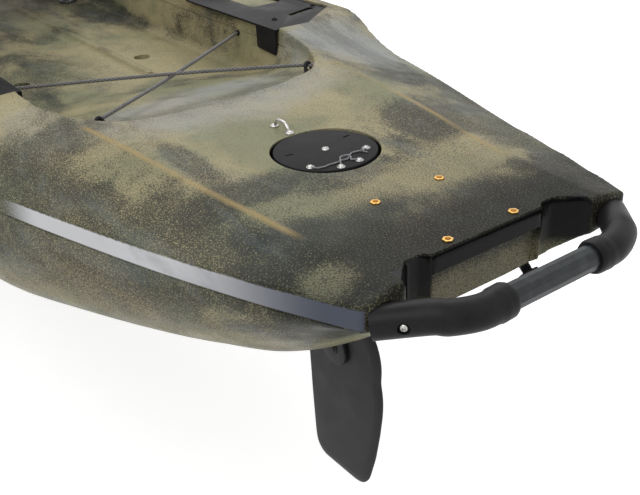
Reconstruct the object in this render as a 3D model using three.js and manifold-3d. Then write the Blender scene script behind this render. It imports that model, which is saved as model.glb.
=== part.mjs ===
// A moulded sit-on-top pedal fishing kayak, built as separate pieces, in millimetres.
// X runs to the bow, Y to port and Z up. The origin is the middle of the keel's flat.
import * as THREE from 'three';
import { mergeVertices } from 'three/addons/utils/BufferGeometryUtils.js';
import Module from 'manifold-3d';

const wasm = await Module();
wasm.setup();

// Driving dimensions. Shares follow the size that their table names.

const fit = { gap: 0.3, running: 0.4, overrun: 40, cordSides: 8, sides: 10, fineSides: 16, drumSides: 32 };

const hull = {
  length: 3806, beam: 864, depth: 300, wall: 6, band: 25, keelFlat: 76,
  cavityShare: 0.6, stations: 32, bottomSteps: 6,
  sectionShares: { crease: 0.94, keelFlat: 0.2 }, ends: { first: 0.036, last: 0.985, near: 0.45, far: 0.35 },
};

// Each row is [share of the length from the stern, value]; half widths are shares of half the beam,
// rises and keel depths are shares of the hull's depth, measured from the aft deck.
const sheerHalfShares = [[0, 0.465], [0.034, 0.574], [0.088, 0.722], [0.136, 0.847], [0.163, 0.905],
  [0.195, 0.954], [0.22, 0.977], [0.3, 0.996], [0.42, 1], [0.54, 1], [0.65, 0.97], [0.74, 0.89],
  [0.82, 0.75], [0.89, 0.55], [0.94, 0.36], [0.975, 0.19], [1, 0.05]];
const sheerRiseShares = [[0, -0.03], [0.034, -0.053], [0.088, -0.078], [0.163, -0.08], [0.177, -0.057],
  [0.187, -0.03], [0.195, 0.013], [0.202, 0.057], [0.211, 0.085], [0.25, 0.088], [0.5, 0.11],
  [0.65, 0.14], [0.8, 0.2], [0.9, 0.26], [1, 0.3]];
const creaseHalfShares = [[0, 0.36], [0.025, 0.375], [0.054, 0.398], [0.087, 0.442], [0.133, 0.488],
  [0.19, 0.545], [0.217, 0.58], [0.3, 0.61], [0.45, 0.62], [0.6, 0.6], [0.7, 0.54], [0.8, 0.44],
  [0.9, 0.25], [0.96, 0.1], [1, 0.018]];
const creaseRiseShares = [[0, 0], [0.025, 0], [0.044, 0], [0.056, 0.004], [0.087, 0.023], [0.133, 0.045],
  [0.17, 0.05], [0.19, 0.062], [0.211, 0.085], [0.3, 0.1], [0.5, 0.13], [0.65, 0.19], [0.78, 0.32],
  [0.9, 0.38], [1, 0.34]];
const centreRiseShares = [[0, 0], [0.15, 0], [0.211, 0.06], [0.3, 0.1], [0.5, 0.13], [0.65, 0.21],
  [0.78, 0.37], [0.9, 0.42], [1, 0.35]];
const keelShares = [[0, -0.17], [0.007, -0.235], [0.016, -0.32], [0.033, -0.52], [0.046, -0.65],
  [0.059, -0.75], [0.085, -0.85], [0.125, -0.92], [0.164, -0.96], [0.217, -0.99], [0.27, -1],
  [0.72, -1], [0.8, -0.965], [0.87, -0.86], [0.92, -0.66], [0.96, -0.36], [0.985, -0.06], [1, 0.14]];
const fullnessShares = [[0, 1.8], [0.07, 1.9], [0.09, 2.1], [0.138, 2.65], [0.19, 3.4], [0.3, 3.6],
  [0.6, 3.2], [0.75, 2.6], [0.88, 2], [1, 1.6]];

const rudder = {
  inset: 325, drumDiameter: 140, drumThickness: 14, drumSink: 2, recessGap: 5, recessFloorGap: 1.6,
  grooveRadius: 4, screwDiameter: 15, screwHeight: 5, stockDiameter: 26,
  pocketDiameter: 250, pocketDepth: 190, pivotDepth: 300, pivotSetback: 18, pivotPin: 12,
  forkCheek: 8, forkWidth: 58, forkCrown: 14, crownShare: 1.3, bladeThickness: 15, bladeEdgeShare: 0.9,
  bladeFlatShare: 0.3, bladeGrip: 92, bladeSteps: 9, cordDiameter: 2.6, holeDiameter: 9,
};

// The drum screw's dome: [radius as a share of its diameter, rise as a share of its height].
const domeShares = [[0.5, 0], [0.4, 0.7], [0.2, 1]];

// The thin cord's route on the drum, in shares of its diameter: [x, y, lift] from the drum's middle.
const drumCordShares = [[-0.25, 0.35, 0], [-0.31, 0.335, 0], [-0.336, 0.268, 0], [-0.336, 0.189, 0],
  [-0.339, 0.116, 0], [-0.329, 0.057, 0], [-0.314, 0, 0], [-0.3, -0.043, 0], [-0.264, -0.086, 0],
  [-0.257, -0.143, 0], [-0.264, -0.214, 0], [-0.25, -0.286, 0]];

// The blade's outline aft and below its pivot, as shares of its drop from the pivot to the tip.
const bladeDrop = 250;
const bladeShares = [[0.324, -0.185], [0.32, -0.328], [0.318, -0.488], [0.311, -0.674], [0.303, -0.866], [0.29, -0.955],
  [0.23, -1], [-0.136, -0.99], [-0.19, -0.965], [-0.236, -0.904], [-0.298, -0.704], [-0.345, -0.484],
  [-0.371, -0.318], [-0.377, -0.22], [-0.37, -0.14]];

const handle = {
  tubeDiameter: 30, tubeSides: 12, setback: 386, drop: 22, endDrop: 32, halfLength: 100, elbowDiameter: 37,
  elbowHalf: 117, elbowEnd: 63, stub: 94, bend: 18, screwHead: 10, screwHeadHeight: 4,
  screwShank: 5, screwLength: 24, screwShare: 0.48, screwSink: 3,
  screwCrownShare: 0.7, elbowSteps: 12,
};

const lip = { setback: 300, half: 85, notchHalf: 127, notchSetback: 290, depth: 25, flare: 6, slant: 14 };

const insert = {
  flange: 12.7, flangeHeight: 1.6, bore: 5, boreShare: 0.7, body: 9, length: 12,
  half: 50.5, fore: 165, aft: 286.6,
};

const padeye = {
  aft: 83, fore: 121, height: 15, rod: 5, footDiameter: 13, footHeight: 2.4, shoulderShare: 0.75,
};

// The cargo well starts at a distance from the rudder's axis and opens forward into the footwell. Both
// wells' outlines are [x, y] half outlines from the aft middle to the fore middle, as shares.
const cargo = {
  aft: 258, overlap: 22, half: 250, depth: 80, ribHalf: 85, ribWidth: 22, ribHeight: 9,
  ribStartShare: 0.2935, ribEndShare: 0.7867, ribTopShare: 0.5,
};
const cargoRimShares = [[0, 0], [0, 0.44], [0.003, 0.6], [0.012, 0.72], [0.029, 0.812], [0.068, 0.92],
  [0.113, 0.988], [0.368, 1], [0.591, 1.03], [0.606, 1.07], [0.97, 1.07], [1, 0.96], [1, 0]];
const cargoFloorShares = [[0.281, 0], [0.27, 0.44], [0.26, 0.6], [0.242, 0.78], [0.225, 0.9],
  [0.219, 0.97], [0.3, 0.972], [0.436, 0.974], [0.591, 0.99], [0.606, 1.03], [0.965, 1.03], [0.99, 0.92],
  [0.99, 0]];

const footwell = { aft: 130, foreClear: 114, half: 262, floor: 120, draft: 0.94 };
const footwellShares = [[0, 0], [0, 0.9], [0.03, 1], [0.5, 1], [0.75, 0.93], [0.93, 0.78], [1, 0.6], [1, 0]];

const driveSlot = { aft: 370, fore: 740, half: 46 };
const scupper = { diameter: 34, aft: 818, aftHalf: 130, fore: 250, foreHalf: 190 };

const bracket = {
  thickness: 4, rise: 19, fore: 800, tabDrop: 45, tabShare: 0.9, tabStart: 468, tabEnd: 534, half: 241.5,
  midX: 466, midHalf: 312, outerX: 528, outerHalf: 402, slotAftX: 536, slotAftHalf: 322, slotForeX: 550.5,
  slotForeHalf: 375, slotWidth: 13, windowX: 640, windowLength: 112, windowHalf: 300, windowWidth: 70,
};

const shockCord = {
  diameter: 6, aftX: 307, aftHalf: 184, aftDrop: 3, foreX: 612, foreHalf: 240, foreDrop: 12,
};
const anchor = { diameter: 12, height: 9, foot: 3, foreGap: 2.2, foreLength: 4.4 };

const steering = {
  x: 60, half: 322, gripLength: 96, gripWidth: 16, gripHeight: 46, shaftDiameter: 14,
  sheaveDiameter: 46, sheaveHeight: 10, sheaveDepth: 55, lineDiameter: 3.2, collar: 30,
  collarHeight: 6, gripShare: 0.55, lineHole: 12, lineInset: 34, lineDrop: 70, lineDeep: 91, lineTension: 0.2,
  lineAftShare: 0.715, lineForeShare: 1.7, lineHalfShare: 0.8, lineStartShare: 0.1, lineEndShare: 0.025,
  lineSteps: 20,
};
const pullHandle = { x: -60, spacing: 40, bar: 11, length: 46, stem: 5, rise: 16, sink: 14, stroke: 20 };

const drive = {
  clearance: 6, housingHalf: 38, flangeHeight: 8, flangeReach: 14, flangeHalf: 64, bodyBottom: 12,
  crankX: 570, crankHeight: 170, postLength: 84, postTop: 34, crankLength: 330, crankWidth: 34,
  crankThickness: 16, hub: 30, hubShare: 0.7, hubEyeShare: 1.6, pin: 12, pinShare: 0.1,
  drumSpacing: 190, drumDepth: 14, drumRadius: 23, drumWidth: 26, ear: 10, axle: 10,
  mast: 11, mastTop: 16, mastLength: 330, finTop: 56,
  finLength: 384, finRoot: 152, finNose: 17, finThickness: 17,
};
// A fin's chord down its length, and its half thickness back from its nose, as shares.
const finChordShares = [[0, 0.3], [0.12, 0.94], [0.4, 1], [0.75, 0.84], [0.94, 0.62], [1, 0.4]];
const finSectionShares = [[0, 0.868], [0.2, 0.872], [0.4, 0.468], [0.6, 0.393], [0.8, 0.285], [1, 0.14]];

const pedal = { length: 150, width: 96, thickness: 20, offset: 8, axle: 12 };
// The pedal's outline with its raised heel cup, as shares of half its length and half its thickness.
const pedalShares = [[-0.9, -1], [0.8, -1], [1, 0.4], [0.8, 1], [-0.6, 1], [-1, 4.6], [-1.06, 4.14]];

const shiftHandle = { x: 700, half: 18, bar: 12, length: 52, stem: 6, rise: 26, depth: 20, stroke: 24 };
const lockLever = { x: 555, half: 84, hub: 7, width: 24, arm: 8, height: 26, hook: 22, lug: 8, pin: 5 };

const seat = {
  aft: -330, fore: 110, half: 214, tube: 25, height: 342, rise: 10, legAft: -170, legFore: 60,
  foot: 46, footHeight: 6, crossAft: -210, crossFore: 10, pad: 48, padInset: 18, padAft: -276,
  padFore: 104, padCornerShare: 0.3, padSideShare: 0.86, padCrownShare: 0.07, padChannelShare: 0.035,
  padChannels: 6,
  hingeX: -306, hingeZ: 396, ear: 9, earShare: 0.7, webShare: 0.3, pin: 9, backTube: 22, backInset: 36,
  backHeight: 440, backLeanDegrees: 14, backHubShare: 1.3, backPad: 40, backPadBottom: 66,
  backPadTopClear: 18, backCorner: 60, backPadShare: 0.36, backSteps: 28,
};
// The cushions' outlines through their thickness: [rise, width], as shares.
const seatPadShares = [[0, 0.93], [0.2, 1], [0.62, 1], [0.84, 0.95], [1, 0.82]];
const backPadShares = [[0, 0.86], [0.25, 1], [0.7, 1], [1, 0.86]];

const rail = {
  aft: 300, foreClear: 120, half: 352, tube: 30, rise: 62, legs: 3, endShare: 0.06, legShare: 0.7,
  foot: 44, footHeight: 6,
};
const boss = { height: 5, margin: 6 };

// Insets are measured back from the bow.
const hatch = {
  inset: 513, length: 360, width: 250, outlineShare: 0.62, rim: 16, rimDepth: 60, coaming: 20, lid: 10,
  lidOverhang: 8, skirt: 12, hinge: 9, hingeHalf: 60, hingeWidth: 22, earShare: 1.4, earDrop: 40,
  webShare: 0.8, knobDiameter: 42, knobShare: 0.7, knobHeight: 9, bar: 14, stem: 12,
  tongue: 46, tongueThickness: 4,
};
const floorHatch = {
  x: 248, length: 130, width: 170, rim: 8, coaming: 6, lid: 8, skirt: 7.2, knobDiameter: 30.24,
  knobShare: 0.861, tongue: 36.8, tongueDrop: 16,
};

const bowHandle = {
  aftInset: 213, foreInset: 81, rod: 17, rise: 46, foot: 30, footHeight: 6, runShare: 0.22,
};
const carry = {
  bracketGap: 138, half: 376, reach: 44, length: 120, rod: 16, gripShare: 1.25, pin: 8, lug: 14,
  lugHeight: 20, padShare: 2.4,
};
const drain = {
  head: 26, headGap: 1, headHeight: 5, shank: 14, length: 18, wingShare: 0.6, wingHeight: 6, half: 96,
  drop: 100, slopeShare: 0.9,
};

// Places worked out from the driving dimensions.

const halfBeam = hull.beam / 2;
const sternX = -hull.length / 2;
const bowX = hull.length / 2;
const rudderX = sternX + rudder.inset;
const deckZ = hull.depth;
const hatchX = bowX - hatch.inset;
const footwellFore = hatchX - hatch.length / 2 - hatch.rim - footwell.foreClear;
const cargoFore = footwell.aft + cargo.overlap;
const railFore = footwellFore - rail.foreClear;
const bowFeet = [bowX - bowHandle.aftInset, bowX - bowHandle.foreInset];
const floorZ = deckZ - cargo.depth;
const radians = Math.PI / 180;

function fromRudder(x) {
  return rudderX + x;
}

const carryX = fromRudder(bracket.fore) + carry.bracketGap;

// Slopes of a smooth curve through a table that never overshoots its rows.
function tableSlopes(table) {
  const steps = table.slice(1).map(([u, v], i) => (v - table[i][1]) / (u - table[i][0]));
  return table.map((row, i) => {
    if (i === 0) return steps[0];
    if (i === table.length - 1) return steps[i - 1];
    const [before, after] = [steps[i - 1], steps[i]];
    return before * after <= 0 ? 0 : (2 * before * after) / (before + after);
  });
}

function smoothTable(table) {
  const slopes = tableSlopes(table);
  return (u) => {
    const last = table.length - 2;
    const i = Math.min(last, Math.max(0, table.findIndex((row) => row[0] > u) - 1 + (u >= 1 ? last + 2 : 0)));
    const [u0, v0] = table[i];
    const [u1, v1] = table[i + 1];
    const span = u1 - u0;
    const t = Math.min(1, Math.max(0, (u - u0) / span));
    const [t2, t3] = [t * t, t * t * t];
    return (2 * t3 - 3 * t2 + 1) * v0 + (t3 - 2 * t2 + t) * span * slopes[i]
      + (3 * t2 - 2 * t3) * v1 + (t3 - t2) * span * slopes[i + 1];
  };
}

const sheerHalf = smoothTable(sheerHalfShares);
const sheerRise = smoothTable(sheerRiseShares);
const creaseHalf = smoothTable(creaseHalfShares);
const creaseRise = smoothTable(creaseRiseShares);
const centreRise = smoothTable(centreRiseShares);
const keelDepth = smoothTable(keelShares);
const fullness = smoothTable(fullnessShares);

function lengthShare(x) {
  return (x - sternX) / hull.length;
}

// The height of the gunwale between the crease and the sheer, at a place in plan.
function gunwaleHeight(x, y) {
  const u = lengthShare(x);
  const inner = creaseHalf(u) * halfBeam;
  const outer = sheerHalf(u) * halfBeam;
  const t = (Math.abs(y) - inner) / (outer - inner);
  return deckZ + hull.depth * (creaseRise(u) + (sheerRise(u) - creaseRise(u)) * t);
}

// Geometry helpers.

function solidOf(geometry) {
  const bare = geometry.clone();
  bare.deleteAttribute('normal');
  bare.deleteAttribute('uv');
  const merged = mergeVertices(bare);
  const mesh = new wasm.Mesh({
    numProp: 3,
    vertProperties: new Float32Array(merged.attributes.position.array),
    triVerts: new Uint32Array(merged.index.array),
  });
  return new wasm.Manifold(mesh);
}

function geometryOf(solid) {
  const mesh = solid.getMesh();
  const geometry = new THREE.BufferGeometry();
  geometry.setAttribute('position', new THREE.BufferAttribute(new Float32Array(mesh.vertProperties), 3));
  geometry.setIndex(new THREE.BufferAttribute(new Uint32Array(mesh.triVerts), 1));
  return geometry;
}

function joined(...solids) {
  return solids.reduce((sum, solid) => sum.add(solid));
}

function cut(solid, ...tools) {
  return tools.reduce((rest, tool) => rest.subtract(tool), solid);
}

function moved(geometry, [x, y, z], turn = [0, 0, 0]) {
  const matrix = new THREE.Matrix4().makeRotationFromEuler(new THREE.Euler(...turn));
  matrix.setPosition(x, y, z);
  return geometry.applyMatrix4(matrix);
}

function block(low, high) {
  const size = high.map((value, i) => value - low[i]);
  const middle = high.map((value, i) => (value + low[i]) / 2);
  return solidOf(moved(new THREE.BoxGeometry(...size), middle));
}

// A round bar between two points.
function bar(start, end, diameter, sides = fit.sides, endDiameter = diameter) {
  const [a, b] = [new THREE.Vector3(...start), new THREE.Vector3(...end)];
  const along = new THREE.Vector3().subVectors(b, a);
  const geometry = new THREE.CylinderGeometry(endDiameter / 2, diameter / 2, along.length(), sides);
  const up = new THREE.Vector3(0, 1, 0);
  const turn = new THREE.Quaternion().setFromUnitVectors(up, along.clone().normalize());
  const middle = new THREE.Vector3().addVectors(a, b).multiplyScalar(0.5);
  const plainScale = new THREE.Vector3(1, 1, 1);
  return solidOf(geometry.applyMatrix4(new THREE.Matrix4().compose(middle, turn, plainScale)));
}

function disc(x, y, low, high, diameter, sides = fit.fineSides) {
  return bar([x, y, low], [x, y, high], diameter, sides);
}

// A body turned about the vertical line through a place; the profile holds [radius, height] rows.
function turned(profile, [x, y, z], sides = fit.fineSides) {
  const points = profile.map(([radius, height]) => new THREE.Vector2(radius, height));
  const geometry = new THREE.LatheGeometry(points, sides);
  return outward(moved(geometry, [x, y, z], [Math.PI / 2, 0, 0]));
}

// A tube swept along a smooth route through points.
function swept(route, diameter, steps, sides = 8, rounding = 0.5) {
  const places = route.map((p) => new THREE.Vector3(...p));
  const curve = new THREE.CatmullRomCurve3(places, false, 'catmullrom', rounding);
  const section = new THREE.Shape();
  for (let i = 0; i < sides; i += 1) {
    const angle = (2 * Math.PI * i) / sides;
    const place = [Math.cos(angle) * diameter / 2, Math.sin(angle) * diameter / 2];
    if (i === 0) section.moveTo(...place);
    else section.lineTo(...place);
  }
  section.closePath();
  return outward(new THREE.ExtrudeGeometry(section, { steps, extrudePath: curve, curveSegments: 1 }));
}

// A flat plate: an outline in X and Y, or in X and Z when it stands, given a thickness.
function plate(outline, low, high, standing = false) {
  const shape = new THREE.Shape(outline.map(([a, b]) => new THREE.Vector2(a, b)));
  const options = { depth: high - low, bevelEnabled: false, curveSegments: 1 };
  const geometry = new THREE.ExtrudeGeometry(shape, options);
  if (standing) return outward(moved(geometry, [0, high, 0], [Math.PI / 2, 0, 0]));
  return outward(moved(geometry, [0, 0, low]));
}

function outward(geometry) {
  const solid = solidOf(geometry);
  if (solid.volume() > 0) return solid;
  const bare = geometryOf(solid);
  bare.index.array.reverse();
  return solidOf(bare);
}

// A solid through rings of points, split alike on both sides of the middle plane. Its end rings are
// closed with flat caps seen along one axis.
function lofted(rings, capAxis) {
  const count = rings[0].length;
  const index = [];
  for (let r = 0; r + 1 < rings.length; r += 1) {
    for (let i = 0; i < count; i += 1) {
      const next = (i + 1) % count;
      const [a, b] = [r * count + i, r * count + next];
      const starboard = rings[r][i][1] + rings[r][next][1] < 0;
      if (starboard) index.push(a, b, a + count, b, b + count, a + count);
      else index.push(a, b, b + count, a, b + count, a + count);
    }
  }
  const flat = (ring) => ring.map((p) => new THREE.Vector2(...p.filter((value, axis) => axis !== capAxis)));
  const closeEnd = (first, ring, withRing) => {
    const contour = flat(ring);
    const turn = Math.sign(THREE.ShapeUtils.area(contour));
    for (const face of THREE.ShapeUtils.triangulateShape(contour, [])) {
      const faceTurn = Math.sign(THREE.ShapeUtils.area(face.map((i) => contour[i])));
      const order = (faceTurn === turn) === withRing ? face : [...face].reverse();
      index.push(...order.map((i) => first + i));
    }
  };
  closeEnd(0, rings[0], false);
  closeEnd((rings.length - 1) * count, rings[rings.length - 1], true);
  const geometry = new THREE.BufferGeometry();
  geometry.setAttribute('position', new THREE.Float32BufferAttribute(rings.flat(2), 3));
  geometry.setIndex(index);
  return outward(geometry);
}

// The hull's section at a share of its length, drawn in by a wall.
function hullSection(u, inset) {
  const x = sternX + u * hull.length;
  const top = (rise) => deckZ + rise * hull.depth - inset;
  const half = sheerHalf(u) * halfBeam - inset;
  const crease = Math.min(creaseHalf(u) * halfBeam, half * hull.sectionShares.crease);
  const bandZ = top(sheerRise(u)) - hull.band;
  const keelZ = deckZ + keelDepth(u) * hull.depth + inset;
  const flatHalf = Math.min(hull.keelFlat / 2, half * hull.sectionShares.keelFlat);
  const side = [[crease / 2, top((centreRise(u) + creaseRise(u)) / 2)], [crease, top(creaseRise(u))],
    [half, top(sheerRise(u))], [half, bandZ]];
  for (let i = 1; i <= hull.bottomSteps; i += 1) {
    const angle = (Math.PI / 2) * (i / hull.bottomSteps);
    const power = 2 / fullness(u);
    const wide = i === hull.bottomSteps ? 0 : Math.cos(angle) ** power;
    side.push([flatHalf + (half - flatHalf) * wide, bandZ + (keelZ - bandZ) * Math.sin(angle) ** power]);
  }
  const port = side.map(([y, z]) => [x, y, z]);
  const starboard = side.map(([y, z]) => [x, -y, z]).reverse();
  return [[x, 0, top(centreRise(u))], ...port, ...starboard];
}

// Stations gather at the ends, where the hull's shape changes fastest.
function hullStations(first, last, count) {
  const places = [];
  for (let i = 0; i < count; i += 1) {
    const t = i / (count - 1);
    const turn = 2 * Math.PI * t;
    const near = (hull.ends.near * Math.sin(2 * turn)) / (4 * Math.PI);
    const far = (hull.ends.far * Math.sin(turn)) / (2 * Math.PI);
    places.push(first + (last - first) * (t - near - far));
  }
  return places;
}

function hullLoft(inset, first, last, count) {
  return lofted(hullStations(first, last, count).map((u) => hullSection(u, inset)), 0);
}

// Plan outlines.

function mirroredRing(halfOutline, z) {
  const inner = halfOutline.slice(1, -1);
  const middle = halfOutline.slice(-1);
  const ring = [halfOutline[0], ...inner, ...middle, ...inner.map(([x, y]) => [x, -y]).reverse()];
  return ring.map(([x, y]) => [x, y, z]);
}

function grownOutline(outline, distance) {
  return outline.map(([x, y], i) => {
    const before = outline[Math.max(0, i - 1)];
    const after = outline[Math.min(outline.length - 1, i + 1)];
    const legs = [[x - before[0], y - before[1]], [after[0] - x, after[1] - y]];
    const normals = legs.map(([dx, dy]) => {
      const size = Math.hypot(dx, dy) || 1;
      return [-dy / size, dx / size];
    });
    if (i === 0) return [x + normals[1][0] * distance, y];
    if (i === outline.length - 1) return [x + normals[0][0] * distance, y];
    const [nx, ny] = [normals[0][0] + normals[1][0], normals[0][1] + normals[1][1]];
    const scale = (2 * distance) / (nx * nx + ny * ny);
    return [x + nx * scale, y + ny * scale];
  });
}

function planOutline(shares, aft, fore, half) {
  return shares.map(([along, across]) => [aft + along * (fore - aft), across * half]);
}

// A well's tool: its floor outline, its rim outline and the open air above.
function wellTool(floorOutline, rimOutline, floor, rimZ, grow) {
  const open = deckZ + hull.depth;
  const low = mirroredRing(grownOutline(floorOutline, grow), floor - grow);
  const high = grownOutline(rimOutline, grow);
  return lofted([low, mirroredRing(high, rimZ), mirroredRing(high, open)], 2);
}

function cargoTool(grow) {
  const [aft, fore] = [fromRudder(cargo.aft), cargoFore];
  const rim = planOutline(cargoRimShares, aft, fore, cargo.half);
  const floor = planOutline(cargoFloorShares, aft, fore, cargo.half);
  return wellTool(floor, rim, floorZ, deckZ, grow);
}

function footwellTool(grow) {
  const rim = planOutline(footwellShares, footwell.aft, footwellFore, footwell.half);
  const floor = planOutline(footwellShares, footwell.aft, footwellFore, footwell.half * footwell.draft);
  return wellTool(floor, rim, footwell.floor, deckZ, grow);
}

function driveSlotTool(grow) {
  return block([driveSlot.aft - grow, -driveSlot.half - grow, -fit.overrun],
    [driveSlot.fore + grow, driveSlot.half + grow, deckZ]);
}

// Two distances from the middle plane on one side, the lower one first.
function spread(side, a, b) {
  return [side * a, side * b].sort((p, q) => p - q);
}

const materials = {};

function material(name, color, roughness, metalness = 0) {
  materials[name] = () => new THREE.MeshStandardMaterial({ color, roughness, metalness });
}

material('hull', 0x8c8568, 0.55);
material('black', 0x1c1c1d, 0.6);
material('rubber', 0x232325, 0.75);
material('tube', 0x3a4347, 0.4);
material('blade', 0x4a4b4d, 0.65);
material('cord', 0x8f8c8c, 0.85);
material('line', 0xb9bdbd, 0.8);
material('brass', 0xc79a3e, 0.35, 0.9);
material('steel', 0xc8cacc, 0.25, 1);
material('aluminium', 0xa9acae, 0.4, 0.9);
material('fin', 0x2d3033, 0.5);
material('fabric', 0x55585a, 0.9);
material('lid', 0x6f6d5a, 0.6);

const kayak = new THREE.Group();

function add(name, finish, solid) {
  const mesh = new THREE.Mesh(geometryOf(solid), materials[finish]());
  mesh.name = name;
  kayak.add(mesh);
  return solid;
}

function bothSides(make) {
  make('port', 1);
  make('starboard', -1);
}

// The rudder's places.

const drumTop = deckZ - rudder.drumSink;
const drumBottom = drumTop - rudder.drumThickness;
const recessFloor = drumBottom - rudder.recessFloorGap;
const recessDiameter = rudder.drumDiameter + 2 * rudder.recessGap;
const pocketTop = deckZ - rudder.pocketDepth;
const pivotX = fromRudder(-rudder.pivotSetback);
const pivotZ = deckZ - rudder.pivotDepth;
const stockBore = (rudder.stockDiameter + 2 * fit.running) / Math.cos(Math.PI / fit.sides);
const lineZ = (drumTop + drumBottom) / 2;
const lineReach = (steering.lineDiameter / 2 + fit.gap) * Math.SQRT2;
const lineRadius = rudder.drumDiameter / 2 - rudder.grooveRadius + lineReach;

// The seats that the stern handle's elbows lie in.
function elbowRoute(side, extra = 0) {
  const x = fromRudder(-handle.setback);
  const z = deckZ - handle.drop;
  const reach = (handle.stub + extra) * Math.SQRT1_2;
  const corner = handle.bend;
  const slant = corner * Math.SQRT1_2;
  return [
    [x + reach, side * (handle.elbowHalf + reach), deckZ - handle.endDrop],
    [x + slant * 2, side * (handle.elbowHalf + slant * 2), z],
    [x + slant, side * (handle.elbowHalf + slant), z],
    [x, side * (handle.elbowHalf - corner), z],
    [x, side * handle.elbowEnd, z],
  ];
}

function sternNotch(side) {
  const low = deckZ - hull.depth / 2;
  const high = deckZ + fit.overrun;
  const x0 = sternX - fit.overrun;
  const outline = [[x0, 0], [x0, side * (lip.notchHalf + lip.slant)],
    [fromRudder(-lip.notchSetback - lip.depth), side * (lip.notchHalf + lip.slant)],
    [fromRudder(-lip.notchSetback), side * (lip.notchHalf - lip.slant)],
    [fromRudder(-lip.notchSetback), side * (lip.half + lip.flare)],
    [fromRudder(-lip.setback), side * lip.half], [fromRudder(-lip.setback), 0]];
  return plate(side > 0 ? outline.reverse() : outline, low, high);
}

// What stands on the hull's skin: bosses, lugs and hatch rims, each with a flat top.

const railFeet = Array.from({ length: rail.legs }, (unused, i) => {
  const start = rail.aft + rail.endShare * (railFore - rail.aft);
  const end = railFore - rail.endShare * (railFore - rail.aft);
  return start + ((end - start) * i) / (rail.legs - 1);
});

function highestUnder(x, y, reach) {
  const corners = [[-1, -1], [-1, 1], [1, -1], [1, 1]];
  return Math.max(...corners.map(([a, b]) => gunwaleHeight(x + a * reach, Math.abs(y) + b * reach)));
}

const railBossZ = Math.max(...railFeet.map((x) => highestUnder(x, rail.half, rail.foot / 2))) + boss.height;
const carryZ = highestUnder(carryX, carry.half, carry.length / 2) + boss.height;
const carryAxisZ = carryZ + carry.lugHeight / 2;
const hatchTopZ = deckZ + centreRise(lengthShare(hatchX + hatch.length / 2)) * hull.depth + hatch.coaming;
const floorRimZ = footwell.floor + floorHatch.coaming;

function oval(length, width, corner) {
  const points = [];
  const [a, b, power] = [length / 2, width / 2, corner];
  for (let i = 0; i < fit.fineSides; i += 1) {
    const angle = (2 * Math.PI * (i + 0.5)) / fit.fineSides;
    const [c, s] = [Math.cos(angle), Math.sin(angle)];
    points.push([a * Math.sign(c) * Math.abs(c) ** power, b * Math.sign(s) * Math.abs(s) ** power]);
  }
  return points;
}

function ovalPlate(x, length, width, low, high) {
  const outline = oval(length, width, hatch.outlineShare).map(([a, b]) => [x + a, b]);
  return plate(outline, low, high);
}

// Two ears that hold a pin along one axis, on either side of a piece of the given width.
function pinEars(centre, axis, halfSpan, thickness, size, low, pin) {
  const ears = [-1, 1].map((side) => {
    const inner = halfSpan + fit.running;
    const ends = [side * inner, side * (inner + thickness)].sort((a, b) => a - b);
    const [cx, cy, cz] = centre;
    const top = cz + size / 2;
    if (axis === 'x') return block([cx + ends[0], cy - size / 2, low], [cx + ends[1], cy + size / 2, top]);
    return block([cx - size / 2, cy + ends[0], low], [cx + size / 2, cy + ends[1], top]);
  });
  const reach = halfSpan + thickness * 2;
  const along = (side) => (axis === 'x' ? [side * reach, 0, 0] : [0, side * reach, 0]);
  const ends = [-1, 1].map((side) => along(side).map((value, i) => value + centre[i]));
  return { ears, bore: bar(ends[0], ends[1], pin + 2 * fit.running) };
}

const hatchHinge = {
  x: hatchX + hatch.length / 2 + hatch.rim + (hatch.lidOverhang + hatch.hinge * 2) / 2,
  z: hatchTopZ + hatch.hinge / 2 + fit.gap,
};
const floorHinge = {
  x: floorHatch.x - floorHatch.length / 2 - floorHatch.rim - (hatch.lidOverhang + hatch.hinge * 2) / 2,
  z: floorRimZ + hatch.hinge / 2 + fit.gap,
};

function hingeEars(hinge, low) {
  return [-1, 1].map((side) => {
    const centre = [hinge.x, side * hatch.hingeHalf, hinge.z];
    const size = hatch.hinge * hatch.earShare;
    return pinEars(centre, 'y', hatch.hingeWidth / 2, hatch.hinge, size, low, hatch.hinge / 2);
  });
}

const carryEars = [1, -1].map((side) => pinEars([carryX, side * carry.half, carryAxisZ], 'x',
  carry.length / 2, carry.lug, carry.lugHeight, carryZ - boss.height * 2, carry.pin));
const hatchEars = hingeEars(hatchHinge, hatchTopZ - hatch.earDrop);
const floorEars = hingeEars(floorHinge, footwell.floor - hull.wall / 2);

function hullPads() {
  const pads = [];
  bothSides((name, side) => {
    for (const x of railFeet) {
      const [low, high] = [gunwaleHeight(x, rail.half) - boss.height * 2, railBossZ];
      pads.push(disc(x, side * rail.half, low, high, rail.foot + boss.margin, fit.sides));
    }
    for (const end of [-1, 1]) {
      const x = carryX + end * (carry.length / 2 + carry.lug / 2);
      const low = gunwaleHeight(x, carry.half) - boss.height * 2;
      pads.push(disc(x, side * carry.half, low, carryZ, carry.lug * carry.padShare, fit.sides));
    }
    const [x, y] = [lockLever.x, side * lockLever.half];
    for (const end of [-1, 1]) {
      const inner = x + end * (lockLever.width / 2 + fit.running);
      const outer = inner + end * lockLever.lug;
      pads.push(block([Math.min(inner, outer), y - lockLever.hub, footwell.floor - hull.wall / 2],
        [Math.max(inner, outer), y + lockLever.hub, footwell.floor + lockLever.hub * 2]));
    }
  });
  return pads;
}

const lockZ = footwell.floor + lockLever.hub + fit.running;

function lockPin(side, diameter) {
  const reach = lockLever.width / 2 + lockLever.lug;
  const y = side * lockLever.half;
  return bar([lockLever.x - reach, y, lockZ], [lockLever.x + reach, y, lockZ], diameter, 8);
}

function bowPads() {
  return bowFeet.map((x) => {
    const top = bowFootZ(x);
    return disc(x, 0, top - boss.height * 3, top, bowHandle.foot + boss.margin, fit.sides);
  });
}

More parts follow.
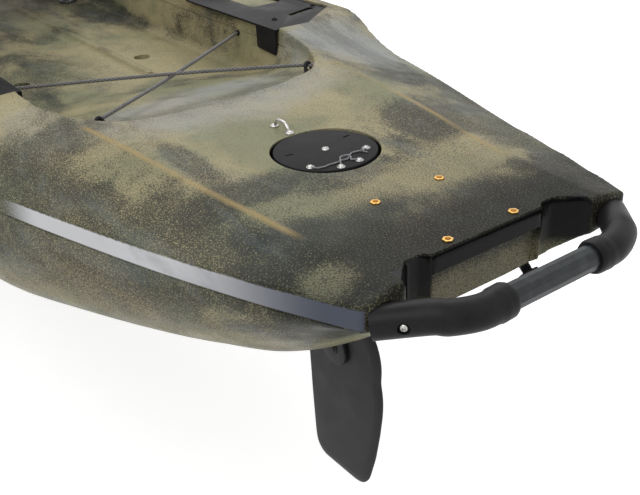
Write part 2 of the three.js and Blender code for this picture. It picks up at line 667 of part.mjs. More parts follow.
function bowFootZ(x) {
  return deckZ + centreRise(lengthShare(x)) * hull.depth + boss.height;
}

const scupperPlaces = [-1, 1].flatMap((side) => [
  [fromRudder(scupper.aft), side * scupper.aftHalf], [scupper.fore, side * scupper.foreHalf]]);

function buildHull() {
  let outer = hullLoft(0, 0, 1, hull.stations);
  outer = outer.add(ovalPlate(hatchX, hatch.length + 2 * hatch.rim, hatch.width + 2 * hatch.rim,
    hatchTopZ - hatch.rimDepth, hatchTopZ));
  outer = cut(outer, cargoTool(0), footwellTool(0));
  const rimPlate = ovalPlate(floorHatch.x, floorHatch.length + 2 * floorHatch.rim,
    floorHatch.width + 2 * floorHatch.rim, footwell.floor - hull.wall / 2, floorRimZ);
  const ribTop = cargo.ribTopShare;
  const ribSection = (x) => [[-1, 0], [1, 0], [ribTop, cargo.ribHeight], [-ribTop, cargo.ribHeight]]
    .map(([across, rise]) => [x, (across * cargo.ribWidth) / 2 - cargo.ribHalf, floorZ - fit.gap + rise]);
  const cargoAft = fromRudder(cargo.aft);
  const ribEnds = [cargo.ribStartShare, cargo.ribEndShare]
    .map((share) => cargoAft + share * (cargoFore - cargoAft));
  const rib = lofted(ribEnds.map(ribSection), 0);
  const earSets = [...carryEars, ...hatchEars, ...floorEars];
  outer = joined(outer, rimPlate, ...hullPads(), ...bowPads(), ...earSets.flatMap((set) => set.ears));
  outer = outer.add(rib);

  const keep = [cargoTool(hull.wall), footwellTool(hull.wall), driveSlotTool(hull.wall)];
  keep.push(disc(rudderX, 0, recessFloor - hull.wall, deckZ, recessDiameter + 2 * hull.wall));
  keep.push(disc(rudderX, 0, pocketTop, deckZ, stockBore + 2 * hull.wall));
  keep.push(disc(rudderX, 0, -fit.overrun, pocketTop + hull.wall, rudder.pocketDiameter + 2 * hull.wall));
  for (const [x, y] of scupperPlaces) keep.push(disc(x, y, 0, deckZ, scupper.diameter + 2 * hull.wall, 8));
  const cavityStations = Math.round(hull.stations * hull.cavityShare);
  const cavity = cut(hullLoft(hull.wall, hull.ends.first, hull.ends.last, cavityStations), ...keep);

  const holes = [driveSlotTool(0)];
  holes.push(disc(rudderX, 0, recessFloor, deckZ + fit.overrun, recessDiameter));
  holes.push(disc(rudderX, 0, 0, deckZ, stockBore, fit.sides));
  holes.push(disc(rudderX, 0, -fit.overrun, pocketTop, rudder.pocketDiameter));
  for (const [x, y] of scupperPlaces) holes.push(disc(x, y, -fit.overrun, deckZ, scupper.diameter, 8));
  holes.push(ovalPlate(hatchX, hatch.length, hatch.width, deckZ, hatchTopZ + fit.overrun));
  holes.push(ovalPlate(floorHatch.x, floorHatch.length, floorHatch.width,
    footwell.floor - hull.wall * 2, floorRimZ + fit.overrun));
  holes.push(...earSets.map((set) => set.bore));
  bothSides((name, side) => {
    holes.push(sternNotch(side));
    holes.push(swept(elbowRoute(side, fit.running), handle.elbowDiameter + 4 * fit.gap, handle.elbowSteps));
    holes.push(bracketSeat(side));
    const y = side * steering.half;
    holes.push(disc(steering.x, y, deckZ - hull.wall, deckZ + hull.depth / 2,
      steering.shaftDiameter + 2 * fit.running, fit.sides));
    for (const x of side > 0 ? [pullHandle.x, pullHandle.x - pullHandle.spacing] : []) {
      const bore = pullHandle.stem + 2 * fit.running;
      holes.push(disc(x, y, deckZ - hull.wall, deckZ + hull.depth / 2, bore, fit.cordSides));
    }
    for (const x of [-insert.aft, -insert.fore]) {
      const [low, high] = [deckZ - insert.length, deckZ + fit.overrun];
      holes.push(disc(fromRudder(x), side * insert.half, low, high, insert.body + 2 * fit.gap, fit.sides));
    }
    const lineY = side * lineRadius;
    holes.push(bar([rudderX, lineY, lineZ], [rudderX + recessDiameter, lineY, lineZ], steering.lineHole, 8));
    holes.push(anchorSeat(side), lockPin(side, lockLever.pin + 2 * fit.running));
  });
  for (const x of [padeye.aft, padeye.fore]) {
    const foot = padeye.footDiameter + 2 * fit.running;
    holes.push(disc(fromRudder(x), 0, deckZ, deckZ + fit.overrun, foot, fit.sides));
  }
  holes.push(drainTool());
  return cut(outer, cavity, ...holes);
}

// The drain plug's place on the transom's slope, seen along its own axis.

const drainAxis = new THREE.Vector3(-1, 0, -drain.slopeShare).normalize();

function drainPoint(distance) {
  const base = new THREE.Vector3(sternX + drain.drop / 2, -drain.half, deckZ - drain.drop);
  return base.addScaledVector(drainAxis, distance).toArray();
}

function drainTool() {
  const headSeat = drain.head + 2 * (fit.running + drain.headGap);
  return joined(bar(drainPoint(0), drainPoint(fit.overrun * 2), headSeat),
    bar(drainPoint(-drain.length * 4), drainPoint(fit.gap), drain.shank + 2 * fit.running));
}

function bracketOutline(side) {
  const x = (value) => fromRudder(value);
  const outline = [[x(bracket.tabStart), side * bracket.half], [x(bracket.midX), side * bracket.midHalf],
    [x(bracket.outerX), side * bracket.outerHalf], [x(bracket.fore), side * bracket.outerHalf],
    [x(bracket.fore), side * bracket.half]];
  return side > 0 ? outline.reverse() : outline;
}

// The straight part of a slot between its two round ends.
function slotMiddle([[x0, y0], [x1, y1]], width, low, high) {
  const size = Math.hypot(x1 - x0, y1 - y0);
  const [nx, ny] = [((y0 - y1) / size) * (width / 2), ((x1 - x0) / size) * (width / 2)];
  return plate([[x0 - nx, y0 - ny], [x1 - nx, y1 - ny], [x1 + nx, y1 + ny], [x0 + nx, y0 + ny]], low, high);
}

function bracketSeat(side) {
  return plate(bracketOutline(side), deckZ + bracket.rise - fit.gap, deckZ + hull.depth / 2);
}

function buildBrackets() {
  bothSides((name, side) => {
    const low = deckZ + bracket.rise;
    const y = side * bracket.half;
    const [tabInner, tabOuter] = [y - side * bracket.thickness, y + (side * bracket.thickness) / 2];
    const tabTop = low + bracket.thickness;
    const tab = [[fromRudder(bracket.tabStart), tabTop],
      [fromRudder(bracket.tabStart + bracket.thickness), low - bracket.tabDrop],
      [fromRudder(bracket.tabEnd), low - bracket.tabDrop * bracket.tabShare],
      [fromRudder(bracket.tabEnd), tabTop]];
    const [tabLow, tabHigh] = [Math.min(y, tabInner), Math.max(y, tabInner)];
    const piece = joined(plate(bracketOutline(side), low, low + bracket.thickness),
      plate(tab, tabLow, tabHigh, true),
      block([fromRudder(bracket.tabStart), Math.min(tabInner, tabOuter), low],
        [fromRudder(bracket.fore), Math.max(tabInner, tabOuter), low + bracket.thickness]));
    const ends = [[fromRudder(bracket.slotAftX), side * bracket.slotAftHalf],
      [fromRudder(bracket.slotForeX), side * bracket.slotForeHalf]];
    const [bottom, top] = [low - fit.overrun, low + fit.overrun];
    const slot = ends.map(([x, ey]) => disc(x, ey, bottom, top, bracket.slotWidth, fit.sides));
    slot.push(slotMiddle(ends, bracket.slotWidth, bottom, top));
    const [near, far] = spread(side, bracket.windowHalf, bracket.windowHalf + bracket.windowWidth);
    const windowX = fromRudder(bracket.windowX);
    const window = block([windowX, near, bottom], [windowX + bracket.windowLength, far, top]);
    add(`well_bracket_${name}`, 'black', cut(piece, ...slot, window));
  });
}

function buildSternHandle() {
  const x = fromRudder(-handle.setback);
  const z = deckZ - handle.drop;
  add('stern_handle_tube', 'tube',
    bar([x, -handle.halfLength, z], [x, handle.halfLength, z], handle.tubeDiameter, handle.tubeSides));
  bothSides((name, side) => {
    const route = elbowRoute(side);
    const boreEnds = [handle.elbowEnd - fit.overrun, handle.halfLength + fit.gap]
      .map((y) => [x, side * y, z]);
    const bore = bar(...boreEnds, handle.tubeDiameter + 2 * fit.gap, handle.tubeSides);
    const share = handle.screwShare;
    const middle = route[0].map((value, i) => value * share + route[1][i] * (1 - share));
    const out = [-Math.SQRT1_2, side * Math.SQRT1_2, 0];
    const at = (distance) => middle.map((value, i) => value + out[i] * distance);
    const face = handle.elbowDiameter / 2;
    const seatAt = face - handle.screwSink;
    const recess = bar(at(seatAt), at(face + fit.overrun), handle.screwHead + 4 * fit.running + 2 * fit.gap);
    const holeEnds = [at(seatAt + fit.gap), at(seatAt - handle.screwLength - fit.gap)];
    const hole = bar(...holeEnds, handle.screwShank + 2 * fit.gap, fit.cordSides);
    const elbow = swept(route, handle.elbowDiameter, handle.elbowSteps);
    add(`stern_handle_elbow_${name}`, 'rubber', cut(elbow, bore, recess, hole));
    const head = bar(at(seatAt + fit.gap), at(seatAt + handle.screwHeadHeight), handle.screwHead, fit.sides,
      handle.screwHead * handle.screwCrownShare);
    const shankEnds = [at(seatAt + fit.running), at(seatAt - handle.screwLength)];
    const shank = bar(...shankEnds, handle.screwShank, fit.cordSides);
    add(`stern_handle_screw_${name}`, 'steel', joined(head, shank));
  });
}

function buildInserts() {
  bothSides((name, side) => {
    for (const [place, x] of [['aft', -insert.aft], ['fore', -insert.fore]]) {
      const y = side * insert.half;
      const flangeLow = deckZ + fit.gap;
      const at = [fromRudder(x), y];
      const flange = disc(...at, flangeLow, flangeLow + insert.flangeHeight, insert.flange, 6);
      const body = disc(...at, deckZ - insert.length + fit.gap, flangeLow + fit.gap, insert.body, fit.sides);
      const bore = disc(...at, deckZ - insert.length * insert.boreShare, deckZ + fit.overrun, insert.bore, 8);
      add(`deck_insert_${place}_${name}`, 'brass', cut(joined(flange, body), bore));
    }
  });
}

function buildPadeye() {
  const low = deckZ + fit.gap;
  const feet = [padeye.aft, padeye.fore].map((x) => disc(fromRudder(x), 0, low, low + padeye.footHeight,
    padeye.footDiameter, fit.sides));
  const inset = padeye.footDiameter / 4;
  const [a, b] = [fromRudder(padeye.aft + inset), fromRudder(padeye.fore - inset)];
  const rise = padeye.height - padeye.rod / 2;
  const footTop = low + padeye.footHeight;
  const arch = [[a, 0, footTop], [a + inset, 0, low + rise * padeye.shoulderShare],
    [(a + b) / 2, 0, low + rise], [b - inset, 0, low + rise * padeye.shoulderShare], [b, 0, footTop]];
  add('deck_padeye', 'steel', joined(...feet, swept(arch, padeye.rod, 10, 6)));
}

// Rudder.

function buildRudder() {
  const radius = rudder.drumDiameter / 2;
  const groove = rudder.grooveRadius;
  const half = rudder.drumThickness / 2;
  const profile = [[0, -half], [radius, -half], [radius, -groove], [radius - groove, 0], [radius, groove],
    [radius, half], [0, half]];
  const hole = rudder.holeDiameter;
  const drum = cut(turned(profile, [rudderX, 0, lineZ], fit.drumSides),
    disc(rudderX, 0, drumBottom - fit.overrun, drumTop + fit.overrun, hole, fit.sides));
  add('rudder_drum', 'black', drum);

  const headLow = drumTop + fit.gap;
  const rows = domeShares.map(([out, rise]) => [out * rudder.screwDiameter, rise * rudder.screwHeight]);
  const dome = turned([[0, 0], ...rows, [0, rudder.screwHeight]], [rudderX, 0, headLow], fit.sides);
  const shankLow = drumBottom - rudder.drumThickness;
  const shank = disc(rudderX, 0, shankLow, headLow + fit.gap, hole - 2 * fit.running, fit.sides);
  add('rudder_drum_screw', 'steel', dome.add(shank));

  const cordLow = drumTop + rudder.cordDiameter / 2 + fit.gap;
  const size = rudder.drumDiameter;
  const route = drumCordShares.map(([x, y, lift]) => [fromRudder(x * size), y * size, cordLow + lift * size]);
  add('rudder_drum_cord', 'line', swept(route, rudder.cordDiameter, 30));

  const crownLow = pocketTop - fit.running - rudder.forkCrown;
  const stockTop = drumBottom - fit.gap;
  const inner = rudder.bladeThickness / 2 + fit.running;
  const cheek = (side) => {
    const [a, b] = [side * inner, side * (inner + rudder.forkCheek)].sort((p, q) => p - q);
    const reach = rudder.forkWidth / 2;
    const arm = block([rudderX - reach, a, pivotZ], [rudderX + reach, b, crownLow + fit.gap]);
    const eye = bar([pivotX, a, pivotZ], [pivotX, b, pivotZ], rudder.forkWidth, fit.fineSides);
    return arm.add(eye);
  };
  const crown = disc(rudderX, 0, crownLow, pocketTop - fit.running, rudder.forkWidth * rudder.crownShare);
  const post = disc(rudderX, 0, pocketTop - rudder.forkCrown / 2, stockTop, rudder.stockDiameter, fit.sides);
  const pivotEnds = [-1, 1].map((end) => [pivotX, end * fit.overrun, pivotZ]);
  const pinBore = bar(...pivotEnds, rudder.pivotPin + 2 * fit.gap);
  const screwBore = disc(rudderX, 0, shankLow - fit.gap, deckZ, hole, fit.sides);
  add('rudder_stock', 'black', cut(joined(post, crown, cheek(1), cheek(-1)), pinBore, screwBore));

  const pinEnd = inner + rudder.forkCheek;
  add('rudder_pivot_pin', 'steel', bar([pivotX, -pinEnd, pivotZ], [pivotX, pinEnd, pivotZ], rudder.pivotPin));

  const outline = bladeShares.map(([x, z]) => [pivotX + x * bladeDrop, pivotZ + z * bladeDrop]);
  const head = [];
  for (let i = 0; i <= rudder.bladeSteps; i += 1) {
    const angle = (195 - (185 * i) / rudder.bladeSteps) * radians;
    head.push([pivotX + rudder.bladeGrip * Math.cos(angle), pivotZ + rudder.bladeGrip * Math.sin(angle)]);
  }
  const thin = rudder.bladeThickness / 2;
  const blade = bladeSolid([...outline, ...head], thin);
  add('rudder_blade', 'blade', cut(blade, bar(...pivotEnds, rudder.pivotPin + 2 * fit.running)));
}

// The blade has flat sides and an edge that is drawn in all round.
function bladeSolid(outline, half) {
  const sums = outline.reduce(([a, b], [x, z]) => [a + x, b + z], [0, 0]);
  const [cx, cz] = sums.map((sum) => sum / outline.length);
  const share = rudder.bladeEdgeShare;
  const drawnIn = outline.map(([x, z]) => [cx + (x - cx) * share, cz + (z - cz) * share]);
  const ring = (points, y) => points.map(([x, z]) => [x, y, z]);
  const flat = half * rudder.bladeFlatShare;
  return lofted([ring(drawnIn, -half), ring(outline, -flat), ring(outline, flat), ring(drawnIn, half)], 1);
}

// Steering lines run round the drum's groove, forward inside the hull and round each handle's sheave.
function buildSteering() {
  bothSides((name, side) => {
    const y = side * steering.half;
    const top = highestUnder(steering.x, steering.half, steering.collar / 2) + fit.gap;
    const sheaveZ = deckZ - steering.sheaveDepth;
    const shaft = disc(steering.x, y, sheaveZ, top + steering.gripHeight, steering.shaftDiameter, fit.sides);
    const collar = disc(steering.x, y, top, top + steering.collarHeight, steering.collar);
    const gripOutline = oval(steering.gripLength, steering.gripWidth, 1)
      .map(([a, b]) => [steering.x + a, y + b]);
    const gripLow = top + steering.gripHeight * steering.gripShare;
    const grip = plate(gripOutline, gripLow, top + steering.gripHeight);
    const sheaveLow = sheaveZ - steering.sheaveHeight;
    const sheave = disc(steering.x, y, sheaveLow, sheaveZ + fit.gap, steering.sheaveDiameter);
    add(`steering_handle_${name}`, 'black', joined(shaft, collar, grip, sheave));

    const inward = side * (steering.half - steering.sheaveDiameter / 2 - steering.lineDiameter / 2 - fit.gap);
    const lineLevel = sheaveZ - steering.sheaveHeight / 2;
    const outer = side * (steering.half + steering.lineInset);
    const outlet = side * lineRadius;
    const bendY = side * cargo.half * steering.lineHalfShare;
    const [high, low] = [deckZ - steering.lineDrop, deckZ - steering.lineDeep];
    const route = [[rudderX, outlet, lineZ], [rudderX + recessDiameter, outlet, lineZ],
      [fromRudder(cargo.aft * steering.lineAftShare), bendY, high],
      [fromRudder(cargo.aft * steering.lineForeShare), outer, low],
      [fromRudder(bracket.fore), outer, low],
      [steering.x - hull.length * steering.lineStartShare, side * steering.half, lineLevel],
      [steering.x - hull.length * steering.lineEndShare, inward, lineLevel], [steering.x, inward, lineLevel]];
    const line = swept(route, steering.lineDiameter, steering.lineSteps, fit.cordSides, steering.lineTension);
    add(`steering_line_${name}`, 'line', line);
  });
}

function buildPullHandles() {
  ['up', 'down'].forEach((name, spot) => {
    const x = pullHandle.x - spot * pullHandle.spacing;
    const y = steering.half;
    const rest = spot === 1 ? pullHandle.stroke : 0;
    const low = highestUnder(x, y, pullHandle.length / 2) + fit.gap + rest;
    const high = low + pullHandle.rise;
    const stem = disc(x, y, low - pullHandle.sink - pullHandle.stroke, high, pullHandle.stem, fit.cordSides);
    const gripEnds = [-1, 1].map((end) => [x, y + (end * pullHandle.length) / 2, high]);
    const grip = bar(...gripEnds, pullHandle.bar);
    add(`rudder_${name}_handle`, 'black', stem.add(grip));
  });
}

// Crossed shock cords over the cargo well, each between an eye on the aft slope and one on the wall.

const anchorZ = deckZ - shockCord.aftDrop - fit.gap * 3;

function anchorPlace(side) {
  const x = fromRudder(shockCord.aftX) - anchor.foot - fit.gap - anchor.diameter / 2;
  return [x, side * (shockCord.aftHalf + anchor.foot)];
}

function anchorSeat(side) {
  const width = anchor.diameter + 2 * fit.gap;
  return disc(...anchorPlace(side), anchorZ - fit.gap, deckZ + fit.overrun, width, fit.sides);
}

function buildShockCords() {
  for (const [name, side, over] of [['port', 1, -1], ['starboard', -1, 1]]) {
    const aft = [fromRudder(shockCord.aftX), side * shockCord.aftHalf, deckZ - shockCord.aftDrop];
    const fore = [fromRudder(shockCord.foreX), -side * shockCord.foreHalf, deckZ - shockCord.foreDrop];
    const t = shockCord.aftHalf / (shockCord.aftHalf + shockCord.foreHalf);
    const middle = aft.map((value, i) => value + (fore[i] - value) * t);
    middle[2] += over * (shockCord.diameter / 2 + fit.gap);
    add(`shock_cord_${name}`, 'cord', swept([aft, middle, fore], shockCord.diameter, 8, 8));
    const eye = disc(...anchorPlace(side), anchorZ, anchorZ + anchor.height, anchor.diameter, fit.sides);
    add(`cord_eye_aft_${name}`, 'black', eye);
    const x = fore[0] + anchor.foot;
    const wall = -side * (shockCord.foreHalf + anchor.foreGap + anchor.foreLength);
    const start = [x, fore[1] - side * anchor.foreGap, fore[2]];
    add(`cord_eye_fore_${name}`, 'black', bar(start, [x, wall, fore[2]], anchor.diameter));
  }
}

// The pedal drive stands in its slot; its drums swing two masts with their fins below the keel.

const drumZ = -drive.drumDepth;
const crankZ = drive.crankHeight;

function buildDrive() {
  const [aft, fore] = [driveSlot.aft + drive.clearance, driveSlot.fore - drive.clearance];
  const flangeLow = footwell.floor + fit.gap;
  const flangeTop = flangeLow + drive.flangeHeight;
  const apart = drive.drumSpacing / 2;
  const drumPlaces = { fore: drive.crankX + apart, aft: drive.crankX - apart };
  const half = drive.housingHalf;
  const post = [[-drive.postLength, flangeTop - fit.gap], [-drive.postTop, crankZ + drive.postTop],
    [drive.postTop, crankZ + drive.postTop], [drive.postLength, flangeTop - fit.gap]];
  const pieces = [
    block([aft, -half, drive.bodyBottom], [fore, half, flangeTop]),
    block([aft - drive.flangeReach, -drive.flangeHalf, flangeLow],
      [fore + drive.flangeReach, drive.flangeHalf, flangeTop]),
    plate(post.map(([x, z]) => [drive.crankX + x, z]), -half, half, true),
  ];
  const pinEnds = [-2, 2].map((end) => [drive.crankX, end * half, crankZ]);
  const cuts = [bar(...pinEnds, drive.pin + 2 * fit.running)];
  for (const place of Object.values(drumPlaces)) {
    for (const end of [-1, 1]) {
      const inner = place + end * (drive.drumWidth / 2 + fit.running);
      const outer = inner + end * drive.ear;
      const [low, high] = [Math.min(inner, outer), Math.max(inner, outer)];
      pieces.push(bar([low, 0, drumZ], [high, 0, drumZ], drive.drumRadius * 2),
        block([low, -drive.drumRadius, drumZ], [high, drive.drumRadius, drive.bodyBottom + fit.gap]));
    }
    const reach = drive.drumWidth / 2 + drive.ear * 2;
    cuts.push(bar([place - reach, 0, drumZ], [place + reach, 0, drumZ], drive.axle + 2 * fit.running));
  }
  const stemLow = flangeTop - shiftHandle.depth - shiftHandle.stroke;
  for (const side of [-1, 1]) {
    cuts.push(disc(shiftHandle.x, side * shiftHandle.half, stemLow, flangeTop + fit.overrun,
      shiftHandle.stem + 2 * fit.running, 8));
  }
  add('drive_housing', 'black', cut(joined(...pieces), ...cuts));

  for (const [name, place] of Object.entries(drumPlaces)) {
    const axleReach = drive.drumWidth / 2 + fit.running + drive.ear;
    const bodyEnds = [-1, 1].map((end) => [place + (end * drive.drumWidth) / 2, 0, drumZ]);
    const body = bar(...bodyEnds, drive.drumRadius * 2, fit.fineSides);
    const axle = bar([place - axleReach, 0, drumZ], [place + axleReach, 0, drumZ], drive.axle);
    const socket = disc(place, 0, drumZ - fit.overrun, drumZ - drive.drumRadius + drive.mastTop + fit.gap,
      drive.mast + 2 * fit.running, fit.sides);
    add(`drive_drum_${name}`, 'steel', cut(joined(body, axle), socket));
    buildFin(name, place);
  }
  buildCranks();
  buildShiftHandles(flangeTop);
  buildLockLevers(flangeTop);
}

function finRing(x, z, chord) {
  const half = drive.finThickness / 2;
  const points = finSectionShares.map(([back, thick]) => [x + drive.finNose - back * chord, thick * half, z]);
  return [...points, ...points.map(([px, py, pz]) => [px, -py, pz]).reverse()];
}

function buildFin(name, place) {
  const mastHigh = drumZ - drive.drumRadius + drive.mastTop;
  const mastLow = drumZ - drive.drumRadius - drive.mastLength;
  add(`drive_mast_${name}`, 'steel', disc(place, 0, mastLow, mastHigh, drive.mast, fit.sides));
  const top = drumZ - drive.finTop;
  const rings = finChordShares
    .map(([down, chord]) => finRing(place, top - down * drive.finLength, chord * drive.finRoot));
  const bore = disc(place, 0, mastLow - fit.gap, drumZ, drive.mast + 2 * fit.running, fit.sides);
  add(`drive_fin_${name}`, 'fin', cut(lofted(rings, 2), bore));
}

function buildCranks() {
  bothSides((name, side) => {
    const inner = drive.housingHalf + fit.running;
    const outer = inner + drive.crankThickness;
    const [y0, y1] = spread(side, inner, outer);
    const topZ = crankZ + drive.crankLength;
    const [low, high] = [drive.hub * drive.hubShare, drive.crankWidth / 2];
    const armOutline = [[-low, crankZ], [-high, topZ], [high, topZ], [low, crankZ]]
      .map(([x, z]) => [drive.crankX + x, z]);
    const arm = plate(armOutline, y0, y1, true);
    const round = (z, diameter) => bar([drive.crankX, y0, z], [drive.crankX, y1, z], diameter, fit.fineSides);
    const [a0, a1] = spread(side, drive.housingHalf * drive.pinShare, inner + fit.gap);
    const shaft = bar([drive.crankX, a0, crankZ], [drive.crankX, a1, crankZ], drive.pin);
    const [s0, s1] = spread(side, outer - fit.gap, outer + pedal.offset + pedal.width);
    const spindle = bar([drive.crankX, s0, topZ], [drive.crankX, s1, topZ], pedal.axle, fit.sides);
    const eyes = [round(crankZ, drive.hub * drive.hubEyeShare), round(topZ, drive.crankWidth)];
    add(`drive_crank_${name}`, 'aluminium', joined(arm, ...eyes, shaft, spindle));

    const [p0, p1] = spread(side, outer + pedal.offset, outer + pedal.offset + pedal.width);
    const outline = pedalShares.map(([along, across]) => [
      drive.crankX - (across * pedal.thickness) / 2, topZ + (along * pedal.length) / 2]);
    const boreEnds = [-1, 1].map((end) => [drive.crankX, end * drive.crankLength, topZ]);
    const bore = bar(...boreEnds, pedal.axle + 2 * fit.running);
    add(`drive_pedal_${name}`, 'black', cut(plate(outline, p0, p1, true), bore));
  });
}

function buildShiftHandles(flangeTop) {
  [['ahead', 1, 0], ['astern', -1, 1]].forEach(([name, side, raised]) => {
    const y = side * shiftHandle.half;
    const low = flangeTop + fit.gap + raised * shiftHandle.stroke;
    const high = low + shiftHandle.rise;
    const stemLow = low - shiftHandle.depth - raised * shiftHandle.stroke;
    const stem = disc(shiftHandle.x, y, stemLow, high, shiftHandle.stem, 8);
    const gripEnds = [-1, 1].map((end) => [shiftHandle.x + (end * shiftHandle.length) / 2, y, high]);
    const grip = bar(...gripEnds, shiftHandle.bar);
    add(`drive_shift_${name}`, 'black', stem.add(grip));
  });
}

function buildLockLevers(flangeTop) {
  bothSides((name, side) => {
    const [x, y, z] = [lockLever.x, side * lockLever.half, lockZ];
    const half = lockLever.width / 2;
    const hub = bar([x - half, y, z], [x + half, y, z], lockLever.hub * 2, fit.sides);
    const [a0, a1] = spread(side, lockLever.half - lockLever.arm / 2, lockLever.half + lockLever.arm / 2);
    const arm = block([x - half, a0, z], [x + half, a1, z + lockLever.height]);
    const [h0, h1] = spread(side, lockLever.half - lockLever.hook - lockLever.arm / 2, lockLever.half);
    const hookLow = flangeTop + fit.running;
    const hook = block([x - half, h0, hookLow], [x + half, h1, hookLow + lockLever.arm]);
    add(`drive_lock_${name}`, 'black', joined(hub, lockPin(side, lockLever.pin), arm, hook));
  });
}

// The seat: a tube frame on four legs, a crowned cushion and a hinged back.

const seatSlope = seat.rise / (seat.fore - seat.aft);
const padHalf = seat.half - seat.padInset;
const backHalf = seat.half - seat.backInset;

function seatZ(x) {
  return seat.height + (x - seat.aft) * seatSlope;
}

function buildSeat() {
  const frame = [];
  const footTop = floorZ + fit.gap + seat.footHeight;
  for (const side of [-1, 1]) {
    const y = side * seat.half;
    frame.push(bar([seat.aft, y, seatZ(seat.aft)], [seat.fore, y, seatZ(seat.fore)], seat.tube, 8));
    for (const x of [seat.legAft, seat.legFore]) {
      frame.push(bar([x, y, footTop - fit.gap], [x, y, seatZ(x)], seat.tube, 8));
      frame.push(disc(x, y, floorZ + fit.gap, footTop, seat.foot, fit.sides));
    }
    const ear = seat.ear;
    const outerEar = backHalf + seat.backTube / 2 + fit.running + ear;
    const [e0, e1] = [side * (outerEar - ear), side * outerEar].sort((p, q) => p - q);
    const earReach = seat.backTube * seat.earShare;
    const [earAft, earFore] = [seat.hingeX - earReach, seat.hingeX + earReach];
    frame.push(block([earAft, e0, seatZ(seat.hingeX)], [earFore, e1, seat.hingeZ + earReach]));
    const [b0, b1] = [side * (outerEar - ear), side * seat.half].sort((p, q) => p - q);
    const web = seat.tube * seat.webShare;
    frame.push(block([earAft, b0, seatZ(seat.hingeX) - web], [earFore, b1, seatZ(seat.hingeX) + web]));
  }
  for (const x of [seat.aft, seat.crossAft, seat.crossFore]) {
    frame.push(bar([x, -seat.half, seatZ(x)], [x, seat.half, seatZ(x)], seat.tube, 8));
  }
  const pinEnds = [-1, 1].map((end) => [seat.hingeX, end * seat.half, seat.hingeZ]);
  const pinBore = bar(...pinEnds, seat.pin + 2 * fit.running);
  add('seat_frame', 'aluminium', cut(joined(...frame), pinBore));
  const padLow = seatZ(seat.crossFore) + seat.tube / 2 + fit.running;
  add('seat_cushion', 'fabric', cushion(seat.padAft, seat.padFore, padHalf, padLow, seat.pad));
  buildSeatBack();
}

// A crowned pad with drawn-in sides and two sewn channels across it.
function cushion(aft, fore, half, low, thick) {
  const length = fore - aft;
  const crownAt = (b) => seat.padCrownShare * (1 - (Math.abs(b) / half) ** 2);
  const channelAt = (a) => seat.padChannelShare * Math.cos((a / length) * Math.PI * seat.padChannels);
  const padOutline = oval(length, half * 2, seat.padCornerShare);
  const rings = seatPadShares.map(([rise, wide]) => padOutline.map(([a, b]) => {
    const swell = rise === 1 ? crownAt(b) + channelAt(a) : 0;
    return [(aft + fore) / 2 + a * wide, b * wide, low + thick * (rise * seat.padSideShare + swell)];
  }));
  return lofted(rings, 2);
}

function buildSeatBack() {
  const lean = -seat.backLeanDegrees * radians;
  const place = (solid) => outward(moved(geometryOf(solid), [seat.hingeX, 0, seat.hingeZ], [0, lean, 0]));
  const y = backHalf;
  const top = seat.backHeight;
  const corner = seat.backCorner;
  const bends = [0, 1, 2].map((step) => (step * Math.PI) / 4)
    .map((angle) => [0, y - corner + corner * Math.cos(angle), top - corner + corner * Math.sin(angle)]);
  const portSide = [[0, y, 0], [0, y, top / 2], ...bends];
  const route = [...portSide, ...portSide.map(([x, a, z]) => [x, -a, z]).reverse()];
  const loop = swept(route, seat.backTube, seat.backSteps);
  const pinReach = backHalf + seat.backTube / 2 + fit.running + seat.ear;
  const hubs = [-1, 1].flatMap((side) => {
    const outer = side * (backHalf + seat.backTube / 2);
    const inner = side * (backHalf - seat.backTube / 2);
    return [bar([0, inner, 0], [0, outer, 0], seat.backTube * seat.backHubShare, fit.sides),
      bar([0, inner, 0], [0, side * pinReach, 0], seat.pin, fit.sides)];
  });
  add('seat_back_frame', 'aluminium', place(joined(loop, ...hubs)));

  const [low, high] = [seat.backPadBottom, seat.backHeight - seat.backPadTopClear];
  const reachShare = Math.cos(Math.PI / fit.fineSides) ** seat.backPadShare;
  const half = (backHalf - seat.backTube / 2 - fit.running) / reachShare;
  const padOutline = oval(high - low, half * 2, seat.backPadShare);
  const rings = backPadShares.map(([through, wide]) => padOutline.map(([a, b]) => [
    -seat.backPad / 2 + through * seat.backPad, b * wide, (low + high) / 2 + a * wide]));
  add('seat_back_cushion', 'fabric', place(lofted(rings, 0)));
}

// Rails, handles, hatches and the drain plug.

function buildRails() {
  bothSides((name, side) => {
    const y = side * rail.half;
    const low = railBossZ + fit.gap;
    const z = low + rail.rise - rail.tube / 2;
    const pieces = [bar([rail.aft, y, z], [railFore, y, z], rail.tube, handle.tubeSides)];
    for (const x of railFeet) {
      pieces.push(disc(x, y, low, low + rail.footHeight, rail.foot, fit.sides));
      pieces.push(disc(x, y, low, z, rail.tube * rail.legShare, fit.sides));
    }
    add(`side_rail_${name}`, 'tube', joined(...pieces));
  });
}

function buildBowHandle() {
  const feet = bowFeet.map((x) => [x, 0, bowFootZ(x) + fit.gap]);
  const discs = feet.map(([x, y, z]) => disc(x, y, z, z + bowHandle.footHeight, bowHandle.foot, fit.sides));
  const [[x0, , z0], [x1, , z1]] = feet;
  const run = (x1 - x0) * bowHandle.runShare;
  const foot = bowHandle.footHeight;
  const arch = [[x0, 0, z0 + foot], [x0 + run, 0, z0 + bowHandle.rise], [x1 - run, 0, z1 + bowHandle.rise],
    [x1, 0, z1 + foot]];
  add('bow_handle', 'rubber', joined(...discs, swept(arch, bowHandle.rod, 12)));
}

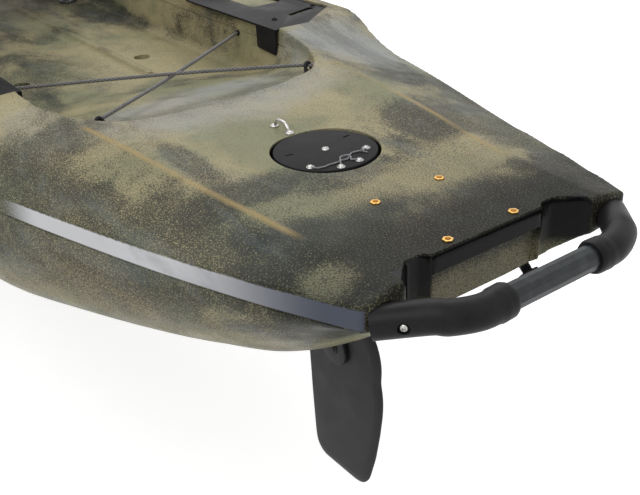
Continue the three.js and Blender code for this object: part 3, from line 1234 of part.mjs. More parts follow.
function buildCarryHandles() {
  bothSides((name, side) => {
    const [y, z] = [side * carry.half, carryAxisZ];
    const inner = y - side * carry.reach;
    const half = carry.length / 2;
    const arms = [-1, 1].flatMap((end) => {
      const x = carryX + end * (half - carry.rod / 2);
      const pinEnd = carryX + end * (half + carry.lug);
      return [bar([x, y, z], [x, inner, z], carry.rod, 8),
        bar([x - (end * carry.rod) / 2, y, z], [x + (end * carry.rod) / 2, y, z], carry.rod, 10),
        bar([x, y, z], [pinEnd, y, z], carry.pin, 10)];
    });
    const gripEnds = [-1, 1].map((end) => [carryX + end * half, inner, z]);
    const grip = bar(...gripEnds, carry.rod * carry.gripShare);
    add(`carry_handle_${name}`, 'rubber', joined(...arms, grip));
  });
}

function hatchLid(name, finish, spec) {
  const { x, length, width, low, hinge, thick, knobX } = spec;
  const over = 2 * (hatch.rim + spec.overhang);
  const cover = ovalPlate(x, length + over, width + over, low, low + thick);
  const plug = ovalPlate(x, length - 2 * spec.inset, width - 2 * spec.inset, low - spec.skirt, low + fit.gap);
  const knuckles = [-1, 1].flatMap((side) => {
    const y = side * hatch.hingeHalf;
    const half = hatch.hingeWidth / 2;
    const reach = half + hatch.hinge;
    const towards = Math.sign(x - hinge.x) * (hatch.hinge * 2);
    const web = [hinge.x, hinge.x + towards].sort((p, q) => p - q);
    return [bar([hinge.x, y - half, hinge.z], [hinge.x, y + half, hinge.z], hatch.hinge, 10),
      bar([hinge.x, y - reach, hinge.z], [hinge.x, y + reach, hinge.z], hatch.hinge / 2, 8),
      block([web[0], y - half, low], [web[1], y + half, low + hatch.hinge * hatch.webShare])];
  });
  const bore = hatch.stem + 2 * fit.running;
  const stemBore = disc(knobX, 0, low - fit.overrun, low + fit.overrun, bore, fit.sides);
  add(`${name}_lid`, finish, cut(joined(cover, plug, ...knuckles), stemBore));

  const knobLow = low + thick + fit.gap;
  const knobHigh = knobLow + hatch.knobHeight;
  const knob = disc(knobX, 0, knobLow, knobHigh, spec.knob);
  const grip = bar([knobX - spec.knob / 2, 0, knobHigh], [knobX + spec.knob / 2, 0, knobHigh], hatch.bar);
  const tongueTop = low - spec.tongueDrop;
  const stem = disc(knobX, 0, tongueTop - hatch.tongueThickness, knobLow + fit.gap, hatch.stem, fit.sides);
  const reach = spec.tongueReach;
  const tongue = block([knobX - hatch.stem / 2, Math.min(0, reach), tongueTop - hatch.tongueThickness],
    [knobX + hatch.stem / 2, Math.max(0, reach), tongueTop]);
  add(`${name}_latch`, 'black', joined(knob, grip, stem, tongue));
}

function buildHatches() {
  const overhang = hatch.lidOverhang / 2;
  const inset = 2 * fit.running + overhang;
  hatchLid('bow_hatch', 'lid', {
    x: hatchX, length: hatch.length, width: hatch.width, low: hatchTopZ + fit.gap,
    hinge: hatchHinge, thick: hatch.lid, overhang, inset, skirt: hatch.skirt, knob: hatch.knobDiameter,
    knobX: hatchX - hatch.length / 2 + hatch.knobDiameter * hatch.knobShare,
    tongueDrop: hatch.rimDepth + fit.gap * 2, tongueReach: hatch.tongue,
  });
  hatchLid('floor_hatch', 'lid', {
    x: floorHatch.x, length: floorHatch.length, width: floorHatch.width, low: floorRimZ + fit.gap,
    hinge: floorHinge, thick: floorHatch.lid, overhang: overhang - floorHatch.rim, inset,
    skirt: floorHatch.skirt, knob: floorHatch.knobDiameter,
    knobX: floorHatch.x + floorHatch.length / 2 - floorHatch.knobDiameter * floorHatch.knobShare,
    tongueDrop: floorHatch.tongueDrop, tongueReach: floorHatch.tongue,
  });
}

function buildDrainPlug() {
  const head = bar(drainPoint(2 * fit.gap), drainPoint(drain.headHeight), drain.head, 20);
  const shank = bar(drainPoint(-drain.length), drainPoint(fit.gap * 3), drain.shank);
  const wingEnds = [drainPoint(drain.headHeight - fit.gap), drainPoint(drain.headHeight + drain.wingHeight)];
  const wing = bar(...wingEnds, drain.head * drain.wingShare, 6);
  add('drain_plug', 'black', joined(head, shank, wing));
}

add('hull', 'hull', buildHull());
buildSternHandle();
buildInserts();
buildPadeye();
buildRudder();
buildSteering();
buildPullHandles();
buildBrackets();
buildShockCords();
buildDrive();
buildSeat();
buildRails();
buildBowHandle();
buildCarryHandles();
buildHatches();
buildDrainPlug();

export default kayak;
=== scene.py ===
"""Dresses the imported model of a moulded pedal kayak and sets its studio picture."""
from __future__ import annotations

import logging
import math
from dataclasses import dataclass
from enum import Enum
from typing import Callable, Iterable, Sequence

import bmesh
import bpy
import numpy as np
from mathutils import Matrix, Vector


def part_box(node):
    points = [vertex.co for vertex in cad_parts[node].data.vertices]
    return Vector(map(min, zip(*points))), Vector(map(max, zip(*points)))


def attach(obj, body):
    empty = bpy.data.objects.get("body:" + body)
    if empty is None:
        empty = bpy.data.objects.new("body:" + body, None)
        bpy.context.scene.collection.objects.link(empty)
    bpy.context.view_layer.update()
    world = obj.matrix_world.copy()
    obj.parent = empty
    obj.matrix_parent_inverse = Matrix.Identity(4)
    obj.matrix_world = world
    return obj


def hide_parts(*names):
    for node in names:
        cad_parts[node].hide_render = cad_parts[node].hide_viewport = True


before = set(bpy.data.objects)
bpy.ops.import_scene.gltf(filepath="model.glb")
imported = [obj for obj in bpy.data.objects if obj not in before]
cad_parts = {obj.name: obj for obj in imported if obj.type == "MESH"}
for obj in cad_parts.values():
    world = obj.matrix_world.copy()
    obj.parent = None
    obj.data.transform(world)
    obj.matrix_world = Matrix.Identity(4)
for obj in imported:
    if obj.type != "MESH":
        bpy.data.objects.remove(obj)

log = logging.getLogger("kayak")

ALONG, ACROSS, UP = (Vector(axis) for axis in ((1, 0, 0), (0, 1, 0), (0, 0, 1)))
Row = tuple[float, float]
Place = tuple[float, float, float]
Array, Item, Material = np.ndarray, bpy.types.Object, bpy.types.Material
Node, Socket, Tree = bpy.types.Node, bpy.types.NodeSocket, bpy.types.NodeTree


class Side(Enum):
    """The two sides of the boat and their sign along Y."""

    PORT = 1
    STARBOARD = -1

    @property
    def label(self) -> str:
        """The side's word in the node names."""
        return self.name.lower()


# Mesh building.


def turns(count: int) -> Array:
    """Evenly spread angles round a full turn."""
    return np.linspace(0, 2 * math.pi, count, endpoint=False)


def arc(centre: Row, radius: float, start: float, end: float, steps: int) -> list[Row]:
    """Points along an arc between two angles."""
    return [(centre[0] + radius * math.cos(t), centre[1] + radius * math.sin(t))
            for t in np.linspace(start, end, steps)]


def squared(angle: float, power: float) -> Row:
    """Cosine and sine of an angle, drawn towards a box by a power below one."""
    c, s = math.cos(angle), math.sin(angle)
    return math.copysign(abs(c) ** power, c), math.copysign(abs(s) ** power, s)


def oblong(x: float, length: float, width: float, z: float, power: float, steps: int) -> list[Place]:
    """An outline between an oval and a box, at a height.

    Args:
        x: X of its middle.
        length: Its size along X.
        width: Its size along Y.
        z: The height of its points.
        power: One for an oval, towards nought for a box.
        steps: Number of points.

    Returns:
        The outline's points.
    """
    shares = (squared(angle, power) for angle in turns(steps))
    return [(x + length / 2 * c, width / 2 * s, z) for c, s in shares]


def mesh_object(name: str, vertices: Iterable[Sequence[float]], faces: Iterable[Sequence[int]]) -> Item:
    """Makes a smooth shaded mesh object with its faces turned outward.

    Args:
        name: The object's name.
        vertices: Corner places in metres.
        faces: Corner indices of each face.

    Returns:
        The new object, linked to the scene.
    """
    mesh = bpy.data.meshes.new(name)
    mesh.from_pydata([tuple(v) for v in vertices], [], [tuple(f) for f in faces])
    work = bmesh.new()
    work.from_mesh(mesh)
    bmesh.ops.recalc_face_normals(work, faces=work.faces)
    work.to_mesh(mesh)
    work.free()
    mesh.polygons.foreach_set("use_smooth", [True] * len(mesh.polygons))
    item = bpy.data.objects.new(name, mesh)
    bpy.context.scene.collection.objects.link(item)
    return item


def lofted(name: str, rings: Array) -> Item:
    """Skins rings of points and caps both ends.

    Args:
        name: The object's name.
        rings: Array of rings, each with the same number of points.

    Returns:
        The skinned object.
    """
    count, size = rings.shape[0], rings.shape[1]
    faces = [
        (r * size + i, r * size + (i + 1) % size, (r + 1) * size + (i + 1) % size, (r + 1) * size + i)
        for r in range(count - 1)
        for i in range(size)
    ]
    faces += [tuple(range(size)), tuple(range((count - 1) * size, count * size))]
    return mesh_object(name, rings.reshape(-1, 3), faces)


def turned(name: str, profile: Sequence[Row], place: Place, axis: Vector = UP, sides: int = 64) -> Item:
    """Turns a profile about an axis.

    Args:
        name: The object's name.
        profile: Rows of radius and distance along the axis; it closes on itself or on the axis.
        place: Where the axis's zero lies.
        axis: The direction of the axis.
        sides: Steps round the axis.

    Returns:
        The turned object.
    """
    turn = axis.normalized().to_track_quat("Z", "Y").to_matrix()
    angles = turns(sides)
    rings = []
    for radius, along in profile:
        size = max(radius, 1e-6)
        ring = [Vector(place) + turn @ Vector((size * math.cos(a), size * math.sin(a), along))
                for a in angles]
        rings.append([tuple(p) for p in ring])
    item = lofted(name, np.array(rings))
    welded(item, 2e-6)
    return item


def rod(name: str, radius: float, low: float, high: float, place: Place, axis: Vector = UP,
        sides: int = 64) -> Item:
    """A plain round bar between two distances along its axis."""
    return turned(name, [(0, low), (radius, low), (radius, high), (0, high)], place, axis, sides)


def mirrored(half: Sequence[Row]) -> list[Row]:
    """A profile that is the same on both sides of nought, from its outer half."""
    start = 1 if half[0][1] == 0 else 0
    return [*[(radius, -along) for radius, along in half[start:][::-1]], *half]


def welded(item: Item, distance: float) -> None:
    """Merges corners that lie closer together than a distance.

    Args:
        item: The piece.
        distance: How close together they lie, in metres.
    """
    work = bmesh.new()
    work.from_mesh(item.data)
    bmesh.ops.remove_doubles(work, verts=work.verts, dist=distance)
    bmesh.ops.recalc_face_normals(work, faces=work.faces)
    work.to_mesh(item.data)
    work.free()


def smooth_route(points: Sequence[Sequence[float]], steps: int) -> Array:
    """Runs a smooth curve through points.

    Args:
        points: The places that the curve passes.
        steps: Number of points wanted.

    Returns:
        Evenly spread points along the curve.
    """
    given = np.array(points, float)
    ends = np.vstack([2 * given[0] - given[1], given, 2 * given[-1] - given[-2]])
    dense = []
    for i in range(1, len(ends) - 2):
        p0, p1, p2, p3 = ends[i - 1 : i + 3]
        for t in np.linspace(0, 1, 24, endpoint=False):
            dense.append(0.5 * (2 * p1 + (p2 - p0) * t + (2 * p0 - 5 * p1 + 4 * p2 - p3) * t**2
                                + (3 * p1 - p0 - 3 * p2 + p3) * t**3))
    dense.append(given[-1])
    line = np.array(dense)
    lengths = np.concatenate([[0], np.cumsum(np.linalg.norm(np.diff(line, axis=0), axis=1))])
    places = np.linspace(0, lengths[-1], steps)
    return np.stack([np.interp(places, lengths, line[:, k]) for k in range(3)], axis=1)


def tube(name: str, route: Array, radius: float | Array, sides: int = 24, rounded: bool = False) -> Item:
    """Sweeps a round section along a route without twist.

    Args:
        name: The object's name.
        route: Points along the middle of the tube.
        radius: One radius, or one for each point.
        sides: Steps round the section.
        rounded: Whether the ends are domed instead of flat.

    Returns:
        The tube.
    """
    sizes = np.full(len(route), radius) if np.isscalar(radius) else np.asarray(radius)
    if rounded:
        route, sizes = domed(route, sizes)
    tangents = np.gradient(route, axis=0)
    tangents /= np.linalg.norm(tangents, axis=1)[:, None]
    across = Vector(tangents[0]).orthogonal().normalized()
    rings = []
    for place, tangent, size in zip(route, tangents, sizes):
        along = Vector(tangent)
        across = (across - along * across.dot(along)).normalized()
        other = along.cross(across)
        angles = turns(sides)
        rings.append([tuple(Vector(place) + (across * math.cos(a) + other * math.sin(a)) * size)
                      for a in angles])
    item = lofted(name, np.array(rings))
    measured(item, route, sides)
    return item


def measured(item: Item, route: Array, sides: int) -> None:
    """Writes metres along a tube and the share of a turn round it as its UV map.

    Args:
        item: The tube, ring after ring.
        route: The middle of each ring.
        sides: Corners in each ring.
    """
    lengths = np.concatenate([[0], np.cumsum(np.linalg.norm(np.diff(route, axis=0), axis=1))])
    layer = item.data.uv_layers.new(name="run")
    for face in item.data.polygons:
        shares = [(index % sides) / sides for index in face.vertices]
        wraps = max(shares) - min(shares) > 0.5
        for corner, index, share in zip(face.loop_indices, face.vertices, shares):
            turn = share + 1.0 if wraps and share < 0.5 else share
            layer.data[corner].uv = (float(lengths[index // sides]), turn)


def domed(route: Array, sizes: Array) -> tuple[Array, Array]:
    """Draws the ends of a route in to a dome.

    Args:
        route: Points along the tube.
        sizes: The radius at each point.

    Returns:
        The longer route and its radii.
    """
    def cap(end: Array, inward: Array, size: float) -> tuple[list[Array], list[float]]:
        """Points and radii of one domed end."""
        rows = [(0.03, 0.22), (0.12, 0.47), (0.3, 0.71), (0.6, 0.92)]
        return [end + inward * size * a for a, _ in rows], [size * b for _, b in rows]

    first = (route[1] - route[0]) / np.linalg.norm(route[1] - route[0])
    last = (route[-2] - route[-1]) / np.linalg.norm(route[-2] - route[-1])
    start, start_sizes = cap(route[0], first, sizes[0])
    end, end_sizes = cap(route[-1], last, sizes[-1])
    far = [i for i in range(len(route)) if min(np.linalg.norm(route[i] - route[0]),
                                               np.linalg.norm(route[i] - route[-1])) > sizes[0]]
    middle = route[far]
    route = np.vstack([start, middle, end[::-1]])
    return route, np.concatenate([start_sizes, sizes[far], end_sizes[::-1]])


def prism(name: str, outline: Sequence[Row], low: float, high: float, bevel: float,
          across: str = "z") -> Item:
    """Makes a plate with rounded edges from an outline.

    Args:
        name: The object's name.
        outline: The outline's corners in the plate's plane.
        low: Lower face of the plate.
        high: Upper face of the plate.
        bevel: Radius of its edges.
        across: The axis that the thickness runs along, x, y or z.

    Returns:
        The plate, with its bevel baked.
    """
    order = {"z": (0, 1, 2), "y": (0, 2, 1), "x": (1, 2, 0)}[across]
    rings = []
    for level in (low, high):
        ring = []
        for a, b in outline:
            values = (a, b, level)
            ring.append(tuple(values[order.index(k)] for k in range(3)))
        rings.append(ring)
    item = lofted(name, np.array(rings))
    bevelled(item, bevel, 3)
    return item


def rounded(corners: Sequence[Row], radius: float, steps: int = 5) -> list[Row]:
    """Rounds the corners of a closed outline.

    Args:
        corners: The outline's corners.
        radius: How far from each corner the arc starts.
        steps: Points on each arc.

    Returns:
        The rounded outline.
    """
    result = []
    count = len(corners)
    for index in range(count):
        here, before, after = (Vector(corners[(index + k) % count]) for k in (0, -1, 1))
        reach = min(radius, (before - here).length * 0.45, (after - here).length * 0.45)
        start, end = here + (before - here).normalized() * reach, here + (after - here).normalized() * reach
        for t in np.linspace(0, 1, steps):
            point = start * (1 - t) ** 2 + here * 2 * t * (1 - t) + end * t**2
            result.append((point.x, point.y))
    return result


def eased(corners: Sequence[Row], count: int, passes: int) -> Array:
    """A closed outline in x and z with even steps and eased corners.

    Args:
        corners: The outline's corners.
        count: How many points to give.
        passes: How often each point moves to the middle of its neighbours.

    Returns:
        The outline's points in the plane y = 0.
    """
    loop = np.array([*corners, corners[0]])
    far = np.concatenate([[0.0], np.cumsum(np.linalg.norm(np.diff(loop, axis=0), axis=1))])
    steps = np.linspace(0.0, far[-1], count, endpoint=False)
    ring = np.stack([np.interp(steps, far, loop[:, 0]), np.zeros(count), np.interp(steps, far, loop[:, 1])],
                    axis=1)
    for _ in range(passes):
        ring = (np.roll(ring, 1, axis=0) + 2 * ring + np.roll(ring, -1, axis=0)) / 4
    return ring


def capsule(a: Vector, b: Vector, radius: float) -> list[Row]:
    """The outline of a slot between two places.

    Args:
        a: Middle of one end.
        b: Middle of the other end.
        radius: Half the slot's width.

    Returns:
        The outline's corners.
    """
    base = math.atan2(b.y - a.y, b.x - a.x)
    rows = []
    for centre, start in ((b, base - math.pi / 2), (a, base + math.pi / 2)):
        rows += arc(centre, radius, start, start + math.pi, 17)
    return rows


def block(name: str, low: Sequence[float], high: Sequence[float], bevel: float) -> Item:
    """Makes a box with rounded edges between two corners."""
    outline = [(low[0], low[1]), (high[0], low[1]), (high[0], high[1]), (low[0], high[1])]
    return prism(name, outline, low[2], high[2], bevel)


def bevelled(item: Item, width: float, segments: int = 2, angle: float = 0.5) -> None:
    """Rounds the sharp edges of a piece and bakes the result.

    Args:
        item: The piece.
        width: How wide the rounding is.
        segments: How many faces lie across it.
        angle: The least angle that is rounded, in radians.
    """
    edge = item.modifiers.new("rounded edges", "BEVEL")
    edge.width, edge.segments, edge.limit_method, edge.angle_limit = width, segments, "ANGLE", angle
    edge.use_clamp_overlap = True
    baked(item)
    sharpened(item, 0.7)


def sharpened(item: Item, angle: float) -> None:
    """Shades a piece smooth except over edges sharper than an angle."""
    item.data.polygons.foreach_set("use_smooth", [True] * len(item.data.polygons))
    item.data.set_sharp_from_angle(angle=angle)


def baked(item: Item) -> Item:
    """Applies the modifiers of a piece.

    Args:
        item: The piece.

    Returns:
        The same piece with its final mesh.
    """
    graph = bpy.context.evaluated_depsgraph_get()
    mesh = bpy.data.meshes.new_from_object(item.evaluated_get(graph))
    item.modifiers.clear()
    old, item.data = item.data, mesh
    bpy.data.meshes.remove(old)
    return item


def combined(name: str, items: Sequence[Item]) -> Item:
    """Joins pieces into one object without welding them.

    Args:
        name: The new object's name.
        items: The pieces, which are used up.

    Returns:
        The joined object.
    """
    work = bmesh.new()
    slots: list[Material] = []
    for item in items:
        start = len(work.faces)
        work.from_mesh(item.data)
        work.faces.ensure_lookup_table()
        for face in work.faces[start:]:
            if item.data.materials:
                finish = item.data.materials[min(face.material_index, len(item.data.materials) - 1)]
                if finish not in slots:
                    slots.append(finish)
                face.material_index = slots.index(finish)
    mesh = bpy.data.meshes.new(name)
    work.to_mesh(mesh)
    work.free()
    for finish in slots:
        mesh.materials.append(finish)
    for item in items:
        discard(item)
    joined = bpy.data.objects.new(name, mesh)
    bpy.context.scene.collection.objects.link(joined)
    return joined


def discard(item: Item) -> None:
    """Removes a working object and its mesh.

    Args:
        item: The working object.
    """
    mesh = item.data
    bpy.data.objects.remove(item)
    bpy.data.meshes.remove(mesh)


def carved(item: Item, tools: Sequence[Item], operation: str = "DIFFERENCE") -> None:
    """Cuts a body with tools, or joins them to it, and removes the tools.

    Args:
        item: The body that is changed.
        tools: Closed bodies.
        operation: DIFFERENCE or UNION.
    """
    for tool in tools:
        change = item.modifiers.new("carving", "BOOLEAN")
        change.operation, change.solver, change.object = operation, "MANIFOLD", tool
    baked(item)
    for tool in tools:
        discard(tool)


def relaxed(item: Item, passes: int) -> None:
    """Evens a dense mesh by moving each corner towards its neighbours.

    Args:
        item: The piece.
        passes: How often the corners move.
    """
    mesh = item.data
    count = len(mesh.vertices)
    places = np.zeros(count * 3)
    mesh.vertices.foreach_get("co", places)
    places = places.reshape(-1, 3)
    edges = np.zeros(len(mesh.edges) * 2, int)
    mesh.edges.foreach_get("vertices", edges)
    a, b = edges.reshape(-1, 2).T
    degree = np.bincount(a, minlength=count) + np.bincount(b, minlength=count)
    for index in range(passes):
        weight = 0.5 if index % 2 == 0 else -0.515
        total = np.zeros_like(places)
        for axis in range(3):
            total[:, axis] = np.bincount(a, places[b, axis], count) + np.bincount(b, places[a, axis], count)
        places += weight * (total / degree[:, None] - places)
    mesh.vertices.foreach_set("co", places.ravel())
    mesh.update()


# Shading.


class Graph:
    """Adds nodes to one tree and links them."""

    def __init__(self, tree: Tree) -> None:
        """Keeps the tree."""
        self.tree = tree

    def node(self, kind: str, **inputs: object) -> Node:
        """Adds a node.

        Args:
            kind: The node's type.
            **inputs: Values or sockets for inputs, by name with underscores for spaces.

        Returns:
            The new node.
        """
        made = self.tree.nodes.new(kind)
        for name, value in inputs.items():
            self.put(made.inputs[name.replace("_", " ")], value)
        return made

    def put(self, socket: Socket, value: object) -> None:
        """Links a socket to an input, or sets the input's value.

        Args:
            socket: The input.
            value: A socket, or a plain value.
        """
        if isinstance(value, Socket):
            self.tree.links.new(value, socket)
        elif isinstance(value, tuple) and len(value) == 3 and socket.type == "RGBA":
            socket.default_value = (*value, 1.0)
        else:
            socket.default_value = value

    def noise(self, vector: object, scale: float, detail: float = 3.0, rough: float = 0.5,
              bend: float = 0.0) -> Socket:
        """Adds noise.

        Args:
            vector: Where the noise is read.
            scale: Waves in a metre.
            detail: Number of finer layers.
            rough: Weight of the finer layers.
            bend: How far the noise bends itself.

        Returns:
            The noise's value.
        """
        made = self.node("ShaderNodeTexNoise", Vector=vector, Scale=scale, Detail=detail, Roughness=rough,
                         Distortion=bend)
        return made.outputs["Fac"]

    def maths(self, operation: str, a: object, b: object = 0.0, clamp: bool = False) -> Socket:
        """Adds a sum of two values.

        Args:
            operation: The kind of sum.
            a: First value or socket.
            b: Second value or socket.
            clamp: Whether the result is kept from 0 to 1.

        Returns:
            The result.
        """
        made = self.tree.nodes.new("ShaderNodeMath")
        made.operation, made.use_clamp = operation, clamp
        self.put(made.inputs[0], a)
        self.put(made.inputs[1], b)
        return made.outputs[0]

    def times(self, first: object, *others: object) -> object:
        """Multiplies any number of values.

        Args:
            first: The first value or socket.
            *others: What it is multiplied by.

        Returns:
            The product.
        """
        for other in others:
            first = self.maths("MULTIPLY", first, other)
        return first

    def plus(self, a: object, b: object) -> Socket:
        """Adds two values."""
        return self.maths("ADD", a, b)

    def minus(self, a: object, b: object) -> Socket:
        """Takes the second value from the first."""
        return self.maths("SUBTRACT", a, b)

    def vector(self, operation: str, a: object, b: object = (0.0, 0.0, 0.0)) -> Socket:
        """Adds a sum of two vectors.

        Args:
            operation: The kind of sum.
            a: First vector or socket.
            b: Second vector or socket.

        Returns:
            The result's socket.
        """
        made = self.tree.nodes.new("ShaderNodeVectorMath")
        made.operation = operation
        self.put(made.inputs[0], a)
        self.put(made.inputs[1], b)
        return made.outputs["Value" if operation in ("LENGTH", "DOT_PRODUCT") else "Vector"]

    def span(self, value: object, low: float, high: float, to_low: float = 0.0,
             to_high: float = 1.0) -> Socket:
        """Maps a range of values smoothly to another.

        Args:
            value: The value that is mapped.
            low: Where the range starts.
            high: Where the range ends.
            to_low: Result at the start.
            to_high: Result at the end.

        Returns:
            The mapped value.
        """
        made = self.tree.nodes.new("ShaderNodeMapRange")
        made.interpolation_type = "SMOOTHSTEP"
        for index, number in enumerate((value, low, high, to_low, to_high)):
            self.put(made.inputs[index], number)
        return made.outputs["Result"]

    def mix(self, factor: object, a: object, b: object, way: str = "MIX") -> Socket:
        """Mixes two colours.

        Args:
            factor: Share of the second colour.
            a: First colour or socket.
            b: Second colour or socket.
            way: The kind of mix.

        Returns:
            The mixed colour.
        """
        made = self.tree.nodes.new("ShaderNodeMix")
        made.data_type, made.blend_type = "RGBA", way
        self.put(made.inputs["Factor"], factor)
        for name, value in (("A", a), ("B", b)):
            socket = next(s for s in made.inputs if s.name == name and s.type == "RGBA")
            self.put(socket, value)
        return next(s for s in made.outputs if s.type == "RGBA")

    def mix_value(self, factor: object, a: object, b: object) -> Socket:
        """Blends from one number to another."""
        return self.plus(self.times(a, self.minus(1.0, factor)), self.times(b, factor))

    def curve(self, value: object, rows: Sequence[Row], low: float, high: float) -> Socket:
        """Reads a table of shares as a smooth curve.

        Args:
            value: Where to read, from nought to one.
            rows: Places and values, in order.
            low: The value at the foot of the curve's box.
            high: The value at its top.

        Returns:
            The curve's value.
        """
        made = self.node("ShaderNodeFloatCurve")
        self.put(made.inputs["Value"], value)
        line = made.mapping.curves[0]
        spots = [(u, (v - low) / (high - low)) for u, v in rows]
        while len(line.points) < len(spots):
            line.points.new(0.5, 0.5)
        for point, spot in zip(line.points, spots):
            point.location = spot
            point.handle_type = "AUTO_CLAMPED"
        made.mapping.update()
        return self.plus(self.times(made.outputs["Value"], high - low), low)

    def place(self, stretch: Place = (1.0, 1.0, 1.0), turn: Place = (0.0, 0.0, 0.0)) -> Socket:
        """Gives the object's own coordinates, turned and then stretched.

        Args:
            stretch: Scale along each axis.
            turn: Turn about each axis, in radians.

        Returns:
            The coordinates' socket.
        """
        found = self.node("ShaderNodeTexCoord").outputs["Object"]
        mapped = self.node("ShaderNodeMapping", Vector=found, Rotation=turn, Scale=stretch)
        return mapped.outputs["Vector"]

    def run(self) -> Socket:
        """Gives a swept piece's own coordinates, along and round."""
        return self.node("ShaderNodeUVMap").outputs["UV"]


EFFECTS: dict[str, Tree] = {}


def effect(name: str, inputs: Sequence[tuple[str, str, object]], outputs: Sequence[tuple[str, str]],
           build: Callable[[Graph, Node, Node], None]) -> Tree:
    """Makes a shared group of nodes the first time it is asked for.

    Args:
        name: The group's name.
        inputs: Name, socket type and default of each input.
        outputs: Name and socket type of each output.
        build: Fills the group between its input and output nodes.

    Returns:
        The group.
    """
    if name in EFFECTS:
        return EFFECTS[name]
    tree = bpy.data.node_groups.new(name, "ShaderNodeTree")
    for label, kind, default in inputs:
        socket = tree.interface.new_socket(label, in_out="INPUT", socket_type=kind)
        if default is not None:
            socket.default_value = default
    for label, kind in outputs:
        tree.interface.new_socket(label, in_out="OUTPUT", socket_type=kind)
    source = tree.nodes.new("NodeGroupInput")
    result = tree.nodes.new("NodeGroupOutput")
    build(Graph(tree), source, result)
    EFFECTS[name] = tree
    return tree


def used(graph: Graph, tree: Tree, **inputs: object) -> Node:
    """Puts a shared group into a material.

    Args:
        graph: The material's nodes.
        tree: The group.
        **inputs: Values or sockets for the group's inputs.

    Returns:
        The group's node.
    """
    made = graph.tree.nodes.new("ShaderNodeGroup")
    made.node_tree = tree
    for name, value in inputs.items():
        graph.put(made.inputs[name.replace("_", " ")], value)
    return made


FLOAT, VECTOR = "NodeSocketFloat", "NodeSocketVector"


def cloud_effect() -> Tree:
    """A smoky patch of colour round one place, with drifting edges.

    Returns:
        The node group.
    """
    def build(graph: Graph, source: Node, result: Node) -> None:
        """Fills the group.

        Args:
            graph: The group's nodes.
            source: The group's input node.
            result: The group's output node.
        """
        away = graph.vector("SUBTRACT", source.outputs["Vector"], source.outputs["Centre"])
        shared = graph.vector("DIVIDE", away, source.outputs["Reach"])
        distance = graph.vector("LENGTH", shared)
        drift = graph.node("ShaderNodeTexNoise", Vector=source.outputs["Vector"], Detail=5.0, Roughness=0.62,
                           Distortion=0.6)
        graph.put(drift.inputs["Scale"], source.outputs["Drift scale"])
        shift = graph.times(graph.minus(drift.outputs["Fac"], 0.5), source.outputs["Drift"])
        moved = graph.plus(distance, shift)
        graph.put(result.inputs["Factor"], graph.span(moved, 1.35, 0.55))

    return effect("smoky_patch",
                  [("Vector", VECTOR, None), ("Centre", VECTOR, None), ("Reach", VECTOR, (1.0, 1.0, 1.0)),
                   ("Drift scale", FLOAT, 14.0), ("Drift", FLOAT, 2.4)],
                  [("Factor", FLOAT)], build)


def scuff_effect() -> Tree:
    """Fine scratches and rubbed spots, as a share and a height.

    Returns:
        The node group.
    """
    def build(graph: Graph, source: Node, result: Node) -> None:
        """Fills the group.

        Args:
            graph: The group's nodes.
            source: The group's input node.
            result: The group's output node.
        """
        long = graph.node("ShaderNodeMapping", Vector=source.outputs["Vector"], Rotation=(0.2, 0.3, 0.5),
                          Scale=(1.0, 14.0, 14.0))
        lines = graph.node("ShaderNodeTexNoise", Vector=long.outputs["Vector"], Detail=3.0, Roughness=0.7)
        graph.put(lines.inputs["Scale"], source.outputs["Scale"])
        places = graph.node("ShaderNodeTexNoise", Vector=source.outputs["Vector"], Detail=2.0)
        graph.put(places.inputs["Scale"], graph.times(source.outputs["Scale"], 0.6))
        marks = graph.times(graph.span(lines.outputs["Fac"], 0.64, 0.72),
                            graph.span(places.outputs["Fac"], 0.45, 0.62))
        graph.put(result.inputs["Factor"], marks)
        graph.put(result.inputs["Height"], graph.times(marks, -1.0))

    return effect("fine_scuffs", [("Vector", VECTOR, None), ("Scale", FLOAT, 24.0)],
                  [("Factor", FLOAT), ("Height", FLOAT)], build)


def weave_effect() -> Tree:
    """A plain woven cloth: threads over and under in two directions.

    Returns:
        The node group.
    """
    def build(graph: Graph, source: Node, result: Node) -> None:
        """Fills the group.

        Args:
            graph: The group's nodes.
            source: The group's input node.
            result: The group's output node.
        """
        parts = graph.node("ShaderNodeSeparateXYZ", Vector=source.outputs["Vector"])
        turn = graph.times(source.outputs["Threads"], math.pi)
        along = graph.maths("SINE", graph.times(parts.outputs["X"], turn))
        across = graph.maths("SINE", graph.times(parts.outputs["Y"], turn))
        upward = graph.maths("SINE", graph.times(parts.outputs["Z"], turn))
        woven = graph.times(along, across)
        standing = graph.times(across, upward)
        both = graph.plus(woven, graph.times(standing, 0.8))
        graph.put(result.inputs["Height"], both)
        graph.put(result.inputs["Factor"], graph.span(both, -0.9, 0.9))

    return effect("cloth_weave", [("Vector", VECTOR, None), ("Threads", FLOAT, 900.0)],
                  [("Factor", FLOAT), ("Height", FLOAT)], build)


def braid_effect() -> Tree:
    """A braided cover: two sets of strands that cross round a cord.

    Returns:
        The node group.
    """
    def build(graph: Graph, source: Node, result: Node) -> None:
        """Fills the group.

        Args:
            graph: The group's nodes.
            source: The group's input node.
            result: The group's output node.
        """
        parts = graph.node("ShaderNodeSeparateXYZ", Vector=source.outputs["Vector"])
        along = graph.times(parts.outputs["X"], graph.maths("DIVIDE", 2 * math.pi, source.outputs["Pitch"]))
        around = graph.times(parts.outputs["Y"], graph.times(source.outputs["Strands"], 2 * math.pi))
        one = graph.maths("SINE", graph.plus(along, around))
        other = graph.maths("SINE", graph.minus(along, around))
        crossed = graph.maths("MAXIMUM", one, other)
        graph.put(result.inputs["Height"], crossed)
        graph.put(result.inputs["Factor"], graph.span(crossed, -0.2, 0.9))

    return effect("braided_cover", [("Vector", VECTOR, None), ("Pitch", FLOAT, 0.008),
                                    ("Strands", FLOAT, 4.0)], [("Factor", FLOAT), ("Height", FLOAT)], build)


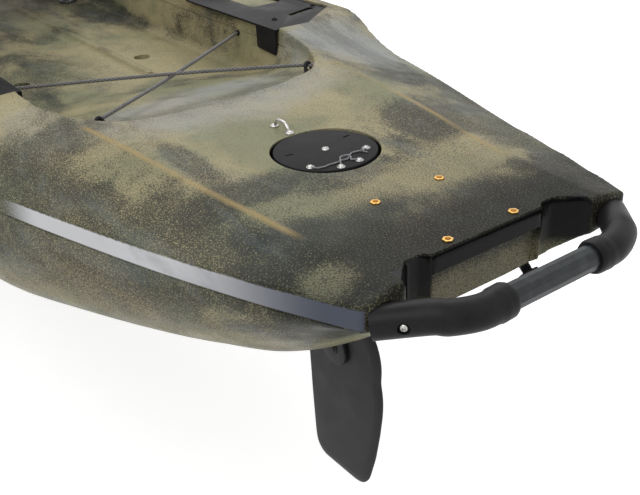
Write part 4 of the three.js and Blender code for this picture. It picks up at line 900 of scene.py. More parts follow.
class Surface:
    """One material: its tree, its shader and a bump stack."""

    def __init__(self, name: str, rough: float, metallic: float = 0.0) -> None:
        """Starts a material.

        Args:
            name: The material's name.
            rough: Roughness where nothing else is linked.
            metallic: Share of metal.
        """
        self.material = bpy.data.materials.new(name)
        self.material.use_nodes = True
        self.graph = Graph(self.material.node_tree)
        self.shader = self.material.node_tree.nodes["Principled BSDF"]
        self.shader.inputs["Roughness"].default_value = rough
        self.shader.inputs["Metallic"].default_value = metallic

    def set(self, name: str, value: object) -> None:
        """Sets or links one input of the shader."""
        self.graph.put(self.shader.inputs[name], value)

    def bump(self, layers: Sequence[tuple[object, float]]) -> None:
        """Raises the surface by heights, each with its depth in metres.

        Args:
            layers: Each height with its depth.
        """
        normal: object = None
        for height, depth in layers:
            made = self.graph.node("ShaderNodeBump", Height=height, Distance=depth)
            if normal is not None:
                self.graph.put(made.inputs["Normal"], normal)
            normal = made.outputs["Normal"]
        self.graph.put(self.shader.inputs["Normal"], normal)


@dataclass(frozen=True)
class Patch:
    """A smoky patch of pigment.

    Attributes:
        centre: Its middle in metres.
        reach: Its half sizes in metres.
        dark: How dark it is, from nought, all sand, to one, all charcoal.
        share: How much it covers.
        drift: How far its edge wanders.
    """

    centre: Place
    reach: Place
    dark: float
    share: float = 0.9
    drift: float = 2.2


@dataclass(frozen=True)
class HullPlace:
    """The sockets that tell a material where on the hull it is read.

    Attributes:
        graph: The material's nodes.
        spot: The place.
        x: Its X.
        side: How far it lies from the boat's middle.
        z: Its height.
        share: Its share of the hull's length.
        smoke: A drifting noise there.
    """

    graph: Graph
    spot: Socket
    x: Socket
    side: Socket
    z: Socket
    share: Socket
    smoke: Socket

    @classmethod
    def of(cls, graph: Graph) -> HullPlace:
        """Adds the sockets to a material's nodes.

        Args:
            graph: The material's nodes.

        Returns:
            The place on the hull.
        """
        spot = graph.place()
        parts = graph.node("ShaderNodeSeparateXYZ", Vector=spot).outputs
        share = graph.maths("DIVIDE", graph.minus(parts["X"], FORM.stern), FORM.length, clamp=True)
        smoke = graph.noise(graph.place((1.0, 1.4, 1.6), (0.0, 0.0, -0.7)), 8.0, 6.0, 0.62, 0.6)
        return cls(graph, spot, parts["X"], graph.maths("ABSOLUTE", parts["Y"]), parts["Z"], share, smoke)


@dataclass(frozen=True)
class CamouflageFinish:
    """Moulded polyethylene whose pigment grains mix sand, olive and charcoal."""

    name: str
    sand: Place
    olive: Place
    charcoal: Place
    pale: Place
    crease_highlight_tint: Place
    slate: Place
    patches: tuple[Patch, ...] = ()
    pale_patches: tuple[Patch, ...] = ()
    rough: float = 0.4

    def clouds(self, graph: Graph, place: object, start: object, patches: Sequence[Patch]) -> object:
        """Lays patches over a field.

        Args:
            graph: The material's tree.
            place: The position socket.
            start: The field below the patches.
            patches: What is laid over it.

        Returns:
            The field with the patches.
        """
        field = start
        for patch in patches:
            cloud = used(graph, cloud_effect(), Vector=place, Centre=patch.centre, Reach=patch.reach,
                         Drift=patch.drift)
            field = graph.mix_value(graph.times(cloud.outputs["Factor"], patch.share), field, patch.dark)
        return field

    def pigment(self, at: HullPlace) -> Socket:
        """Mixes the grains of the pigments from the drifting field of darkness.

        Args:
            at: The place on the hull.

        Returns:
            The colour's socket.
        """
        graph = at.graph
        streaks = graph.noise(graph.place((1.0, 2.2, 2.4), (0.0, 0.0, 0.5)), 2.7, 6.0, 0.6, 0.8)
        dark = graph.plus(graph.span(streaks, 0.34, 0.66, 0.0, 0.85),
                          graph.span(at.smoke, 0.3, 0.7, -0.22, 0.22))
        dark = self.clouds(graph, at.spot, dark, self.patches)
        grain = graph.noise(at.spot, 520.0, 1.5, 0.7)
        grains = graph.span(graph.plus(grain, graph.span(dark, 0.0, 1.0, -0.13, 0.13)), 0.42, 0.58)
        grains = graph.mix_value(0.35, grains, dark)
        hue = graph.noise(at.spot, 5.0, 4.0, 0.6, 0.5)
        light = graph.mix(graph.span(hue, 0.4, 0.62), self.sand, self.olive)
        slate = graph.noise(graph.place((1.0, 3.0, 3.0), (0.0, 0.0, 0.35)), 6.0, 5.0, 0.6, 0.5)
        deep = graph.mix(graph.span(slate, 0.5, 0.68), self.charcoal, self.slate)
        deep = graph.mix(graph.span(at.x, -1.75, -1.82, 0.0, 0.9), deep, (0.005, 0.0055, 0.006))
        pale = self.clouds(graph, at.spot, 0.0, self.pale_patches)
        light = graph.mix(pale, light, self.pale)
        light = graph.mix(graph.span(at.x, -1.78, -1.85, 0.0, 0.6), light, (0.10, 0.098, 0.07))
        return graph.mix(graph.times(grains, graph.span(pale, 0.0, 1.0, 0.96, 0.45)), light, deep)

    def crease(self, at: HullPlace) -> Socket:
        """Gives the share of the painted tan highlight along the deck's crease.

        Args:
            at: The place on the hull.

        Returns:
            The share's socket.
        """
        graph = at.graph
        crease_y = graph.times(graph.curve(at.share, FORM.crease_half.rows, 0.0, 1.0), FORM.beam / 2)
        off = graph.maths("ABSOLUTE", graph.minus(at.side, crease_y))
        return graph.times(graph.span(off, 0.0085, 0.0), graph.span(at.z, 0.28, 0.285),
                           graph.span(at.x, -1.77, -1.72, 0.0, 0.85),
                           graph.span(at.smoke, 0.3, 0.55, 0.1, 0.8), graph.span(at.x, -1.29, -1.32))

    def band(self, at: HullPlace) -> Socket:
        """Gives the share of the glossy band below the sheer, where a reflection is painted.

        Args:
            at: The place on the hull.

        Returns:
            The share's socket.
        """
        graph = at.graph
        rise = graph.curve(at.share, FORM.sheer_rise.rows, -0.1, 0.4)
        down = graph.minus(graph.plus(graph.times(rise, FORM.depth), FORM.depth), at.z)
        sheer_y = graph.times(graph.curve(at.share, FORM.sheer_half.rows, 0.0, 1.0), FORM.beam / 2)
        rim = graph.span(graph.minus(at.side, sheer_y), -0.006, -0.003)
        return graph.times(graph.span(down, 0.0005, 0.0025), graph.span(down, 0.0255, 0.0235), rim)

    def band_reflection(self, at: HullPlace, plain: Socket) -> Socket:
        """Gives the band's painted reflection, dark and bluish at the stern and near white further forward,
        which runs into the plain colour towards the bow.

        Args:
            at: The place on the hull.
            plain: The colour that it runs into.

        Returns:
            The colour's socket.
        """
        graph = at.graph
        # Painted reflection: dark at the stern, near white further forward.
        band_reflection = graph.mix(graph.span(at.x, -1.87, -1.64), (0.085, 0.095, 0.125), (0.66, 0.67, 0.69))
        band_reflection = graph.mix(graph.span(at.smoke, 0.5, 0.7, 0.0, 0.25), band_reflection, self.slate)
        return graph.mix(graph.span(at.x, -1.44, -1.36), band_reflection, plain)

    def shiny(self, at: HullPlace) -> Socket:
        """Gives the share of the black lip and notches at the stern.

        Args:
            at: The place on the hull.

        Returns:
            The share's socket.
        """
        graph = at.graph
        lip = graph.times(graph.span(at.x, RUDDER_X - 0.2985, RUDDER_X - 0.2995),
                          graph.span(at.z, 0.2735, 0.2755), graph.span(at.side, 0.143, 0.141))
        notch = graph.times(graph.span(at.side, 0.084, 0.0865),
                            graph.span(at.x, RUDDER_X - 0.2885, RUDDER_X - 0.2902),
                            graph.span(at.side, 0.144, 0.1415), graph.span(at.z, 0.235, 0.25),
                            graph.span(at.z, 0.2985, 0.2965))
        return graph.maths("MAXIMUM", lip, notch)

    def material(self) -> Material:
        """Builds the material.

        Returns:
            The material.
        """
        surface = Surface(self.name, self.rough)
        graph = surface.graph
        at = HullPlace.of(graph)
        band, shiny = self.band(at), self.shiny(at)
        # Painted highlight: a tan line along the deck's crease.
        colour = graph.mix(self.crease(at), self.pigment(at), self.crease_highlight_tint)
        # Painted reflection: the band below the sheer takes a pale colour that stands for the studio's
        # reflection.
        colour = graph.mix(graph.times(band, 0.94), colour, self.band_reflection(at, colour))
        # Painted shade: the wall and floor of the recess round the drum are made near black, where shade
        # falls in the gap.
        away = graph.vector("LENGTH", graph.vector("SUBTRACT", at.spot, (RUDDER_X, 0.0, 0.29)))
        wall = graph.times(graph.span(away, 0.0775, 0.0765), graph.span(at.z, 0.2995, 0.2985))
        colour = graph.mix(graph.times(wall, 0.95), colour, (0.006, 0.006, 0.006))
        colour = graph.mix(graph.times(shiny, 0.95), colour, (0.004, 0.004, 0.0045))
        surface.set("Base Color", colour)
        rub = used(graph, scuff_effect(), Vector=at.spot, Scale=9.0)
        rough = graph.plus(graph.span(graph.noise(at.spot, 30.0), 0.3, 0.7, self.rough - 0.05,
                                      self.rough + 0.06), graph.times(rub.outputs["Factor"], 0.12))
        surface.set("Roughness", graph.minus(rough, graph.times(graph.maths("MAXIMUM", shiny, band), 0.22)))
        surface.set("Coat Weight", graph.times(shiny, 0.05))
        surface.shader.inputs["Coat Roughness"].default_value = 0.16
        surface.shader.inputs["Specular IOR Level"].default_value = 0.06
        surface.bump([(graph.noise(at.spot, 260.0, 3.0), 0.0001), (graph.noise(at.spot, 12.0, 2.0), 0.0009)])
        return surface.material


@dataclass(frozen=True)
class MouldedFinish:
    """Grained moulded plastic or rubber of one colour."""

    name: str
    colour: Place
    worn: Place
    rough: float = 0.5
    grain: float = 900.0
    depth: float = 0.00008
    specular: float = 0.22

    def material(self) -> Material:
        """Builds the material.

        Returns:
            The material.
        """
        surface = Surface(self.name, self.rough)
        surface.shader.inputs["Specular IOR Level"].default_value = self.specular
        graph = surface.graph
        place = graph.place()
        blotch = graph.noise(place, 22.0, 4.0, 0.6)
        colour = graph.mix(graph.span(blotch, 0.35, 0.75), self.colour, self.worn)
        rub = used(graph, scuff_effect(), Vector=place, Scale=20.0)
        colour = graph.mix(graph.times(rub.outputs["Factor"], 0.35), colour, self.worn)
        dust = graph.noise(place, self.grain * 1.7, 2.0)
        colour = graph.mix(graph.span(dust, 0.62, 0.8, 0.0, 0.35), colour, self.worn)
        surface.set("Base Color", colour)
        surface.set("Roughness", graph.span(blotch, 0.3, 0.7, self.rough - 0.06, self.rough + 0.07))
        surface.bump([(graph.noise(place, self.grain, 2.0), self.depth), (rub.outputs["Height"], 0.00005)])
        return surface.material


@dataclass(frozen=True)
class MetalFinish:
    """Brushed, cast or anodised metal."""

    name: str
    colour: Place
    worn: Place
    rough: float = 0.3
    stretch: Place = (8.0, 1.0, 1.0)
    metallic: float = 1.0

    def material(self) -> Material:
        """Builds the material.

        Returns:
            The material.
        """
        surface = Surface(self.name, self.rough, self.metallic)
        graph = surface.graph
        brushed = graph.noise(graph.place(self.stretch), 240.0, 4.0, 0.7)
        blotch = graph.noise(graph.place(), 60.0, 3.0)
        surface.set("Base Color", graph.mix(graph.span(blotch, 0.4, 0.7), self.colour, self.worn))
        surface.set("Roughness", graph.span(brushed, 0.3, 0.7, self.rough - 0.08, self.rough + 0.1))
        surface.bump([(brushed, 0.00003), (blotch, 0.00004)])
        return surface.material


@dataclass(frozen=True)
class CordFinish:
    """Braided cord, read along and round the cord."""

    name: str
    colour: Place
    valley_shade_and_dirt: Place
    pitch: float = 0.008
    strands: float = 4.0
    depth: float = 0.0004

    def material(self) -> Material:
        """Builds the material.

        Returns:
            The material.
        """
        surface = Surface(self.name, 0.72)
        graph = surface.graph
        braid = used(graph, braid_effect(), Vector=graph.run(), Pitch=self.pitch, Strands=self.strands)
        dirt = graph.noise(graph.place(), 70.0, 3.0)
        # Painted shade: the braid's low places between the strands take the darker colour; the dirt below
        # darkens towards it as well.
        colour = graph.mix(braid.outputs["Factor"], self.valley_shade_and_dirt, self.colour)
        colour = graph.mix(graph.span(dirt, 0.5, 0.75, 0.0, 0.4), colour, self.valley_shade_and_dirt)
        surface.set("Base Color", colour)
        surface.set("Sheen Weight", 0.3)
        fibre = graph.noise(graph.place(), 2400.0, 2.0)
        surface.set("Roughness", graph.span(dirt, 0.3, 0.7, 0.66, 0.82))
        surface.bump([(braid.outputs["Height"], self.depth), (fibre, 0.00006)])
        return surface.material


@dataclass(frozen=True)
class FabricFinish:
    """Woven cloth over foam."""

    name: str
    colour: Place
    shade: Place
    threads: float = 700.0
    depth: float = 0.00025

    def material(self) -> Material:
        """Builds the material.

        Returns:
            The material.
        """
        surface = Surface(self.name, 0.85)
        graph = surface.graph
        weave = used(graph, weave_effect(), Vector=graph.place(), Threads=self.threads)
        slub = graph.noise(graph.place((1.0, 6.0, 1.0)), 90.0, 3.0)
        # Painted shade: the weave's low places between the threads take the darker colour; the slubs below
        # add a real darker tone.
        colour = graph.mix(weave.outputs["Factor"], self.shade, self.colour)
        colour = graph.mix(graph.span(slub, 0.45, 0.75, 0.0, 0.45), colour, self.shade)
        surface.set("Base Color", colour)
        surface.set("Sheen Weight", 0.35)
        surface.set("Roughness", graph.span(slub, 0.3, 0.7, 0.78, 0.92))
        surface.bump([(weave.outputs["Height"], self.depth), (slub, 0.0004)])
        return surface.material


class Finish(Enum):
    """The finishes of everything but the hull."""

    BLACK = MouldedFinish("black_plastic", (0.014, 0.014, 0.015), (0.027, 0.027, 0.028), 0.42, 900.0,
                          0.00008, 0.14)
    SATIN = MouldedFinish("satin_black", (0.010, 0.010, 0.011), (0.020, 0.020, 0.021), 0.42, 900.0, 0.00006,
                          0.08)
    RUBBER = MouldedFinish("black_rubber", (0.011, 0.011, 0.012), (0.022, 0.022, 0.023), 0.40, 1500.0,
                           0.00008, 0.12)
    PLATE = MouldedFinish("drum_nylon", (0.014, 0.014, 0.015), (0.024, 0.024, 0.025), 0.55, 1300.0, 0.00006,
                          0.08)
    HOUSING = MouldedFinish("drive_housing_nylon", (0.018, 0.018, 0.019), (0.03, 0.03, 0.031), 0.5, 700.0,
                            0.0001)
    SLEEVE = MouldedFinish("line_sleeve", (0.018, 0.018, 0.019), (0.04, 0.04, 0.04), 0.6, 1800.0, 0.00008)
    BLADE = MouldedFinish("blade_nylon", (0.024, 0.024, 0.025), (0.034, 0.034, 0.035), 0.58, 1100.0, 0.00008,
                          0.2)
    FIN = MouldedFinish("fin_urethane", (0.026, 0.027, 0.030), (0.034, 0.035, 0.037), 0.5, 600.0)
    LID = MouldedFinish("lid_plastic", (0.022, 0.023, 0.022), (0.03, 0.031, 0.029), 0.5, 500.0, 0.00012)
    TUBE = MetalFinish("tube_coating", (0.008, 0.010, 0.012), (0.022, 0.029, 0.032), 0.4, (14.0, 0.4, 14.0),
                       0.15)
    ALUMINIUM = MetalFinish("anodised_aluminium", (0.30, 0.31, 0.32), (0.38, 0.39, 0.40), 0.36)
    FRAME = MetalFinish("seat_frame_coating", (0.10, 0.105, 0.11), (0.16, 0.165, 0.17), 0.38,
                        (1.0, 1.0, 6.0), 0.5)
    STEEL = MetalFinish("stainless_steel", (0.50, 0.49, 0.475), (0.60, 0.59, 0.575), 0.30)
    BRASS = MetalFinish("brass", (0.62, 0.36, 0.10), (0.68, 0.45, 0.17), 0.36)
    SHOCK = CordFinish("shock_cord_cover", (0.19, 0.185, 0.18), (0.06, 0.058, 0.056))
    TIE = CordFinish("tie_cord_cover", (0.36, 0.36, 0.38), (0.12, 0.12, 0.13), 0.005, 3.0, 0.0003)
    FABRIC = FabricFinish("seat_mesh_cloth", (0.035, 0.036, 0.038), (0.012, 0.012, 0.013))
    PIPING = FabricFinish("piping_cloth", (0.02, 0.02, 0.021), (0.008, 0.008, 0.009), 1600.0, 0.0001)

    def on(self, item: Item) -> Item:
        """Dresses a piece in this finish."""
        return dressed(item, wardrobe(self.value))


WARDROBE: dict[str, Material] = {}


def wardrobe(finish: MouldedFinish | MetalFinish | CordFinish | FabricFinish | CamouflageFinish) -> Material:
    """Builds a finish's material once and keeps it.

    Args:
        finish: The finish.

    Returns:
        The material.
    """
    if finish.name not in WARDROBE:
        WARDROBE[finish.name] = finish.material()
    return WARDROBE[finish.name]


def dressed(item: Item, material: Material) -> Item:
    """Gives a piece one material and returns it.

    Args:
        item: The piece.
        material: The material.

    Returns:
        The same piece.
    """
    item.data.materials.clear()
    item.data.materials.append(material)
    return item


# The hull's form, from the same tables as its solid.


@dataclass(frozen=True)
class Curve:
    """A smooth curve through table rows that never overshoots them."""

    rows: tuple[Row, ...]

    def __call__(self, u: float | Array) -> Array:
        """Reads the curve.

        Args:
            u: Shares of the length.

        Returns:
            The values there.
        """
        x = np.array([row[0] for row in self.rows])
        y = np.array([row[1] for row in self.rows])
        steps = np.diff(y) / np.diff(x)
        slopes = np.zeros(len(x))
        slopes[0], slopes[-1] = steps[0], steps[-1]
        product = steps[:-1] * steps[1:]
        total = np.where(product > 0, steps[:-1] + steps[1:], 1.0)
        slopes[1:-1] = np.where(product > 0, 2 * product / total, 0.0)
        i = np.clip(np.searchsorted(x, u, side="right") - 1, 0, len(x) - 2)
        span = x[i + 1] - x[i]
        t = np.clip((u - x[i]) / span, 0.0, 1.0)
        return ((2 * t**3 - 3 * t**2 + 1) * y[i] + (t**3 - 2 * t**2 + t) * span * slopes[i]
                + (3 * t**2 - 2 * t**3) * y[i + 1] + (t**3 - t**2) * span * slopes[i + 1])


@dataclass(frozen=True)
class HullForm:
    """The hull's sizes in metres and its tables of shares."""

    length: float = 3.806
    beam: float = 0.864
    depth: float = 0.300
    band: float = 0.025
    keel_flat: float = 0.076
    sheer_half: Curve = Curve(((0, 0.465), (0.034, 0.574), (0.088, 0.722), (0.136, 0.847), (0.163, 0.905),
                               (0.195, 0.954), (0.22, 0.977), (0.3, 0.996), (0.42, 1), (0.54, 1),
                               (0.65, 0.97), (0.74, 0.89), (0.82, 0.75), (0.89, 0.55), (0.94, 0.36),
                               (0.975, 0.19), (1, 0.05)))
    sheer_rise: Curve = Curve(((0, -0.03), (0.034, -0.053), (0.088, -0.078), (0.163, -0.08), (0.177, -0.057),
                               (0.187, -0.03), (0.195, 0.013), (0.202, 0.057), (0.211, 0.085), (0.25, 0.088),
                               (0.5, 0.11), (0.65, 0.14), (0.8, 0.2), (0.9, 0.26), (1, 0.3)))
    crease_half: Curve = Curve(((0, 0.36), (0.025, 0.375), (0.054, 0.398), (0.087, 0.442), (0.133, 0.488),
                                (0.19, 0.545), (0.217, 0.58), (0.3, 0.61), (0.45, 0.62), (0.6, 0.6),
                                (0.7, 0.54), (0.8, 0.44), (0.9, 0.25), (0.96, 0.1), (1, 0.018)))
    crease_rise: Curve = Curve(((0, 0), (0.025, 0), (0.044, 0), (0.056, 0.004), (0.087, 0.023),
                                (0.133, 0.045), (0.17, 0.05), (0.19, 0.062), (0.211, 0.085), (0.3, 0.1),
                                (0.5, 0.13), (0.65, 0.19), (0.78, 0.32), (0.9, 0.38), (1, 0.34)))
    centre_rise: Curve = Curve(((0, 0), (0.15, 0), (0.211, 0.06), (0.3, 0.1), (0.5, 0.13), (0.65, 0.21),
                                (0.78, 0.37), (0.9, 0.42), (1, 0.35)))
    keel: Curve = Curve(((0, -0.17), (0.007, -0.235), (0.016, -0.32), (0.033, -0.52), (0.046, -0.65),
                         (0.059, -0.75), (0.085, -0.85), (0.125, -0.92), (0.164, -0.96), (0.217, -0.99),
                         (0.27, -1), (0.72, -1), (0.8, -0.965), (0.87, -0.86), (0.92, -0.66), (0.96, -0.36),
                         (0.985, -0.06), (1, 0.14)))
    fullness: Curve = Curve(((0, 1.8), (0.07, 1.9), (0.09, 2.1), (0.138, 2.65), (0.19, 3.4), (0.3, 3.6),
                             (0.6, 3.2), (0.75, 2.6), (0.88, 2), (1, 1.6)))

    @property
    def stern(self) -> float:
        """X of the hull's aft end."""
        return -self.length / 2

    def share(self, x: float) -> float:
        """Share of the length at an X."""
        return (x - self.stern) / self.length

    def crown(self, x: float) -> float:
        """Height of the deck's middle at an X."""
        return self.depth * (1 + float(self.centre_rise(self.share(x))))

    def gunwale(self, x: float, y: float) -> float:
        """Height of the deck outboard of the crease.

        Args:
            x: X of the place.
            y: Y of the place.

        Returns:
            The height in metres.
        """
        u = self.share(x)
        inner = self.crease_half(u) * self.beam / 2
        outer = self.sheer_half(u) * self.beam / 2
        t = (abs(y) - inner) / (outer - inner)
        return float(self.depth * (1 + self.crease_rise(u) + (self.sheer_rise(u) - self.crease_rise(u)) * t))

    def section(self, u: float) -> list[Place]:
        """Points round the hull at one station.

        Args:
            u: Share of the length.

        Returns:
            A closed ring of points.
        """
        x = self.stern + u * self.length
        half = float(self.sheer_half(u)) * self.beam / 2
        crease = min(float(self.crease_half(u)) * self.beam / 2, half * 0.94)
        rises = (self.sheer_rise, self.crease_rise, self.centre_rise, self.keel)
        sheer_z, crease_z, centre_z, keel_z = (self.depth * (1 + float(rise(u))) for rise in rises)
        band_z = sheer_z - self.band
        flat = min(self.keel_flat / 2, half * 0.2)
        side = [(crease * t, centre_z + (crease_z - centre_z) * t) for t in np.linspace(0, 1, 9)[1:]]
        side += [(crease + (half - crease) * t, crease_z + (sheer_z - crease_z) * t)
                 for t in np.linspace(0, 1, 8)[1:]]
        side += [(half, sheer_z + (band_z - sheer_z) * t) for t in (0.5, 1.0)]
        power = 2 / float(self.fullness(u))
        for angle in np.linspace(0, math.pi / 2, 29)[1:]:
            wide = 0.0 if angle > 1.57 else math.cos(angle) ** power
            side.append((flat + (half - flat) * wide, band_z + (keel_z - band_z) * math.sin(angle) ** power))
        port = [(x, y, z) for y, z in side]
        starboard = [(x, -y, z) for x, y, z in reversed(port)]
        return [(x, 0.0, centre_z), *port, *starboard]

    def rings(self, count: int) -> Array:
        """Sections along the hull, closest at the ends.

        Args:
            count: How many sections to give.

        Returns:
            The sections, from the stern to the bow.
        """
        t = np.linspace(0, 1, count)
        places = t - 0.45 * np.sin(4 * math.pi * t) / (4 * math.pi)
        places -= 0.35 * np.sin(2 * math.pi * t) / (2 * math.pi)
        return np.array([self.section(float(u)) for u in places])


FORM = HullForm()
RUDDER_X = FORM.stern + 0.325
DECK = FORM.depth

# Places that both the hull and its fittings use, in metres.
HATCH_POWER = 0.62
BOW_OPENING: Place = (1.390, 0.360, 0.250)
FLOOR_OPENING: Place = (0.248, 0.130, 0.170)
KNUCKLE_Y = 0.060
RAIL_POSTS, RAIL_Y = (0.3396, 0.630, 0.9204), 0.352
CARRY_X, CARRY_Y = -0.640, 0.376
LOCK_X, LOCK_Y = 0.555, 0.084
STEER_X, STEER_Y = 0.060, 0.322
BOW_FEET = (1.690, 1.822)
INSERT_ROWS, INSERT_Y = (-0.2866, -0.165), 0.0505
DRAIN: Place = (-1.853, -0.096, 0.200)
DRAIN_AXIS = Vector((-1, 0, -0.9)).normalized()


@dataclass(frozen=True)
class Well:
    """A sunk well: half outlines of its floor and rim, and their heights."""

    floor: tuple[Row, ...]
    rim: tuple[Row, ...]
    floor_z: float
    rim_z: float
    fillet: float

    def ring(self, rows: tuple[Row, ...], cuts: int = 3) -> Array:
        """A smooth closed plan outline.

        Args:
            rows: The half outline from its aft middle to its fore middle.
            cuts: How often the corners are cut.

        Returns:
            The outline's points.
        """
        inner = list(rows[1:-1])
        points = np.array([rows[0], *inner, rows[-1], *[(x, -y) for x, y in reversed(inner)]])
        for _ in range(cuts):
            after = np.roll(points, -1, axis=0)
            points = np.stack([points * 0.8 + after * 0.2, points * 0.2 + after * 0.8], axis=1).reshape(-1, 2)
        return points

    def tool(self, name: str, top: float) -> Item:
        """The solid that cuts the well, with a rounded foot.

        Args:
            name: The object's name.
            top: Height of the open air above.

        Returns:
            The cutting solid.
        """
        floor, rim = self.ring(self.floor), self.ring(self.rim)
        middle = floor.mean(axis=0)
        inward = middle - floor
        inward /= np.maximum(np.linalg.norm(inward, axis=1), 1e-9)[:, None]
        rings = []
        for angle in np.linspace(0, math.pi / 2, 6):
            drawn = self.fillet * (1 - math.sin(angle))
            level = self.floor_z + self.fillet * (1 - math.cos(angle))
            share = (level - self.floor_z) / (self.rim_z - self.floor_z)
            plan = floor + (rim - floor) * share + inward * drawn
            rings.append(np.column_stack([plan, np.full(len(plan), level)]))
        for share in (0.6, 1.0):
            level = self.floor_z + (self.rim_z - self.floor_z) * share
            rings.append(np.column_stack([floor + (rim - floor) * share, np.full(len(rim), level)]))
        rings.append(np.column_stack([rim, np.full(len(rim), top)]))
        return lofted(name, np.array(rings))


def outline(shares: Sequence[Row], aft: float, fore: float, half: float) -> tuple[Row, ...]:
    """A half outline in metres from shares of a length and a half width."""
    return tuple((aft + a * (fore - aft), b * half) for a, b in shares)


@dataclass
class Hull:
    """The moulded hull: its skin, its wells and its finish."""

    voxel: float = 0.0040
    faces: int = 220_000
    cargo_aft: float = 0.258
    cargo_fore: float = 1.730
    cargo_half: float = 0.250
    cargo_floor: float = 0.220
    footwell_floor: float = 0.120
    cargo_rim: tuple[Row, ...] = ((0, 0), (0, 0.44), (0.003, 0.6), (0.012, 0.72), (0.029, 0.812),
                                  (0.068, 0.92), (0.113, 0.988), (0.368, 1), (0.591, 1.03), (0.606, 1.07),
                                  (0.97, 1.07), (1, 0.96), (1, 0))
    cargo_base: tuple[Row, ...] = ((0.281, 0), (0.27, 0.44), (0.26, 0.6), (0.242, 0.78), (0.225, 0.9),
                                   (0.219, 0.97), (0.3, 0.972), (0.436, 0.974), (0.591, 0.99), (0.606, 1.03),
                                   (0.965, 1.03), (0.99, 0.92), (0.99, 0))
    footwell_rim: tuple[Row, ...] = ((0, 0), (0, 0.9), (0.03, 1), (0.5, 1), (0.75, 0.93), (0.93, 0.78),
                                     (1, 0.6), (1, 0))

    def wells(self) -> list[Well]:
        """The cargo well and the footwell.

        Returns:
            The two wells.
        """
        aft, fore = RUDDER_X + self.cargo_aft, RUDDER_X + self.cargo_fore
        cargo = Well(outline(self.cargo_base, aft, fore, self.cargo_half),
                     outline(self.cargo_rim, aft, fore, self.cargo_half), self.cargo_floor, DECK, 0.016)
        foot = Well(outline(self.footwell_rim, 0.130, 1.080, 0.262 * 0.94),
                    outline(self.footwell_rim, 0.130, 1.080, 0.262), self.footwell_floor, DECK, 0.02)
        return [cargo, foot]

    def oval(self, opening: Place, low: float, high: float, wider: Row = (0.0, 0.0)) -> Item:
        """A plate in the shape of a hatch's opening, made wider by two lengths.

        Args:
            opening: X of its middle, its length and its width.
            low: Height of its lower face.
            high: Height of its upper face.
            wider: What is added to its length and its width.

        Returns:
            The plate.
        """
        x, length, width = opening
        length, width = length + wider[0], width + wider[1]
        return lofted("oval", np.array([oblong(x, length, width, z, HATCH_POWER, 64) for z in (low, high)]))

    def disc(self, x: float, y: float, low: float, high: float, diameter: float, sides: int = 48) -> Item:
        """A plain upright plug used to add to or cut the hull."""
        return rod("disc", diameter / 2, 0, high - low, (x, y, low), UP, sides)

    def additions(self) -> list[Item]:
        """Bosses, lugs and rims that stand on the skin.

        Returns:
            The pieces that are joined to the skin.
        """
        items = [self.oval(FLOOR_OPENING, 0.10, 0.126, (0.016, 0.016))]
        for side in Side:
            for x in RAIL_POSTS:
                low = FORM.gunwale(x, RAIL_Y) - 0.012
                items.append(self.disc(x, side.value * RAIL_Y, low, 0.3683, 0.052))
            for end in (-1, 1):
                y = side.value * CARRY_Y
                items.append(self.disc(CARRY_X + end * 0.0674, y, 0.31, 0.336, 0.034))
                low, high = sorted((CARRY_X + end * 0.0604, CARRY_X + end * 0.0744))
                items.append(block("ear", (low, y - 0.01, 0.32), (high, y + 0.01, 0.356), 0.002))
                y = side.value * LOCK_Y
                low, high = sorted((LOCK_X + end * 0.0124, LOCK_X + end * 0.0204))
                items.append(block("lug", (low, y - 0.007, 0.1), (high, y + 0.007, 0.134), 0.001))
        for x in BOW_FEET:
            top = FORM.crown(x) + 0.005
            items.append(self.disc(x, 0.0, top - 0.02, top, 0.036))
        for hinge_x, hinge_z, low in ((1.599, 0.45018, 0.41), (0.162, 0.1308, 0.11)):
            for side in Side:
                for end in (-1, 1):
                    a, b = sorted(side.value * KNUCKLE_Y + end * out for out in (0.0114, 0.0204))
                    items.append(block("ear", (hinge_x - 0.0063, a, low),
                                       (hinge_x + 0.0063, b, hinge_z + 0.0063), 0.001))
        return items

    def rib(self) -> Item:
        """The raised rib along the cargo well's floor.

        Returns:
            The piece.
        """
        rings = []
        for x in np.linspace(RUDDER_X + 0.690, RUDDER_X + 1.416, 12):
            rings.append([(x, -0.085 + y, self.cargo_floor - 0.004 + z) for y, z in
                          ((-0.012, 0), (-0.006, 0.0125), (0.006, 0.0125), (0.012, 0))])
        return lofted("rib", np.array(rings))

    def notch(self, side: Side) -> Item:
        """The tool that steps the stern back beside its lip.

        Args:
            side: The side that it is on.

        Returns:
            The cutting tool.
        """
        s = side.value
        rows = [(FORM.stern - 0.04, 0), (FORM.stern - 0.04, s * 0.141), (RUDDER_X - 0.315, s * 0.141),
                (RUDDER_X - 0.290, s * 0.113), (RUDDER_X - 0.290, s * 0.091), (RUDDER_X - 0.300, s * 0.085),
                (RUDDER_X - 0.300, 0)]
        return lofted("notch", np.array([[(a, b, z) for a, b in rows] for z in (0.15, 0.34)]))

